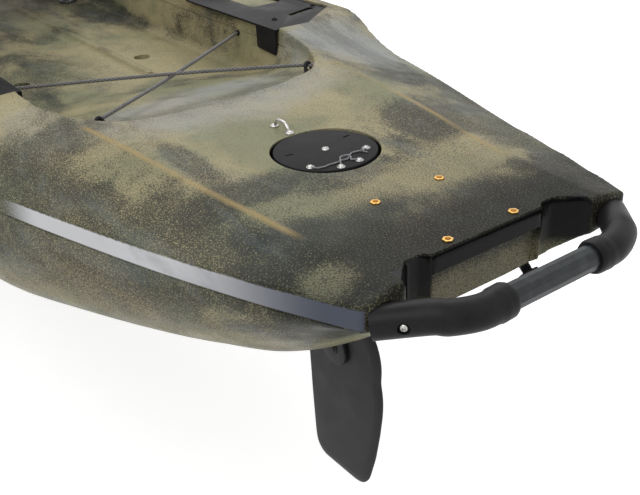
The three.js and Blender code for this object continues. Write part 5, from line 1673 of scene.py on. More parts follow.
    def build(self) -> Item:
        """Makes the skin and dresses it.

        Returns:
            The piece.
        """
        skin = lofted("hull_skin", FORM.rings(150))
        carved(skin, [self.oval(BOW_OPENING, 0.385, 0.4454, (0.032, 0.032))], "UNION")
        carved(skin, [well.tool("well", 0.6) for well in self.wells()])
        carved(skin, [*self.additions(), self.rib()], "UNION")
        carved(skin, [block("slot", (0.370, -0.046, -0.04), (0.740, 0.046, 0.3), 0.004),
                      self.oval(BOW_OPENING, 0.14, 0.5), self.oval(FLOOR_OPENING, 0.03, 0.2),
                      self.oval(BOW_OPENING, 0.14, 0.3862, (0.064, 0.020)),
                      self.oval(FLOOR_OPENING, 0.03, 0.1114, (0.032, 0.010)), self.notch(Side.PORT),
                      self.notch(Side.STARBOARD), self.disc(RUDDER_X, 0, -0.04, 0.11, 0.250)])
        grid = skin.modifiers.new("even skin", "REMESH")
        grid.mode, grid.voxel_size, grid.adaptivity = "VOXEL", self.voxel, 0.0
        baked(skin)
        relaxed(skin, 4)
        thin = skin.modifiers.new("fewer faces", "DECIMATE")
        thin.ratio = min(1.0, self.faces / max(1, len(skin.data.polygons) * 2))
        baked(skin)
        carved(skin, self.cuts())
        sharpened(skin, 0.75)
        skin.name = "hull_skin"
        dressed(skin, wardrobe(CAMO))
        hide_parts("hull")
        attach(skin, "boat")
        return skin

    def band_foot(self, x: float, s: int) -> Place:
        """A place along the foot of the glossy band under the sheer.

        Args:
            x: X of the place.
            s: One or minus one, for the side.

        Returns:
            The place.
        """
        u = FORM.share(x)
        return (x, s * (float(FORM.sheer_half(u)) * FORM.beam / 2 + 0.0002),
                FORM.depth * (1 + float(FORM.sheer_rise(u))) - FORM.band - 0.001)

    def cuts(self) -> list[Item]:
        """Crisp holes that machining leaves in the moulded skin.

        Returns:
            The cutting tools.
        """
        tools = [self.disc(RUDDER_X, 0, 0.2824, 0.33, 0.149, 96), self.disc(RUDDER_X, 0, 0.05, 0.29, 0.027)]
        for side in Side:
            s = side.value
            tools.append(tube("socket", elbow_route(side, 0.0004), 0.0191, 32))
            tools.append(self.disc(STEER_X, s * STEER_Y, 0.25, 0.36, 0.0148))
            for x, y in ((-0.760, 0.130), (0.250, 0.190)):
                tools.append(self.disc(x, s * y, -0.04, 0.29, 0.034))
            for x in INSERT_ROWS:
                tools.append(self.disc(RUDDER_X + x, s * INSERT_Y, 0.288, 0.33, 0.0096, 24))
            seat = [[(x, y * s, z) for x, y in bracket_plan()] for z in (0.3187, 0.40)]
            tools.append(lofted("seat", np.array(seat)))
            tools.append(self.disc(RUDDER_X + 0.3065, s * 0.183, 0.292, 0.33, 0.0126, 32))
            foot = [self.band_foot(x, s) for x in np.linspace(FORM.stern + 0.02, 1.60, 260)]
            tools.append(tube("parting_line", np.array(foot), 0.0014, 8))
        rim = self.wells()[0].ring(outline(self.cargo_rim, RUDDER_X + self.cargo_aft,
                                           RUDDER_X + self.cargo_fore, self.cargo_half))
        route = [(x, y, DECK - 0.0065) for x, y in rim]
        tools.append(tube("rim_line", np.array([*route, route[0]]), 0.0016, 8))
        wedge = [(-1.96, 0.2755), (RUDDER_X - 0.295, 0.2755), (RUDDER_X - 0.293, 0.262),
                 (RUDDER_X - 0.283, 0.20), (-1.96, 0.20)]
        tools.append(prism("under_lip", wedge, -0.0835, 0.0835, 0, "y"))
        tools.append(rod("drain", 0.0144, 0, 0.06, DRAIN, DRAIN_AXIS))
        return tools


def elbow_route(side: Side, extra: float = 0.0) -> Array:
    """The middle line of one stern handle elbow.

    Args:
        side: Which elbow.
        extra: How much deeper it runs into the hull.

    Returns:
        Points along the elbow.
    """
    s, x, z = side.value, RUDDER_X - 0.386, DECK - 0.022
    reach = (0.094 + extra) * math.sqrt(0.5)
    slant = 0.018 * math.sqrt(0.5)
    points = [(x + reach, s * (0.117 + reach), DECK - 0.032), (x + slant * 2, s * (0.117 + slant * 2), z),
              (x + slant, s * (0.117 + slant), z), (x, s * (0.117 - 0.018), z), (x, s * 0.063, z)]
    return smooth_route(points, 40)


def bracket_plan() -> list[Row]:
    """The port well bracket's outline in plan."""
    return [(RUDDER_X + x, y) for x, y in ((0.468, 0.2415), (0.466, 0.312), (0.528, 0.402), (0.800, 0.402),
                                           (0.800, 0.2415))]


CAMO = CamouflageFinish(
    "camouflage_polyethylene", sand=(0.405, 0.352, 0.205), olive=(0.265, 0.262, 0.155),
    # The crease's colour is a painted highlight.
    charcoal=(0.022, 0.026, 0.027), pale=(0.37, 0.385, 0.385), crease_highlight_tint=(0.42, 0.31, 0.13),
    slate=(0.066, 0.080, 0.085),
    patches=(
        Patch((-1.585, 0.34, 0.22), (0.42, 0.10, 0.14), 0.8, 0.85, 1.6),
        Patch((-1.60, 0.265, 0.30), (0.15, 0.055, 0.06), 0.68, 0.85, 1.2),
        Patch((-1.45, 0.20, 0.30), (0.12, 0.06, 0.1), 0.5, 0.8),
        Patch((-1.44, 0.02, 0.30), (0.16, 0.22, 0.1), 0.12, 0.9, 1.4),
        Patch((-1.655, 0.10, 0.30), (0.10, 0.09, 0.1), 0.3, 0.85, 1.6),
        Patch((-1.57, 0.075, 0.30), (0.05, 0.045, 0.1), 0.02, 0.9, 1.0),
        Patch((-1.50, 0.165, 0.30), (0.10, 0.022, 0.1), 0.75, 0.8, 1.4),
        Patch((-1.625, 0.15, 0.30), (0.035, 0.12, 0.1), 0.85, 0.85, 1.4),
        Patch((-1.668, 0.02, 0.30), (0.025, 0.09, 0.1), 0.8, 0.75, 1.4),
        Patch((-1.595, -0.15, 0.30), (0.075, 0.06, 0.1), 0.85, 0.9, 1.6),
        Patch((-1.72, -0.09, 0.30), (0.06, 0.11, 0.1), 0.35, 0.8, 1.6),
        Patch((-1.70, -0.24, 0.30), (0.12, 0.05, 0.1), 0.75, 0.85, 1.6),
        Patch((-1.86, 0.0, 0.28), (0.085, 0.30, 0.10), 1.0, 1.0, 1.1),
        Patch((-1.79, 0.16, 0.30), (0.07, 0.11, 0.08), 1.0, 0.9, 1.4),
        Patch((-1.80, -0.22, 0.31), (0.05, 0.07, 0.06), 1.0, 0.9, 1.2),
        Patch((-1.84, 0.195, 0.31), (0.035, 0.035, 0.05), 0.3, 0.85, 1.2),
        Patch((-1.885, 0.0, 0.235), (0.06, 0.16, 0.035), 0.35, 0.95, 0.8),
        Patch((-1.30, 0.0, 0.27), (0.06, 0.20, 0.06), 0.62, 0.85, 1.2),
        Patch((-1.55, 0.30, 0.05), (0.6, 0.2, 0.14), 0.35, 0.7, 1.2),
        Patch((-0.95, -0.12, 0.20), (0.55, 0.20, 0.035), 0.1, 0.95, 0.6),
    ),
    pale_patches=(
        Patch((-1.22, -0.33, 0.32), (0.14, 0.10, 0.1), 0.9, 0.9, 1.2),
        Patch((-1.33, 0.02, 0.32), (0.10, 0.20, 0.03), 0.7, 0.8, 1.2),
        Patch((-1.235, 0.0, 0.25), (0.10, 0.24, 0.05), 0.75, 0.9, 1.0),
        Patch((-1.25, 0.27, 0.32), (0.10, 0.05, 0.05), 0.35, 0.8, 1.4),
        Patch((-1.4, 0.0, -0.02), (1.2, 0.6, 0.12), 0.55, 0.8, 0.8),
    ),
)


# The picture.


@dataclass
class Studio:
    """The camera at the photograph's angle, the floor and the soft light."""

    eye: Place = (-2.48434, 0.65367, 0.76811)
    forward: Place = (0.71709, -0.50387, -0.48155)
    roll: float = math.radians(-2.96)
    lens: float = 51.11
    floor_z: float = -0.500

    def camera(self) -> None:
        """Places the camera."""
        ahead = Vector(self.forward).normalized()
        level = ahead.cross(UP).normalized()
        upright = level.cross(ahead)
        right = level * math.cos(self.roll) + upright * math.sin(self.roll)
        upward = upright * math.cos(self.roll) - level * math.sin(self.roll)
        data = bpy.data.cameras.new("camera")
        data.lens, data.sensor_fit, data.sensor_width = self.lens, "HORIZONTAL", 36.0
        data.clip_start, data.clip_end = 0.05, 60.0
        item = bpy.data.objects.new("camera", data)
        bpy.context.scene.collection.objects.link(item)
        frame_axes = Matrix((right, upward, -ahead)).transposed().to_4x4()
        item.matrix_world = Matrix.Translation(self.eye) @ frame_axes
        bpy.context.scene.camera = item

    def seen(self, graph: Graph) -> Socket:
        """Gives one where a ray shows the background rather than lights the object.

        Args:
            graph: The material's nodes.

        Returns:
            The share's socket.
        """
        path = graph.node("ShaderNodeLightPath")
        either = graph.maths("MAXIMUM", path.outputs["Is Camera Ray"], path.outputs["Is Glossy Ray"])
        return graph.maths("MAXIMUM", either, path.outputs["Is Transmission Ray"])

    def world(self, light: float = 0.50) -> None:
        """Lights the object from a plain grey sky that shows as white.

        Args:
            light: Strength of the sky for diffuse light.
        """
        sky = bpy.data.worlds.new("studio")
        sky.use_nodes = True
        graph = Graph(sky.node_tree)
        shade = sky.node_tree.nodes["Background"]
        graph.put(shade.inputs["Color"], (1.0, 1.0, 1.0))
        graph.put(shade.inputs["Strength"], graph.plus(graph.times(self.seen(graph), 1.0 - light), light))
        bpy.context.scene.world = sky

    def floor(self) -> None:
        """Lays a pale floor that keeps the object's shadow."""
        rows = [(-9, -9), (9, -9), (9, 9), (-9, 9)]
        plane = mesh_object("studio_floor", [(x, y, self.floor_z) for x, y in rows], [(0, 1, 2, 3)])
        surface = Surface("studio_floor", 0.9)
        grain = surface.graph.noise(surface.graph.place(), 3.0, 2.0)
        surface.set("Base Color", surface.graph.mix(grain, (0.93, 0.93, 0.93), (0.95, 0.95, 0.95)))
        surface.set("Emission Color", (1.0, 1.0, 1.0))
        surface.set("Emission Strength", surface.graph.times(self.seen(surface.graph), 0.55))
        dressed(plane, surface.material)

    def lamp(self, name: str, place: Place, aim: Place, size: float, power: float) -> None:
        """Adds one soft lamp.

        Args:
            name: The lamp's name.
            place: Where it hangs.
            aim: Where it points.
            size: Its width and height.
            power: Its power in watts.
        """
        data = bpy.data.lights.new(name, "AREA")
        data.shape, data.size, data.energy = "SQUARE", size, power
        item = bpy.data.objects.new(name, data)
        bpy.context.scene.collection.objects.link(item)
        item.location = place
        item.rotation_euler = (Vector(aim) - Vector(place)).to_track_quat("-Z", "Y").to_euler()

    def build(self) -> None:
        """Sets the whole picture."""
        bpy.context.scene.view_settings.view_transform = "Standard"
        self.camera()
        self.world()
        self.floor()
        self.lamp("key_lamp", (-2.2, 2.0, 2.8), (-0.6, 0.0, 0.2), 2.2, 42.0)
        self.lamp("top_lamp", (0.8, -1.2, 3.0), (0.2, 0.0, 0.2), 2.6, 44.0)


# The sub-assemblies.


def settled(item: Item, finish: Finish, body: str, slot: str, *nodes: str) -> Item:
    """Dresses a piece, makes it ride on its body and stand for its solids.

    Args:
        item: The piece.
        finish: What it wears.
        body: The body that it moves with.
        slot: The record's material slot.
        *nodes: The solids that it stands for.

    Returns:
        The same piece.
    """
    finish.on(item)
    if nodes:
        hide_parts(*nodes)
    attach(item, body)
    return item


def crisp(item: Item, name: str, angle: float = 0.6) -> Item:
    """Names a piece and keeps its edges over an angle sharp.

    Args:
        item: The piece.
        name: The name it gets.
        angle: The least angle of a sharp edge, in radians.

    Returns:
        The same piece.
    """
    sharpened(item, angle)
    item.name = name
    return item


def cross_screw(name: str, place: Place, axis: Vector, size: float, socket: bool = False) -> Item:
    """A domed screw head on its washer, with a cross or six sided drive.

    Args:
        name: The object's name.
        place: The middle of its foot.
        axis: The way it looks.
        size: Its head's diameter.
        socket: Whether the drive is a round socket with six sides.

    Returns:
        The screw head.
    """
    r = size / 2
    profile = [(0, -0.3 * r), (r * 1.02, -0.3 * r), (r * 1.02, 0), (r, 0.1 * r), (r * 0.93, 0.3 * r),
               (r * 0.74, 0.5 * r), (r * 0.45, 0.63 * r), (0, 0.68 * r)]
    if socket:
        profile = [*profile[:-1], (r * 0.5, 0.62 * r), (r * 0.46, 0.2 * r), (0, 0.18 * r)]
    head = turned(name, profile, place, axis, 36)
    if not socket:
        turn = axis.normalized().to_track_quat("Z", "Y").to_matrix().to_4x4()
        shift = Matrix.Translation(place) @ turn
        bars = []
        for angle in (0.4, 0.4 + math.pi / 2):
            bar = block("drive", (-r * 0.55, -r * 0.11, r * 0.36), (r * 0.55, r * 0.11, r), 0)
            bar.data.transform(shift @ Matrix.Rotation(angle, 4, "Z"))
            bars.append(bar)
        carved(head, bars)
    sharpened(head, 0.6)
    return head


@dataclass
class SternHandle:
    """The grip tube, its two rubber elbows and their screws."""

    tube_radius: float = 0.015
    elbow_radius: float = 0.0185
    drop: float = 0.022
    setback: float = 0.386

    def build(self) -> list[Item]:
        """Makes the handle's pieces.

        Returns:
            The pieces.
        """
        x, z = RUDDER_X - self.setback, DECK - self.drop
        rows = mirrored([(self.tube_radius, 0.0995), (0.0125, 0.100), (0, 0.100)])
        grip = turned("grip_tube", rows, (x, 0, z), ACROSS, 12)
        sharpened(grip, 0.3)
        made = [settled(grip, Finish.TUBE, "boat", "tube", "stern_handle_tube")]
        for side in Side:
            made += self.elbow(side, x, z)
        return made

    def elbow(self, side: Side, x: float, z: float) -> list[Item]:
        """Makes one elbow with its cuff, and its screw.

        Args:
            side: Which elbow.
            x: X of the grip tube's axis.
            z: Z of the grip tube's axis.

        Returns:
            The elbow and the screw head.
        """
        s = side.value
        route = elbow_route(side)
        sizes = np.full(len(route), self.elbow_radius)
        away = np.abs(route[:, 1])
        sizes[away < 0.083] = self.elbow_radius + 0.0011
        sizes[away < 0.0655] = self.elbow_radius - 0.0004
        body = tube("elbow", route, sizes, 48)
        bore = rod("bore", 0.01515, 0, 0.05, (x, s * 0.053, z), Vector((0, s, 0)), 48)
        start, end = Vector(route[0]), Vector(route[16])
        middle = start.lerp(end, 0.55)
        out = Vector((-1, s, 0)).normalized()
        recess = turned("recess", [(0, 0), (0.0064, 0), (0.0076, 0.03), (0, 0.03)], middle + out * 0.0135,
                        out, 32)
        carved(body, [bore, recess])
        sharpened(body, 0.6)
        settled(body, Finish.RUBBER, "boat", "rubber", f"stern_handle_elbow_{side.label}")
        screw = cross_screw("screw", tuple(middle + out * 0.0142), out, 0.0100, True)
        settled(screw, Finish.STEEL, "boat", "steel", f"stern_handle_screw_{side.label}")
        body.name, screw.name = f"handle_elbow_{side.label}", f"handle_screw_{side.label}"
        return [body, screw]


@dataclass
class RudderHead:
    """The steering drum, a little proud of the deck, with its screws and its tie cord."""

    radius: float = 0.070
    top: float = 0.3020
    low: float = 0.284
    slots: tuple[Row, ...] = ((0.0170, 0.0465), (0.0175, -0.0485))
    washers: tuple[Row, ...] = ((-0.034, 0.0495), (-0.0595, 0.0195), (-0.0587, -0.0108), (-0.033, -0.0428))
    cord: tuple[Place, ...] = ((-0.035, 0.050, 0.0), (-0.0435, 0.047, 0.0), (-0.047, 0.0375, 0.0),
                               (-0.0468, 0.0265, 0.0), (-0.0474, 0.0163, 0.0), (-0.046, 0.0085, 0.0),
                               (-0.0475, 0.001, 0.0), (-0.0455, -0.0045, 0.0005), (-0.040, -0.0095, 0.0),
                               (-0.0355, -0.0173, 0.0), (-0.0366, -0.0252, 0.0), (-0.0385, -0.0321, 0.0),
                               (-0.036, -0.040, 0.0))
    tails: tuple[tuple[Place, ...], ...] = (
        ((-0.0585, 0.019, 0.0005), (-0.0535, 0.0155, 0.0), (-0.0495, 0.0125, 0.0015),
         (-0.044, 0.009, 0.0032), (-0.0415, 0.004, 0.0032),
         (-0.0425, -0.001, 0.0032), (-0.0435, -0.0045, 0.0030), (-0.047, -0.006, 0.0012),
         (-0.052, -0.003, 0.0), (-0.0565, -0.0085, 0.0005)),
        ((-0.0375, -0.030, 0.0025), (-0.0425, -0.0315, 0.0), (-0.0475, -0.0335, 0.0)),
    )

    def build(self) -> list[Item]:
        """Makes the drum, its hardware and the cord.

        Returns:
            The pieces.
        """
        r = self.radius
        rows = [(0, self.low), (r - 0.001, self.low), (r, self.low + 0.001), (r, 0.2885),
                (r - 0.003, 0.2905), (r - 0.003, 0.2925), (r, 0.2945), (r, self.top - 0.0012),
                (r - 0.0004, self.top - 0.0004), (r - 0.0014, self.top), (0, self.top)]
        drum = turned("rudder_plate", rows, (RUDDER_X, 0, 0), UP, 128)
        cuts = []
        for x, y in self.slots:
            cut = block("slot", (-0.0055, -0.0014, self.top - 0.006), (0.0055, 0.0014, self.top + 0.01), 0)
            turn = Matrix.Rotation(math.radians(97 if y < 0 else 76), 4, "Z")
            cut.data.transform(Matrix.Translation((RUDDER_X + x, y, 0)) @ turn)
            cuts.append(cut)
        carved(drum, cuts)
        sharpened(drum, 0.5)
        made = [settled(drum, Finish.PLATE, "rudder_head", "black_plastic", "rudder_drum")]
        centre = cross_screw("plate_screw_centre", (RUDDER_X, 0, self.top), UP, 0.0105)
        made.append(settled(centre, Finish.STEEL, "rudder_head", "steel", "rudder_drum_screw"))
        for index, (x, y) in enumerate(self.washers):
            place = (RUDDER_X + x, y, self.top)
            washer = turned("washer", [(0, 0), (0.0056, 0), (0.0056, 0.0008), (0, 0.001)], place, UP, 40)
            head = cross_screw("head", (place[0], place[1], place[2] + 0.001), UP, 0.0074)
            both = combined(f"plate_screw_{index + 1}", [washer, head])
            made.append(settled(both, Finish.STEEL, "rudder_head", "steel"))
        lift = self.top + 0.0014
        runs = []
        for line in (self.cord, *self.tails):
            route = smooth_route([(RUDDER_X + x, y, lift + z) for x, y, z in line], 14 * len(line))
            runs.append(tube("run", route, 0.00105, 12, True))
        knot = combined("tie_cord", runs)
        made.append(settled(knot, Finish.TIE, "rudder_head", "line", "rudder_drum_cord"))
        return made


@dataclass
class DeckFittings:
    """The four threaded inserts and the wire padeye on the stern deck."""

    def build(self) -> list[Item]:
        """Makes the inserts and the padeye."""
        return [*[self.insert(x, side.value * INSERT_Y) for x in INSERT_ROWS for side in Side], self.padeye()]

    def insert(self, x: float, y: float) -> Item:
        """A brass insert with a toothed flange and a threaded bore.

        Args:
            x: X from the rudder's axis.
            y: Y of its axis.

        Returns:
            The insert.
        """
        top = DECK + 0.0019
        outline = []
        for angle in turns(72):
            reach = 0.0060 + 0.0004 * math.cos(6 * angle)
            outline.append((RUDDER_X + x + reach * math.cos(angle), y + reach * math.sin(angle)))
        flange = prism("flange", outline, DECK + 0.0002, top, 0.0004)
        rows = [(0, 0), (0.0028, 0),
                *[(0.0028 + (0.0003 if i % 2 else 0), 0.0008 * i) for i in range(1, 12)], (0.0036, 0.0108),
                (0.0036, 0.03), (0, 0.03)]
        bore = turned("bore", rows, (RUDDER_X + x, y, DECK - 0.0085), UP, 32)
        body = rod("body", 0.0045, 0, 0.0125, (RUDDER_X + x, y, DECK - 0.0117), UP, 32)
        carved(body, [flange], "UNION")
        carved(body, [bore])
        sharpened(body, 0.5)
        where = ("aft" if x < -0.2 else "fore") + ("_port" if y > 0 else "_starboard")
        body.name = f"insert_{where}"
        return settled(body, Finish.BRASS, "boat", "brass", f"deck_insert_{where}")

    def padeye(self) -> Item:
        """A wire arch between two riveted round feet.

        Returns:
            The piece.
        """
        low = DECK + 0.0003
        a, b = RUDDER_X + 0.083, RUDDER_X + 0.121
        parts = []
        for x in (a, b):
            rows = [(0, 0), (0.0065, 0), (0.0065, 0.0012), (0.0058, 0.0021), (0.0042, 0.0025),
                    (0.0032, 0.0034), (0, 0.0041)]
            parts.append(turned("foot", rows, (x, 0, low), UP, 40))
        middle = (a + b) / 2
        points = [(a + 0.002, 0, low + 0.0015), (a + 0.0045, 0, low + 0.007), (a + 0.0105, 0, low + 0.0118),
                  (middle, 0, low + 0.0127), (b - 0.0105, 0, low + 0.0118), (b - 0.0045, 0, low + 0.007),
                  (b - 0.002, 0, low + 0.0015)]
        parts.append(tube("arch", smooth_route(points, 48), 0.0023, 20))
        return settled(combined("wire_padeye", parts), Finish.STEEL, "boat", "steel", "deck_padeye")


@dataclass
class CargoRig:
    """The crossed shock cords, their eyes and the two well brackets."""

    radius: float = 0.003

    def build(self) -> list[Item]:
        """Makes the cords, eyes and brackets.

        Returns:
            The pieces.
        """
        made = []
        for side, over in ((Side.PORT, -1), (Side.STARBOARD, 1)):
            made += self.cord(side, over)
            made += self.bracket(side)
        return made

    def cord(self, side: Side, over: int) -> list[Item]:
        """One cord from its aft eye across the well to its fore eye.

        Args:
            side: The side of its aft end.
            over: One where it passes over the other cord, minus one under it.

        Returns:
            The cord and its two eyes.
        """
        s = side.value
        aft = np.array((RUDDER_X + 0.3035, s * 0.1855, DECK + 0.007))
        fore = np.array((RUDDER_X + 0.612, -s * 0.240, DECK - 0.012))
        middle = aft + (fore - aft) * (0.1855 / 0.4255)
        middle[2] += over * 0.0033
        start = aft + np.array((-0.006, s * 0.0018, -0.001))
        route = smooth_route([start, aft, middle, fore, fore + np.array((0.001, -s * 0.003, -0.001))], 120)
        line = tube(f"shock_cord_{side.label}_run", route, self.radius, 20, True)
        settled(line, Finish.SHOCK, "boat", "cord", f"shock_cord_{side.label}")
        x = RUDDER_X + 0.307 - 0.0093
        eye_place = (x, s * 0.187, 0.2961)
        arch = smooth_route([(x - 0.002, s * 0.1815, 0.2962), (x + 0.001, s * 0.1828, 0.3075),
                             (x + 0.002, s * 0.1875, 0.3118), (x + 0.001, s * 0.1922, 0.3075),
                             (x - 0.002, s * 0.1935, 0.2962)], 40)
        eye = combined(f"cord_eye_aft_{side.label}_arch",
                       [tube("arch", arch, 0.0032, 16),
                        turned("foot", [(0, 0), (0.0058, 0), (0.0058, 0.0022), (0.0048, 0.0030),
                                        (0, 0.0030)], eye_place, UP, 36)])
        settled(eye, Finish.BLACK, "boat", "black_plastic", f"cord_eye_aft_{side.label}")
        end = (fore[0] + 0.003, -s * 0.2424, fore[2])
        rows = [(0, 0), (0.0045, 0), (0.0056, 0.0008), (0.0058, 0.0034), (0.0052, 0.0044), (0, 0.0044)]
        knob = turned(f"cord_eye_fore_{side.label}_knob", rows, end, Vector((0, -s, 0)), 36)
        settled(knob, Finish.BLACK, "boat", "black_plastic", f"cord_eye_fore_{side.label}")
        return [line, eye, knob]

    def bracket(self, side: Side) -> list[Item]:
        """One well bracket with its slot, window, tab and screws.

        Args:
            side: Which bracket.

        Returns:
            The bracket and its screw heads.
        """
        s = side.value
        low, high = DECK + 0.019, DECK + 0.023
        corners = rounded([(x, s * y) for x, y in bracket_plan()], 0.006)
        top = prism("top", corners, low, high, 0.0009)
        tab = [(RUDDER_X + 0.468, high - 0.001), (RUDDER_X + 0.472, low - 0.045),
               (RUDDER_X + 0.534, low - 0.0405), (RUDDER_X + 0.534, high - 0.001)]
        inner, outer = sorted((s * 0.2375, s * 0.2415))
        wall = prism("tab", rounded(tab, 0.004), inner, outer, 0.0008, "y")
        rim_ends = sorted((s * 0.2375, s * 0.2435))
        rim = block("rim", (RUDDER_X + 0.468, rim_ends[0], low), (RUDDER_X + 0.800, rim_ends[1], high),
                    0.0008)
        carved(top, [wall, rim], "UNION")
        a, b = Vector((RUDDER_X + 0.536, s * 0.322)), Vector((RUDDER_X + 0.5505, s * 0.375))
        slot = prism("slot", capsule(a, b, 0.0065), low - 0.01, high + 0.01, 0)
        spots = ((0.640, 0.300), (0.752, 0.300), (0.752, 0.370), (0.640, 0.370))
        opening = rounded([(RUDDER_X + x, s * y) for x, y in spots], 0.012)
        window = prism("window", opening, low - 0.01, high + 0.01, 0)
        carved(top, [slot, window])
        bevelled(top, 0.0006, 2, 0.7)
        top.name = f"bracket_{side.label}"
        settled(top, Finish.SATIN, "boat", "black_plastic", f"well_bracket_{side.label}")
        made = [top]
        for index, (x, y) in enumerate(((0.530, 0.278), (0.562, 0.390), (0.780, 0.270), (0.780, 0.385))):
            screw = cross_screw(f"bracket_screw_{side.label}_{index + 1}", (RUDDER_X + x, s * y, high), UP,
                                0.011)
            made.append(settled(screw, Finish.SATIN, "boat", "black_plastic"))
        return made


@dataclass
class RudderBlade:
    """The stock with its fork, the pivot pin and the blade."""

    pivot_x: float = RUDDER_X - 0.018
    drop: float = 0.250
    grip: float = 0.092
    half: float = 0.0075
    shares: tuple[Row, ...] = ((0.324, -0.185), (0.32, -0.328), (0.318, -0.488), (0.311, -0.674),
                               (0.303, -0.866), (0.29, -0.955), (0.23, -1), (-0.136, -0.99), (-0.19, -0.965),
                               (-0.236, -0.904), (-0.298, -0.704), (-0.345, -0.484), (-0.371, -0.318),
                               (-0.377, -0.22), (-0.37, -0.14))

    def build(self) -> list[Item]:
        """Makes the stock, the pin and the blade."""
        return [self.stock(), self.pin(), self.blade()]

    def stock(self) -> Item:
        """The post, its crown and the two cheeks of the fork.

        Returns:
            The piece.
        """
        x, a = RUDDER_X, self.pivot_x
        rows = [(0, 0.0956), (0.0362, 0.0956), (0.0377, 0.0971), (0.0377, 0.1081), (0.0362, 0.1096),
                (0.0145, 0.1096), (0.013, 0.1111), (0.013, 0.2825), (0.012, 0.2837), (0, 0.2837)]
        body = turned("stock", rows, (x, 0, 0), UP, 64)
        cheek = [*arc((a, 0), 0.029, math.pi * 0.98, math.pi * 2.02, 40), (x + 0.0285, 0.03),
                 (x + 0.0285, 0.0962), (x - 0.0285, 0.0962), (x - 0.0285, 0.05)]
        for side in Side:
            low, high = sorted((side.value * 0.0079, side.value * 0.0159))
            carved(body, [prism("cheek", cheek, low, high, 0.0014, "y")], "UNION")
        carved(body, [rod("bore", 0.0063, -0.03, 0.03, (a, 0, 0), ACROSS, 40)])
        return settled(crisp(body, "rudder_fork"), Finish.BLACK, "rudder_head", "black_plastic",
                       "rudder_stock")

    def pin(self) -> Item:
        """The pivot bolt with a washer and a head at each end.

        Returns:
            The piece.
        """
        rows = mirrored([(0.0059, 0.0160), (0.0104, 0.0160), (0.0104, 0.0172), (0.0070, 0.0172),
                         (0.0068, 0.0188), (0.0052, 0.0200), (0, 0.0200)])
        bolt = turned("rudder_bolt", rows, (self.pivot_x, 0, 0), ACROSS, 48)
        sharpened(bolt, 0.6)
        return settled(bolt, Finish.BLADE, "rudder_head", "steel", "rudder_pivot_pin")

    def blade(self) -> Item:
        """The blade: thick in the middle and drawn in to a rounded edge.

        Returns:
            The piece.
        """
        corners = [(self.pivot_x + x * self.drop, z * self.drop) for x, z in self.shares]
        corners += arc((self.pivot_x, 0), self.grip, math.radians(195), math.radians(10), 19)
        ring = eased(corners, 200, 5)
        middle = ring.mean(axis=0)
        rings = []
        for across, share in ((-1, 0.88), (-0.94, 0.905), (-0.72, 0.945), (-0.4, 0.98), (-0.14, 0.995),
                              (0.14, 0.995), (0.4, 0.98), (0.72, 0.945), (0.94, 0.905), (1, 0.88)):
            level = middle + (ring - middle) * share * 0.992
            level[:, 1] = across * self.half
            rings.append(level)
        blade = lofted("rudder_blade_body", np.array(rings))
        carved(blade, [rod("bore", 0.0063, -0.03, 0.03, (self.pivot_x, 0, 0), ACROSS, 40)])
        sharpened(blade, 0.5)
        return settled(blade, Finish.BLADE, "blade", "blade", "rudder_blade")


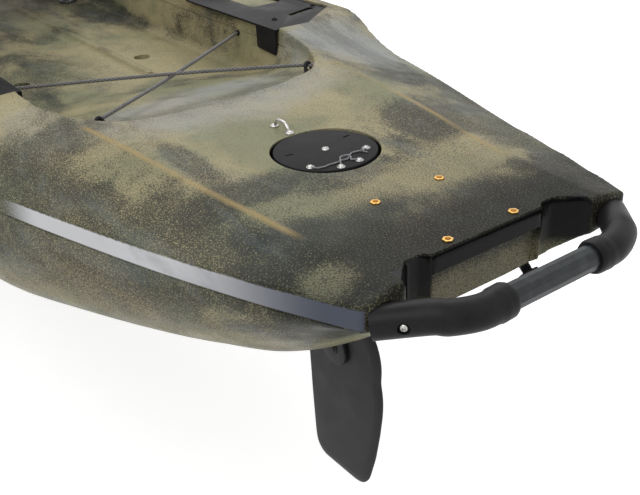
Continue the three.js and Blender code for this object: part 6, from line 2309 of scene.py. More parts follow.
@dataclass
class Steering:
    """The two steering handles, the two pull handles and the lines."""

    def build(self) -> list[Item]:
        """Makes the handles and dresses the lines.

        Returns:
            The pieces.
        """
        made = []
        for side in Side:
            made.append(self.handle(side))
            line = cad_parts[f"steering_line_{side.label}"]
            sharpened(line, 0.9)
            Finish.SLEEVE.on(line)
        for name in ("up", "down"):
            made.append(self.pull(name))
        return made

    def handle(self, side: Side) -> Item:
        """A paddle shaped grip on a shaft, with its collar and sheave.

        Args:
            side: The side that it is on.

        Returns:
            The piece.
        """
        node = f"steering_handle_{side.label}"
        low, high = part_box(node)
        top, y = high.z - 0.046, side.value * STEER_Y
        rows = [(0, low.z), (0.0215, low.z), (0.023, low.z + 0.0012), (0.0205, low.z + 0.005),
                (0.023, low.z + 0.0088), (0.0215, low.z + 0.010), (0.007, low.z + 0.010), (0.007, top),
                (0.0147, top), (0.015, top + 0.0006), (0.015, top + 0.004), (0.0125, top + 0.006),
                (0.0082, top + 0.0068), (0.0072, top + 0.012), (0.0074, top + 0.022), (0.0088, top + 0.034),
                (0, top + 0.034)]
        shaft = turned("shaft", rows, (STEER_X, y, 0), UP, 48)
        rings = []
        for t in np.linspace(-1, 1, 41):
            wide = 0.0079 * (1 - 0.93 * abs(t) ** 5.0) * (1 - 0.12 * math.cos(math.pi * t))
            tall = 0.0098 * (1 - 0.9 * abs(t) ** 6.0)
            lift = high.z - 0.0105 + 0.0006 * math.cos(math.pi * t)
            rings.append([(STEER_X + 0.0475 * t, y + wide * c, lift + tall * s)
                          for c, s in (squared(angle, 0.75) for angle in turns(32))])
        carved(shaft, [lofted("grip", np.array(rings))], "UNION")
        spots = [STEER_X + s * (0.017 + 0.0065 * i) for s in (-1, 1) for i in range(3)]
        grooves = [block("groove", (x - 0.0009, y - 0.02, high.z - 0.0012),
                         (x + 0.0009, y + 0.02, high.z + 0.01), 0) for x in spots]
        grooves.append(rod("screw_well", 0.0042, 0, 0.02, (STEER_X, y, high.z - 0.0042), UP, 32))
        carved(shaft, grooves)
        return settled(crisp(shaft, f"steering_grip_{side.label}"), Finish.SATIN, f"steering_{side.label}",
                       "black_plastic", node)

    def pull(self, name: str) -> Item:
        """A T shaped pull handle with finger hollows.

        Args:
            name: Which of the two, up or down.

        Returns:
            The handle.
        """
        node = f"rudder_{name}_handle"
        low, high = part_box(node)
        x, z = (low.x + high.x) / 2, high.z - 0.0055
        rows = mirrored([(0.0055, 0), (0.0054, 0.003), (0.0047, 0.008), (0.0047, 0.012), (0.0054, 0.018),
                         (0.0051, 0.0217), (0.0036, 0.023), (0, 0.023)])
        grip = turned(f"rudder_{name}_pull", rows, (x, STEER_Y, z), ACROSS, 40)
        stem = turned("stem", [(0, low.z), (0.0018, low.z), (0.0025, low.z + 0.001), (0.0025, z - 0.007),
                               (0.0046, z - 0.0052), (0.0046, z), (0, z)], (x, STEER_Y, 0), UP, 32)
        carved(grip, [stem], "UNION")
        sharpened(grip, 0.7)
        return settled(grip, Finish.RUBBER, f"pull_{name}", "black_plastic", node)


@dataclass
class PedalDrive:
    """The drive in the footwell: housing, drums, masts, fins, cranks, pedals, pulls and locks."""

    crank_x: float = 0.570
    crank_z: float = 0.170
    arm: float = 0.330
    spacing: float = 0.095
    drum_z: float = -0.014

    def build(self) -> list[Item]:
        """Makes every piece of the drive.

        Returns:
            The pieces.
        """
        made = [self.housing(), *self.screws()]
        for name, place in (("fore", self.crank_x + self.spacing), ("aft", self.crank_x - self.spacing)):
            made += [self.drum(name, place), self.mast(name, place), self.fin(name, place)]
        for side in Side:
            made += [self.crank(side), self.pedal(side), self.lock(side)]
        made += [self.shift("ahead", 1), self.shift("astern", -1)]
        return made

    def housing(self) -> Item:
        """The drive's body with its flange, its post and the drum brackets.

        Returns:
            The piece.
        """
        low, top = 0.1203, 0.1283
        body = block("body", (0.376, -0.038, 0.012), (0.734, 0.038, top), 0.004)
        plan = rounded([(0.362, -0.064), (0.748, -0.064), (0.748, 0.064), (0.362, 0.064)], 0.024, 9)
        x, z = self.crank_x, self.crank_z
        post = [(x - 0.084, top - 0.004), (x - 0.034, z + 0.034), (x + 0.034, z + 0.034),
                (x + 0.084, top - 0.004)]
        parts = [prism("flange", plan, low, top, 0.0018),
                 prism("post", rounded(post, 0.016, 7), -0.038, 0.038, 0.004, "y")]
        for place in (x + self.spacing, x - self.spacing):
            for end in (-1, 1):
                inner, outer = sorted((place + end * 0.0134, place + end * 0.0234))
                ear = [(-0.023, 0.0125), (-0.023, self.drum_z),
                       *arc((0, self.drum_z), 0.023, math.pi * 1.02, math.pi * 1.98, 30),
                       (0.023, self.drum_z), (0.023, 0.0125)]
                parts.append(prism("ear", ear, inner, outer, 0.0015, "x"))
        carved(body, parts, "UNION")
        seam = block("seam", (0.3755, -0.0007, top - 0.0006), (0.7345, 0.0007, 0.4), 0)
        cuts = [rod("pin", 0.0064, -0.06, 0.06, (x, 0, z), ACROSS, 40), seam]
        for side in Side:
            s = side.value
            for spot in (-0.046, 0.046):
                panel = [(x + spot - 0.014, top + 0.006), (x + spot * 0.72 - 0.008, z + 0.014),
                         (x + spot * 0.72 + 0.006, z + 0.014), (x + spot + 0.016, top + 0.006)]
                near, far = sorted((s * 0.0366, s * 0.06))
                cuts.append(prism("panel", rounded(panel, 0.006, 6), near, far, 0, "y"))
            cuts.append(rod("pull_bore", 0.0034, 0.05, 0.4, (0.700, s * 0.018, 0), UP, 24))
        for place in (x + self.spacing, x - self.spacing):
            cuts.append(rod("axle", 0.0054, -0.04, 0.04, (place, 0, self.drum_z), ALONG, 32))
        carved(body, cuts)
        return settled(crisp(body, "drive_body"), Finish.HOUSING, "boat", "black_plastic", "drive_housing")

    def screws(self) -> list[Item]:
        """The six screws of the housing's flange.

        Returns:
            The pieces.
        """
        made = []
        for x in (0.384, 0.480, 0.726):
            for side in Side:
                head = cross_screw("flange_screw", (x, side.value * 0.054, 0.1283), UP, 0.0085, True)
                made.append(settled(head, Finish.STEEL, "boat", "steel"))
        return made

    def drum(self, name: str, place: float) -> Item:
        """One chain drum with its teeth and its axle.

        Args:
            name: Which of the two.
            place: Where it lies along the boat.

        Returns:
            The piece.
        """
        r = 0.023
        rows = mirrored([(r, 0), (r - 0.003, 0.0015), (r - 0.003, 0.006), (r, 0.0075), (r, 0.012),
                         (r - 0.001, 0.013), (0.005, 0.013), (0.005, 0.0226), (0.0047, 0.0232), (0, 0.0232)])
        body = turned(f"chain_drum_{name}", rows, (place, 0, self.drum_z), ALONG, 64)
        low = self.drum_z - r - 0.01
        carved(body, [rod("socket", 0.0059, low, self.drum_z - r + 0.0163, (place, 0, 0), UP, 32)])
        sharpened(body, 0.6)
        return settled(body, Finish.STEEL, f"drum_{name}", "steel", f"drive_drum_{name}")

    def mast(self, name: str, place: float) -> Item:
        """One fin mast with a chamfered tip.

        Args:
            name: Which of the two.
            place: Where it lies along the boat.

        Returns:
            The piece.
        """
        node = f"drive_mast_{name}"
        low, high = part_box(node)
        rows = [(0, low.z), (0.004, low.z), (0.0055, low.z + 0.0015), (0.0055, high.z - 0.0008),
                (0.0049, high.z), (0, high.z)]
        pole = turned(f"fin_mast_{name}", rows, (place, 0, 0), UP, 40)
        sharpened(pole, 0.6)
        return settled(pole, Finish.STEEL, f"mast_{name}", "steel", node)

    def fin(self, name: str, place: float) -> Item:
        """One flexible fin: a rounded nose that thins to its trailing edge.

        Args:
            name: Which of the two.
            place: Where it lies along the boat.

        Returns:
            The piece.
        """
        chord = Curve(((0, 0.3), (0.04, 0.66), (0.12, 0.94), (0.25, 1.0), (0.4, 1), (0.75, 0.84),
                       (0.94, 0.62), (0.985, 0.48), (1, 0.4)))
        section = ((0, 0.0), (0.004, 0.32), (0.015, 0.56), (0.04, 0.76), (0.08, 0.85), (0.14, 0.868),
                   (0.2, 0.862), (0.27, 0.74), (0.34, 0.56), (0.42, 0.465), (0.6, 0.385), (0.8, 0.27),
                   (0.95, 0.16), (0.99, 0.12), (1, 0.05))
        rings = []
        for down in (0, 0.006, 0.02, 0.04, 0.08, 0.12, 0.18, 0.25, 0.32, 0.4, 0.5, 0.6, 0.7, 0.78, 0.86,
                     0.92, 0.95, 0.97, 0.985, 0.995, 1):
            size = float(chord(down)) * 0.152
            thick = 0.0085 * (1 - 0.35 * max(0, (down - 0.9) / 0.1) ** 3)
            points = [(place + 0.017 - back * size, t * thick, -0.070 - down * 0.384) for back, t in section]
            rings.append([*points, *[(px, -py, pz) for px, py, pz in points[::-1] if py > 0]])
        fin = lofted(f"fin_{name}", np.array(rings))
        bore = rod("bore", 0.0059, -0.4, 0.02, (place, 0, 0), UP, 32)
        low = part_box(f"drive_mast_{name}")[0].z - 0.0003
        bore.data.transform(Matrix.Translation((0, 0, low + 0.4)))
        carved(fin, [bore])
        sharpened(fin, 0.6)
        return settled(fin, Finish.FIN, f"mast_{name}", "fin", f"drive_fin_{name}")

    def crank(self, side: Side) -> Item:
        """One crank arm with its eyes, pockets, shaft and spindle.

        Args:
            side: The side that it is on.

        Returns:
            The piece.
        """
        s, x, z, top = side.value, self.crank_x, self.crank_z, self.crank_z + self.arm
        y0, y1 = sorted((s * 0.0384, s * 0.0544))
        arm = prism("arm", [(x - 0.021, z), (x - 0.017, top), (x + 0.017, top), (x + 0.021, z)], y0, y1,
                    0.0035, "y")
        across = Vector((0, s, 0))
        big = [(0, 0.0384), (0.0225, 0.0384), (0.024, 0.0399), (0.024, 0.0529), (0.0225, 0.0544),
               (0.0085, 0.0544), (0.0075, 0.0534), (0, 0.0534)]
        small = [(0, 0.0384), (0.0157, 0.0384), (0.017, 0.0397), (0.017, 0.0531), (0.0157, 0.0544),
                 (0, 0.0544)]
        shaft = [(0, 0.0038), (0.006, 0.0038), (0.006, 0.040), (0, 0.040)]
        spindle = [(0, 0.050), (0.0085, 0.050), (0.0085, 0.0585), (0.006, 0.0600), (0.006, 0.157),
                   (0.0052, 0.1584), (0, 0.1584)]
        parts = ((big, z), (small, top), (shaft, z), (spindle, top))
        carved(arm, [turned("part", rows, (x, 0, at), across, 56) for rows, at in parts], "UNION")
        near, far = sorted((s * 0.0516, s * 0.07))
        pocket = rounded([(x - 0.0125, z + 0.040), (x - 0.010, top - 0.092), (x + 0.010, top - 0.092),
                          (x + 0.0125, z + 0.040)], 0.010, 9)
        cuts = [prism("pocket", pocket, near, far, 0, "y")]
        for index in range(4):
            cuts.append(rod("hole", 0.0042, 0.03, 0.07, (x, 0, top - 0.030 - 0.0155 * index), across, 28))
        carved(arm, cuts)
        return settled(crisp(arm, f"crank_arm_{side.label}"), Finish.ALUMINIUM, f"crank_{side.label}",
                       "aluminium", f"drive_crank_{side.label}")

    def pedal(self, side: Side) -> Item:
        """One footplate with a heel lip, grip bars and two windows.

        Args:
            side: The side that it is on.

        Returns:
            The piece.
        """
        s, x, z = side.value, self.crank_x, self.crank_z + self.arm
        y0, y1 = sorted((s * 0.0624, s * 0.1584))
        rows = ((-0.9, -1), (0.8, -1), (1, 0.4), (0.8, 1), (-0.6, 1), (-0.86, 1.7), (-1, 4.6), (-1.06, 4.14),
                (-1.04, 2.4))
        plate = prism("plate", rounded([(x - b * 0.010, z + a * 0.075) for a, b in rows], 0.004, 4), y0, y1,
                      0.0032, "y")
        tools = []
        for lo, hi in ((0.14, 0.44), (0.56, 0.86)):
            near, far = y0 + (y1 - y0) * lo, y0 + (y1 - y0) * hi
            opening = [(near, z - 0.046), (far, z - 0.046), (far, z - 0.018), (near, z - 0.018)]
            tools.append(prism("window", rounded(opening, 0.007, 6), x - 0.02, x + 0.02, 0, "x"))
        tools.append(rod("bore", 0.0064, -0.2, 0.2, (x, 0, z), ACROSS, 40))
        bars = [block("bar", (x - 0.0122, y0 + 0.009, z + level - 0.0022),
                      (x - 0.008, y1 - 0.009, z + level + 0.0022), 0.001)
                for level in (-0.054, -0.010, 0.002, 0.014, 0.026, 0.038, 0.050)]
        carved(plate, bars, "UNION")
        carved(plate, tools)
        return settled(crisp(plate, f"footplate_{side.label}"), Finish.SATIN, f"pedal_{side.label}",
                       "black_plastic", f"drive_pedal_{side.label}")

    def lock(self, side: Side) -> Item:
        """One lock lever that hooks over the drive's flange.

        Args:
            side: The side that it is on.

        Returns:
            The piece.
        """
        s, x, y, z = side.value, LOCK_X, side.value * LOCK_Y, 0.1274
        rows = mirrored([(0.007, 0.0114), (0.0064, 0.012), (0.0025, 0.012), (0.0025, 0.024), (0, 0.024)])
        hub = turned("hub", rows, (x, y, z), ALONG, 40)
        arm = [(y - s * 0.004, z), (y - s * 0.004, 0.1287), (y - s * 0.025, 0.1287), (y - s * 0.026, 0.1297),
               (y - s * 0.026, 0.1357), (y - s * 0.025, 0.1367), (y - s * 0.0065, 0.1367),
               (y - s * 0.004, 0.1395), (y - s * 0.004, z + 0.0235), (y - s * 0.001, z + 0.026),
               (y + s * 0.003, z + 0.026), (y + s * 0.004, z + 0.024), (y + s * 0.004, z)]
        carved(hub, [prism("arm", arm, x - 0.012, x + 0.012, 0.0009, "x")], "UNION")
        return settled(crisp(hub, f"drive_lever_{side.label}"), Finish.SATIN, f"lock_{side.label}",
                       "black_plastic", f"drive_lock_{side.label}")

    def shift(self, name: str, side: int) -> Item:
        """One of the two pulls that turn the fins ahead or astern.

        Args:
            name: Which of the two.
            side: One or minus one, for the side.

        Returns:
            The piece.
        """
        node = f"drive_shift_{name}"
        low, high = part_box(node)
        y, z = side * 0.018, high.z - 0.006
        rows = mirrored([(0.006, 0.003), (0.0051, 0.009), (0.0051, 0.013), (0.006, 0.02), (0.0057, 0.0245),
                         (0.0042, 0.026), (0, 0.026)])
        grip = turned(f"drive_pull_{name}", rows, (0.700, y, z), ALONG, 40)
        stem = [(0, low.z), (0.0022, low.z), (0.003, low.z + 0.001), (0.003, z - 0.009),
                (0.0052, z - 0.0055), (0.0052, z), (0, z)]
        carved(grip, [turned("stem", stem, (0.700, y, 0), UP, 32)], "UNION")
        sharpened(grip, 0.7)
        return settled(grip, Finish.RUBBER, f"shift_{name}", "black_plastic", node)


@dataclass
class Seat:
    """The framed seat: tubes, cushions and the folding back."""

    aft: float = -0.330
    fore: float = 0.110
    half: float = 0.214
    tube: float = 0.0125
    hinge: Place = (-0.306, 0.0, 0.396)
    lean: float = math.radians(-14)

    def level(self, x: float) -> float:
        """Height of the side tubes at a place along the boat."""
        return 0.342 + (x - self.aft) * 0.010 / 0.440

    def build(self) -> list[Item]:
        """Makes the frame, the back and both cushions."""
        return [self.frame(), self.back(), *self.rivets(), *self.seat_pad(), *self.back_pad()]

    def frame(self) -> Item:
        """A bent tube frame on four legs with round feet.

        Returns:
            The piece.
        """
        y, r = self.half, self.tube
        corner = 0.030
        points = []
        for s in (1, -1):
            row = [(self.fore - t, s * y, self.level(self.fore - t)) for t in (0.0, 0.1, 0.25, 0.38)]
            bend = [(self.aft + corner * (1 - math.sin(a)), s * (y - corner * (1 - math.cos(a))),
                     self.level(self.aft)) for a in np.linspace(0.25, math.pi / 2 - 0.25, 4)]
            side = [*row, *bend, (self.aft, s * (y - corner), self.level(self.aft))]
            points += side if s > 0 else side[::-1]
        rail = tube("seat_rails", smooth_route(points, 200), r, 28)
        parts = []
        for x in (-0.210, 0.010):
            parts.append(rod("cross", r * 0.98, -y, y, (x, 0, self.level(x)), ACROSS, 28))
        for s in (1, -1):
            cap = [(0, -0.006), (r * 0.9, -0.006), (r * 1.06, -0.0045), (r * 1.06, 0.0005),
                   (r * 0.8, 0.0025), (0, 0.003)]
            parts.append(turned("cap", cap, (self.fore, s * y, self.level(self.fore)), ALONG, 28))
            for x in (-0.170, 0.060):
                top = self.level(x)
                foot = [(0, 0.2203), (0.022, 0.2203), (0.023, 0.2212), (0.023, 0.2245), (0.0215, 0.2263),
                        (0.0145, 0.2272), (0.0128, 0.2295), (r, 0.236), (r, top), (0, top)]
                parts.append(turned("leg", foot, (x, s * y, 0), UP, 28))
            e0, e1 = sorted((s * 0.1894, s * 0.1984))
            z = self.level(self.hinge[0])
            a, b = self.hinge[0] - 0.0154, self.hinge[0] + 0.0154
            ear = [(a, z), (a, self.hinge[2]), *arc((self.hinge[0], self.hinge[2]), 0.0154, math.pi * 0.95,
                                                    math.pi * 0.05, 16), (b, self.hinge[2]), (b, z)]
            parts.append(prism("ear", ear, e0, e1, 0.001, "y"))
            b0, b1 = sorted((s * 0.1894, s * y))
            parts.append(block("web", (a, b0, z - 0.0075), (b, b1, z + 0.0075), 0.001))
        carved(rail, parts, "UNION")
        carved(rail, [rod("bore", 0.0049, -0.3, 0.3, self.hinge, ACROSS, 28)])
        sharpened(rail, 0.6)
        return settled(rail, Finish.FRAME, "boat", "aluminium", "seat_frame")

    def leaned(self, item: Item) -> Item:
        """Puts a piece made about the hinge in its leaned place."""
        item.data.transform(Matrix.Translation(self.hinge) @ Matrix.Rotation(self.lean, 4, "Y"))
        return item

    def back(self) -> Item:
        """The hoop of the back with its hubs and pins.

        Returns:
            The piece.
        """
        y, top, corner = 0.178, 0.440, 0.060
        half = [(0, y, 0), (0, y, 0.1), (0, y, 0.22), (0, y, 0.33)]
        half += [(0, y - corner + corner * math.cos(a), top - corner + corner * math.sin(a))
                 for a in np.linspace(0, math.pi / 2, 6)]
        route = [*half, (0, 0, top), *[(a, -b, c) for a, b, c in half[::-1]]]
        hoop = tube("seat_back_hoop", smooth_route(route, 220), 0.011, 28)
        parts = []
        for s in (1, -1):
            hub = [(0, 0.167), (0.0133, 0.167), (0.0143, 0.168), (0.0143, 0.188), (0.0133, 0.189),
                   (0.0045, 0.189), (0.0045, 0.1984), (0, 0.1984)]
            parts.append(turned("hub", hub, (0, 0, 0), Vector((0, s, 0)), 36))
            parts.append(turned("ferrule", [(0, -0.004), (0.0116, -0.004), (0.0121, 0), (0.0116, 0.004),
                                            (0, 0.004)], (0, s * y, 0.075), UP, 28))
        carved(hoop, parts, "UNION")
        sharpened(hoop, 0.6)
        self.leaned(hoop)
        return settled(hoop, Finish.FRAME, "seat_back", "aluminium", "seat_back_frame")

    def rivets(self) -> list[Item]:
        """The heads of the hinge pins and of the foot screws.

        Returns:
            The pieces.
        """
        made = []
        for side in Side:
            s = side.value
            head = cross_screw(f"seat_hinge_bolt_{side.label}", (self.hinge[0], s * 0.1986, self.hinge[2]),
                               Vector((0, s, 0)), 0.015, True)
            made.append(settled(head, Finish.STEEL, "boat", "steel"))
            for x in (-0.170, 0.060):
                for end in (-1, 1):
                    screw = cross_screw("seat_foot_screw", (x + end * 0.0172, s * self.half, 0.2256), UP,
                                        0.0062)
                    made.append(settled(screw, Finish.STEEL, "boat", "steel"))
        return made

    def seat_pad(self) -> list[Item]:
        """The seat cushion with its sewn channels and piping.

        Returns:
            The pieces.
        """
        low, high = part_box("seat_cushion")
        size, middle = high - low, (low + high) / 2
        pad = Cushion("seat_pad", (size.x, size.y, size.z), 0.34, 5, 0).build()
        pad[0].data.transform(Matrix.Translation(middle))
        pad[1].data.transform(Matrix.Translation(middle))
        settled(pad[0], Finish.FABRIC, "boat", "fabric", "seat_cushion")
        settled(pad[1], Finish.PIPING, "boat", "fabric")
        return pad

    def back_pad(self) -> list[Item]:
        """The back cushion, held inside the hoop.

        Returns:
            The pieces.
        """
        pad = Cushion("back_pad", (0.356, 0.332, 0.038), 0.36, 5, 1).build()
        turn = Matrix(((0, 0, 1, 0), (0, 1, 0, 0), (-1, 0, 0, 0.244), (0, 0, 0, 1)))
        for item in pad:
            item.data.transform(turn)
            self.leaned(item)
        settled(pad[0], Finish.FABRIC, "seat_back", "fabric", "seat_back_cushion")
        settled(pad[1], Finish.PIPING, "seat_back", "fabric")
        return pad


@dataclass
class Cushion:
    """A crowned pad, swelled by a cloth simulation, with sewn channels and piping.

    Attributes:
        name: The pad's name.
        size: Its length, width and thickness.
        corner: The share of the corner in its outline.
        channels: Number of sewn channels across it.
        seed: Offset of its small folds.
    """

    name: str
    size: Place
    corner: float
    channels: int
    seed: int

    def ring(self, share: float, z: float, steps: int = 140) -> list[Place]:
        """An outline of the pad at a height, drawn in by a share."""
        return oblong(0.0, self.size[0] * share, self.size[1] * share, z, self.corner, steps)

    def build(self) -> list[Item]:
        """Swells, sews and pipes the pad.

        Returns:
            The pad and its piping, about their own middle.
        """
        t = self.size[2]
        rows = [(0.93, -0.42), (0.965, -0.30), (0.975, 0.0), (0.962, 0.24), (0.92, 0.33)]
        pad = lofted(self.name, np.array([self.ring(share, z * t) for share, z in rows]))
        grid = pad.modifiers.new("even skin", "REMESH")
        grid.mode, grid.voxel_size = "VOXEL", 0.0055
        baked(pad)
        self.swell(pad)
        self.sew(pad)
        finer = pad.modifiers.new("finer", "SUBSURF")
        finer.levels = finer.render_levels = 1
        baked(pad)
        sharpened(pad, 1.2)
        hem = self.ring(0.985, 0.21 * t)
        pipe = tube(f"{self.name}_piping", np.array([*hem, hem[0]]), 0.0026, 12)
        return [pad, pipe]

    def swell(self, pad: Item, cap: float = 0.008) -> None:
        """Blows the pad up as a cloth and limits how far it moves.

        Args:
            pad: The remeshed pad.
            cap: The furthest that a point may move.
        """
        scene = bpy.context.scene
        rest = np.array([v.co for v in pad.data.vertices])
        cloth = pad.modifiers.new("swelling", "CLOTH")
        cloth.settings.use_pressure, cloth.settings.uniform_pressure_force = True, 4.0
        cloth.settings.quality = 5
        cloth.settings.effector_weights.gravity = 0.0
        cloth.point_cache.frame_end = 20
        for index in range(1, 21):
            scene.frame_set(index)
        graph = bpy.context.evaluated_depsgraph_get()
        soft = np.array([v.co for v in pad.evaluated_get(graph).data.vertices])
        pad.modifiers.clear()
        scene.frame_set(1)
        moved = soft - rest
        far = np.linalg.norm(moved, axis=1)
        kept = rest + moved * np.minimum(1, cap / np.maximum(far, 1e-9))[:, None]
        half = np.array(self.size) / 2
        kept = np.clip(kept, -half, half)
        pad.data.vertices.foreach_set("co", kept.ravel())

    def sew(self, pad: Item) -> None:
        """Presses the sewn channels and small folds into the pad.

        Args:
            pad: The remeshed pad.
        """
        places = np.array([v.co for v in pad.data.vertices])
        x, y, z = places.T
        length, width, thick = self.size
        spots = (np.arange(self.channels) + 0.5) / self.channels - 0.5
        spots = (spots[:-1] + spots[1:]) / 2
        inside = np.clip(1 - np.maximum(np.abs(x) / (length * 0.47), np.abs(y) / (width * 0.46)) ** 8, 0, 1)
        press = np.zeros_like(x)
        for spot in spots:
            press += np.exp(-(((x - spot * length) / 0.0045) ** 2))
        waves = 0.0009 * np.sin(y * 210 + self.seed + 9 * np.sin(x * 31))
        folds = waves * np.exp(-(((np.abs(y) - width * 0.4) / 0.05) ** 2))
        crown = 0.06 * thick * (1 - (2 * y / width) ** 2)
        upper = z > 0
        z[upper] += (crown - 0.0048 * press - folds * (1 - press))[upper] * inside[upper]
        places[:, 2] = np.clip(z, -thick / 2, thick / 2 + 0.001)
        pad.data.vertices.foreach_set("co", places.ravel())


@dataclass
class Handles:
    """Side rails, bow handle and side carry handles."""

    def build(self) -> list[Item]:
        """Makes all five.

        Returns:
            The pieces.
        """
        made = []
        for side in Side:
            made += [self.rail(side), *self.rail_screws(side), self.carry(side)]
        return [*made, self.bow()]

    def rail(self, side: Side) -> Item:
        """A gear rail on three posts with plugged ends.

        Args:
            side: The side that it is on.

        Returns:
            The piece.
        """
        node = f"side_rail_{side.label}"
        low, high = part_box(node)
        y, z = side.value * RAIL_Y, high.z - 0.015
        rows = [(0, 0.300), (0.0132, 0.300), (0.0147, 0.3015), (0.015, 0.303), (0.015, 0.312),
                (0.0146, 0.3125), (0.0146, 0.3135), (0.015, 0.314)]
        rows += [(r, 1.26 - x) for r, x in rows[::-1]]
        body = turned("rail", rows, (0, y, z), ALONG, 48)
        parts = []
        for x in RAIL_POSTS:
            foot = low.z
            rows = [(0, foot), (0.021, foot), (0.022, foot + 0.001), (0.022, foot + 0.004),
                    (0.0205, foot + 0.0058), (0.0135, foot + 0.0068), (0.0112, foot + 0.010),
                    (0.0105, foot + 0.016), (0.0112, z - 0.014), (0.013, z - 0.006), (0.013, z), (0, z)]
            parts.append(turned("post", rows, (x, y, 0), UP, 40))
        carved(body, parts, "UNION")
        return settled(crisp(body, f"gear_rail_{side.label}"), Finish.TUBE, "boat", "tube", node)

    def rail_screws(self, side: Side) -> list[Item]:
        """The two screws in each rail foot.

        Args:
            side: The side that it is on.

        Returns:
            The pieces.
        """
        made = []
        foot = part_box(f"side_rail_{side.label}")[0].z + 0.0054
        for x in RAIL_POSTS:
            for end in (-1, 1):
                screw = cross_screw(f"rail_screw_{side.label}",
                                    (x + end * 0.0165, side.value * RAIL_Y, foot), UP, 0.006)
                made.append(settled(screw, Finish.STEEL, "boat", "steel"))
        return made

    def bow(self) -> Item:
        """The bow handle: a ribbed rubber arch on two feet.

        Returns:
            The piece.
        """
        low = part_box("bow_handle")[0]
        parts = []
        heights = []
        for x in BOW_FEET:
            z = max(low.z, FORM.crown(x) + 0.0053)
            heights.append(z)
            rows = [(0, z), (0.0142, z), (0.015, z + 0.0008), (0.015, z + 0.004), (0.0135, z + 0.006),
                    (0.0095, z + 0.008), (0, z + 0.008)]
            parts.append(turned("foot", rows, (x, 0, 0), UP, 40))
        (a, b), (low_a, low_b) = BOW_FEET, heights
        run = (b - a) * 0.22
        points = [(a, 0, low_a + 0.005), (a + run * 0.45, 0, low_a + 0.034), (a + run, 0, low_a + 0.046),
                  ((a + b) / 2, 0, (low_a + low_b) / 2 + 0.050), (b - run, 0, low_b + 0.046),
                  (b - run * 0.45, 0, low_b + 0.034), (b, 0, low_b + 0.005)]
        route = smooth_route(points, 220)
        sizes = np.full(len(route), 0.0078)
        steps = np.arange(len(route))
        middle = np.abs(steps / len(route) - 0.5) < 0.27
        sizes[middle] = 0.0085 + 0.0006 * np.cos(steps[middle] * 0.62)
        arch = tube("bow_grip", route, sizes, 32)
        carved(arch, parts, "UNION")
        sharpened(arch, 0.8)
        return settled(arch, Finish.RUBBER, "boat", "rubber", "bow_handle")

    def carry(self, side: Side) -> Item:
        """A side carry handle that swings on two pins.

        Args:
            side: The side that it is on.

        Returns:
            The piece.
        """
        node = f"carry_handle_{side.label}"
        x, y, z, s = CARRY_X, side.value * CARRY_Y, 0.3460154, side.value
        ends = [(x + e * 0.052, y - s * t, z) for e, t in ((-1, -0.007), (-1, 0.012), (-1, 0.030))]
        route = [*ends, (x - 0.046, y - s * 0.0405, z), (x - 0.036, y - s * 0.044, z), (x, y - s * 0.044, z),
                 (x + 0.036, y - s * 0.044, z), (x + 0.046, y - s * 0.0405, z),
                 *[(2 * x - a, b, c) for a, b, c in ends[::-1]]]
        path = smooth_route(route, 200)
        sizes = np.full(len(path), 0.0079)
        steps = np.arange(len(path))
        grip = np.abs(steps / len(path) - 0.5) < 0.26
        sizes[grip] = 0.0097 + 0.0005 * np.cos(steps[grip] * 0.6)
        bar = tube("bar", path, sizes, 32)
        pins = [turned("pin", [(0, 0), (0.008, 0), (0.008, 0.008), (0.004, 0.008), (0.004, 0.022),
                               (0, 0.022)], (x + e * 0.052, y, z), Vector((e, 0, 0)), 32) for e in (-1, 1)]
        carved(bar, pins, "UNION")
        return settled(crisp(bar, f"carry_grip_{side.label}", 0.8), Finish.RUBBER, f"carry_{side.label}",
                       "rubber", node)


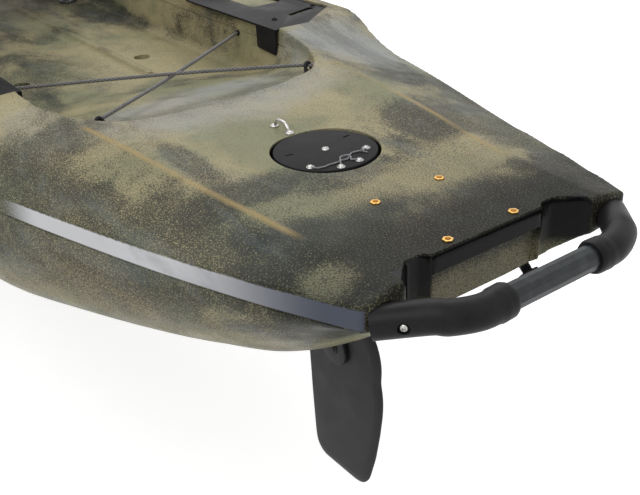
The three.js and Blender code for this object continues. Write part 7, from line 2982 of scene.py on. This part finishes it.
@dataclass
class Hatch:
    """One hatch lid with its knuckles and its turning latch.

    Attributes:
        name: The hatch's name in its solids.
        body: The start of its bodies' names.
        x: X of its middle.
        length: Length of the opening.
        width: Width of the opening.
        over: How far the lid reaches past the opening.
        inset: How far the plug stays inside it.
        low: Height of the lid's underside.
        thick: The lid's thickness.
        skirt: Depth of the plug.
        hinge: X and Z of the hinge.
        knob_x: X of the latch.
        knob: Diameter of the latch's knob.
        tongue_top: Height of the tongue's upper face.
        tongue: How far the tongue reaches.
    """

    name: str
    body: str
    x: float
    length: float
    width: float
    over: float
    inset: float
    low: float
    thick: float
    skirt: float
    hinge: Row
    knob_x: float
    knob: float
    tongue_top: float
    tongue: float

    def ring(self, grow: float, z: float, steps: int = 120) -> list[Place]:
        """The hatch's outline, grown by a distance, at a height."""
        return oblong(self.x, self.length + 2 * grow, self.width + 2 * grow, z, HATCH_POWER, steps)

    def build(self) -> list[Item]:
        """Makes the lid and the latch."""
        return [self.lid(), self.latch()]

    def lid(self) -> Item:
        """A moulded lid: rolled rim, raised panel, plug and knuckles.

        Returns:
            The piece.
        """
        low, top, over = self.low, self.low + self.thick, self.over
        step = min(0.0028, self.thick * 0.3)
        levels = [(-self.inset, low - self.skirt), (-self.inset, low + 0.0002), (over - 0.0008, low),
                  (over, low + 0.0012), (over, top - 0.0026), (over - 0.0026, top), (over - 0.014, top),
                  (over - 0.016, top - step), (over - 0.026, top - step), (over - 0.028, top),
                  (over - 0.040, top + 0.0003), (-self.width * 0.3, top + 0.0008)]
        lid = lofted("lid", np.array([self.ring(grow, z) for grow, z in levels]))
        parts = []
        for side in Side:
            y = side.value * KNUCKLE_Y
            rows = mirrored([(0.0045, 0.0105), (0.004, 0.011), (0.00225, 0.011), (0.00225, 0.020),
                             (0, 0.020)])
            parts.append(turned("knuckle", rows, (self.hinge[0], y, self.hinge[1]), ACROSS, 28))
            towards = math.copysign(0.018, self.x - self.hinge[0])
            a, b = sorted((self.hinge[0], self.hinge[0] + towards))
            parts.append(block("web", (a, y - 0.011, low), (b, y + 0.011, low + 0.0072), 0.0006))
        carved(lid, parts, "UNION")
        carved(lid, [rod("bore", 0.0064, -0.1, 0.1, (self.knob_x, 0, low), UP, 32)])
        return settled(crisp(lid, f"{self.name}_cover", 0.5), Finish.LID, f"{self.body}_lid", "lid",
                       f"{self.name}_lid")

    def latch(self) -> Item:
        """A turning knob with a grip bar, its stem and its tongue.

        Returns:
            The piece.
        """
        low, r, x = self.low + self.thick + 0.0003, self.knob / 2, self.knob_x
        high = low + 0.009
        rows = [(0, self.tongue_top - 0.0055), (0.006, self.tongue_top - 0.0055), (0.006, low + 0.001),
                (r - 0.001, low + 0.001), (r, low + 0.002)]
        rows += [(r - 0.0008, low + 0.0042), (r, low + 0.0056), (r, high - 0.0016), (r - 0.0018, high),
                 (0, high)]
        knob = turned("knob", rows, (x, 0, 0), UP, 72)
        notches = []
        for angle in turns(24):
            spot = (x + (r + 0.0004) * math.cos(angle), (r + 0.0004) * math.sin(angle), 0)
            notches.append(rod("notch", 0.0011, low - 0.001, high + 0.01, spot, UP, 12))
        rings = []
        for t in np.linspace(-1, 1, 31):
            wide, tall = 0.0066 * (1 - 0.35 * t * t), 0.0070 * (1 - 0.75 * abs(t) ** 4)
            rings.append([(x + t * (r - 0.0008), wide * math.cos(a), high + tall * math.sin(a))
                          for a in turns(24)])
        near, far = sorted((0.0, self.tongue))
        tongue = block("tongue", (x - 0.006, near, self.tongue_top - 0.0055),
                       (x + 0.006, far, self.tongue_top - 0.0025), 0.0007)
        carved(knob, [lofted("grip", np.array(rings)), tongue], "UNION")
        carved(knob, notches)
        return settled(crisp(knob, f"{self.name}_knob"), Finish.SATIN, f"{self.body}_latch", "black_plastic",
                       f"{self.name}_latch")


@dataclass
class Fittings:
    """Both hatches and the drain plug."""

    def build(self) -> list[Item]:
        """Makes the hatches and the plug.

        Returns:
            The pieces.
        """
        bow = Hatch("bow_hatch", "bow", *BOW_OPENING, over=0.020, inset=0.0048, low=0.445684, thick=0.010,
                    skirt=0.012, hinge=(1.599, 0.450184), knob_x=1.2394, knob=0.042, tongue_top=0.385084,
                    tongue=0.046)
        floor = Hatch("floor_hatch", "floor", *FLOOR_OPENING, over=0.012, inset=0.0048, low=0.1263,
                      thick=0.008, skirt=0.0072, hinge=(0.162, 0.1308), knob_x=0.28696, knob=0.03024,
                      tongue_top=0.1103, tongue=0.0368)
        return [*bow.build(), *floor.build(), self.drain()]

    def drain(self) -> Item:
        """The stern drain plug with a finger wing.

        Returns:
            The piece.
        """
        rows = [(0, -0.018), (0.0058, -0.018), (0.007, -0.0168),
                *[(0.007 - (0.0009 if i % 2 else 0), -0.0156 + 0.0012 * i) for i in range(12)],
                (0.007, 0.0008), (0.0123, 0.0008), (0.013, 0.0016), (0.013, 0.0038), (0.0118, 0.005),
                (0.0078, 0.005), (0.0075, 0.0105), (0.0066, 0.011), (0, 0.011)]
        plug = turned("drain_stopper", rows, DRAIN, DRAIN_AXIS, 48)
        sharpened(plug, 0.6)
        return settled(plug, Finish.BLACK, "drain", "black_plastic", "drain_plug")


def main() -> None:
    """Builds the picture and every sub-assembly in order."""
    logging.basicConfig(level=logging.INFO, format="%(message)s")
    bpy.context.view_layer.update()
    Studio().build()
    for assembly in ASSEMBLIES:
        made = assembly().build()
        for item in made if isinstance(made, list) else [made]:
            log.info("built %s with %d faces", item.name, len(item.data.polygons))


ASSEMBLIES = (Hull, SternHandle, RudderHead, RudderBlade, DeckFittings, CargoRig, Steering, PedalDrive, Seat,
              Handles, Fittings)

if __name__ == "__main__":
    main()
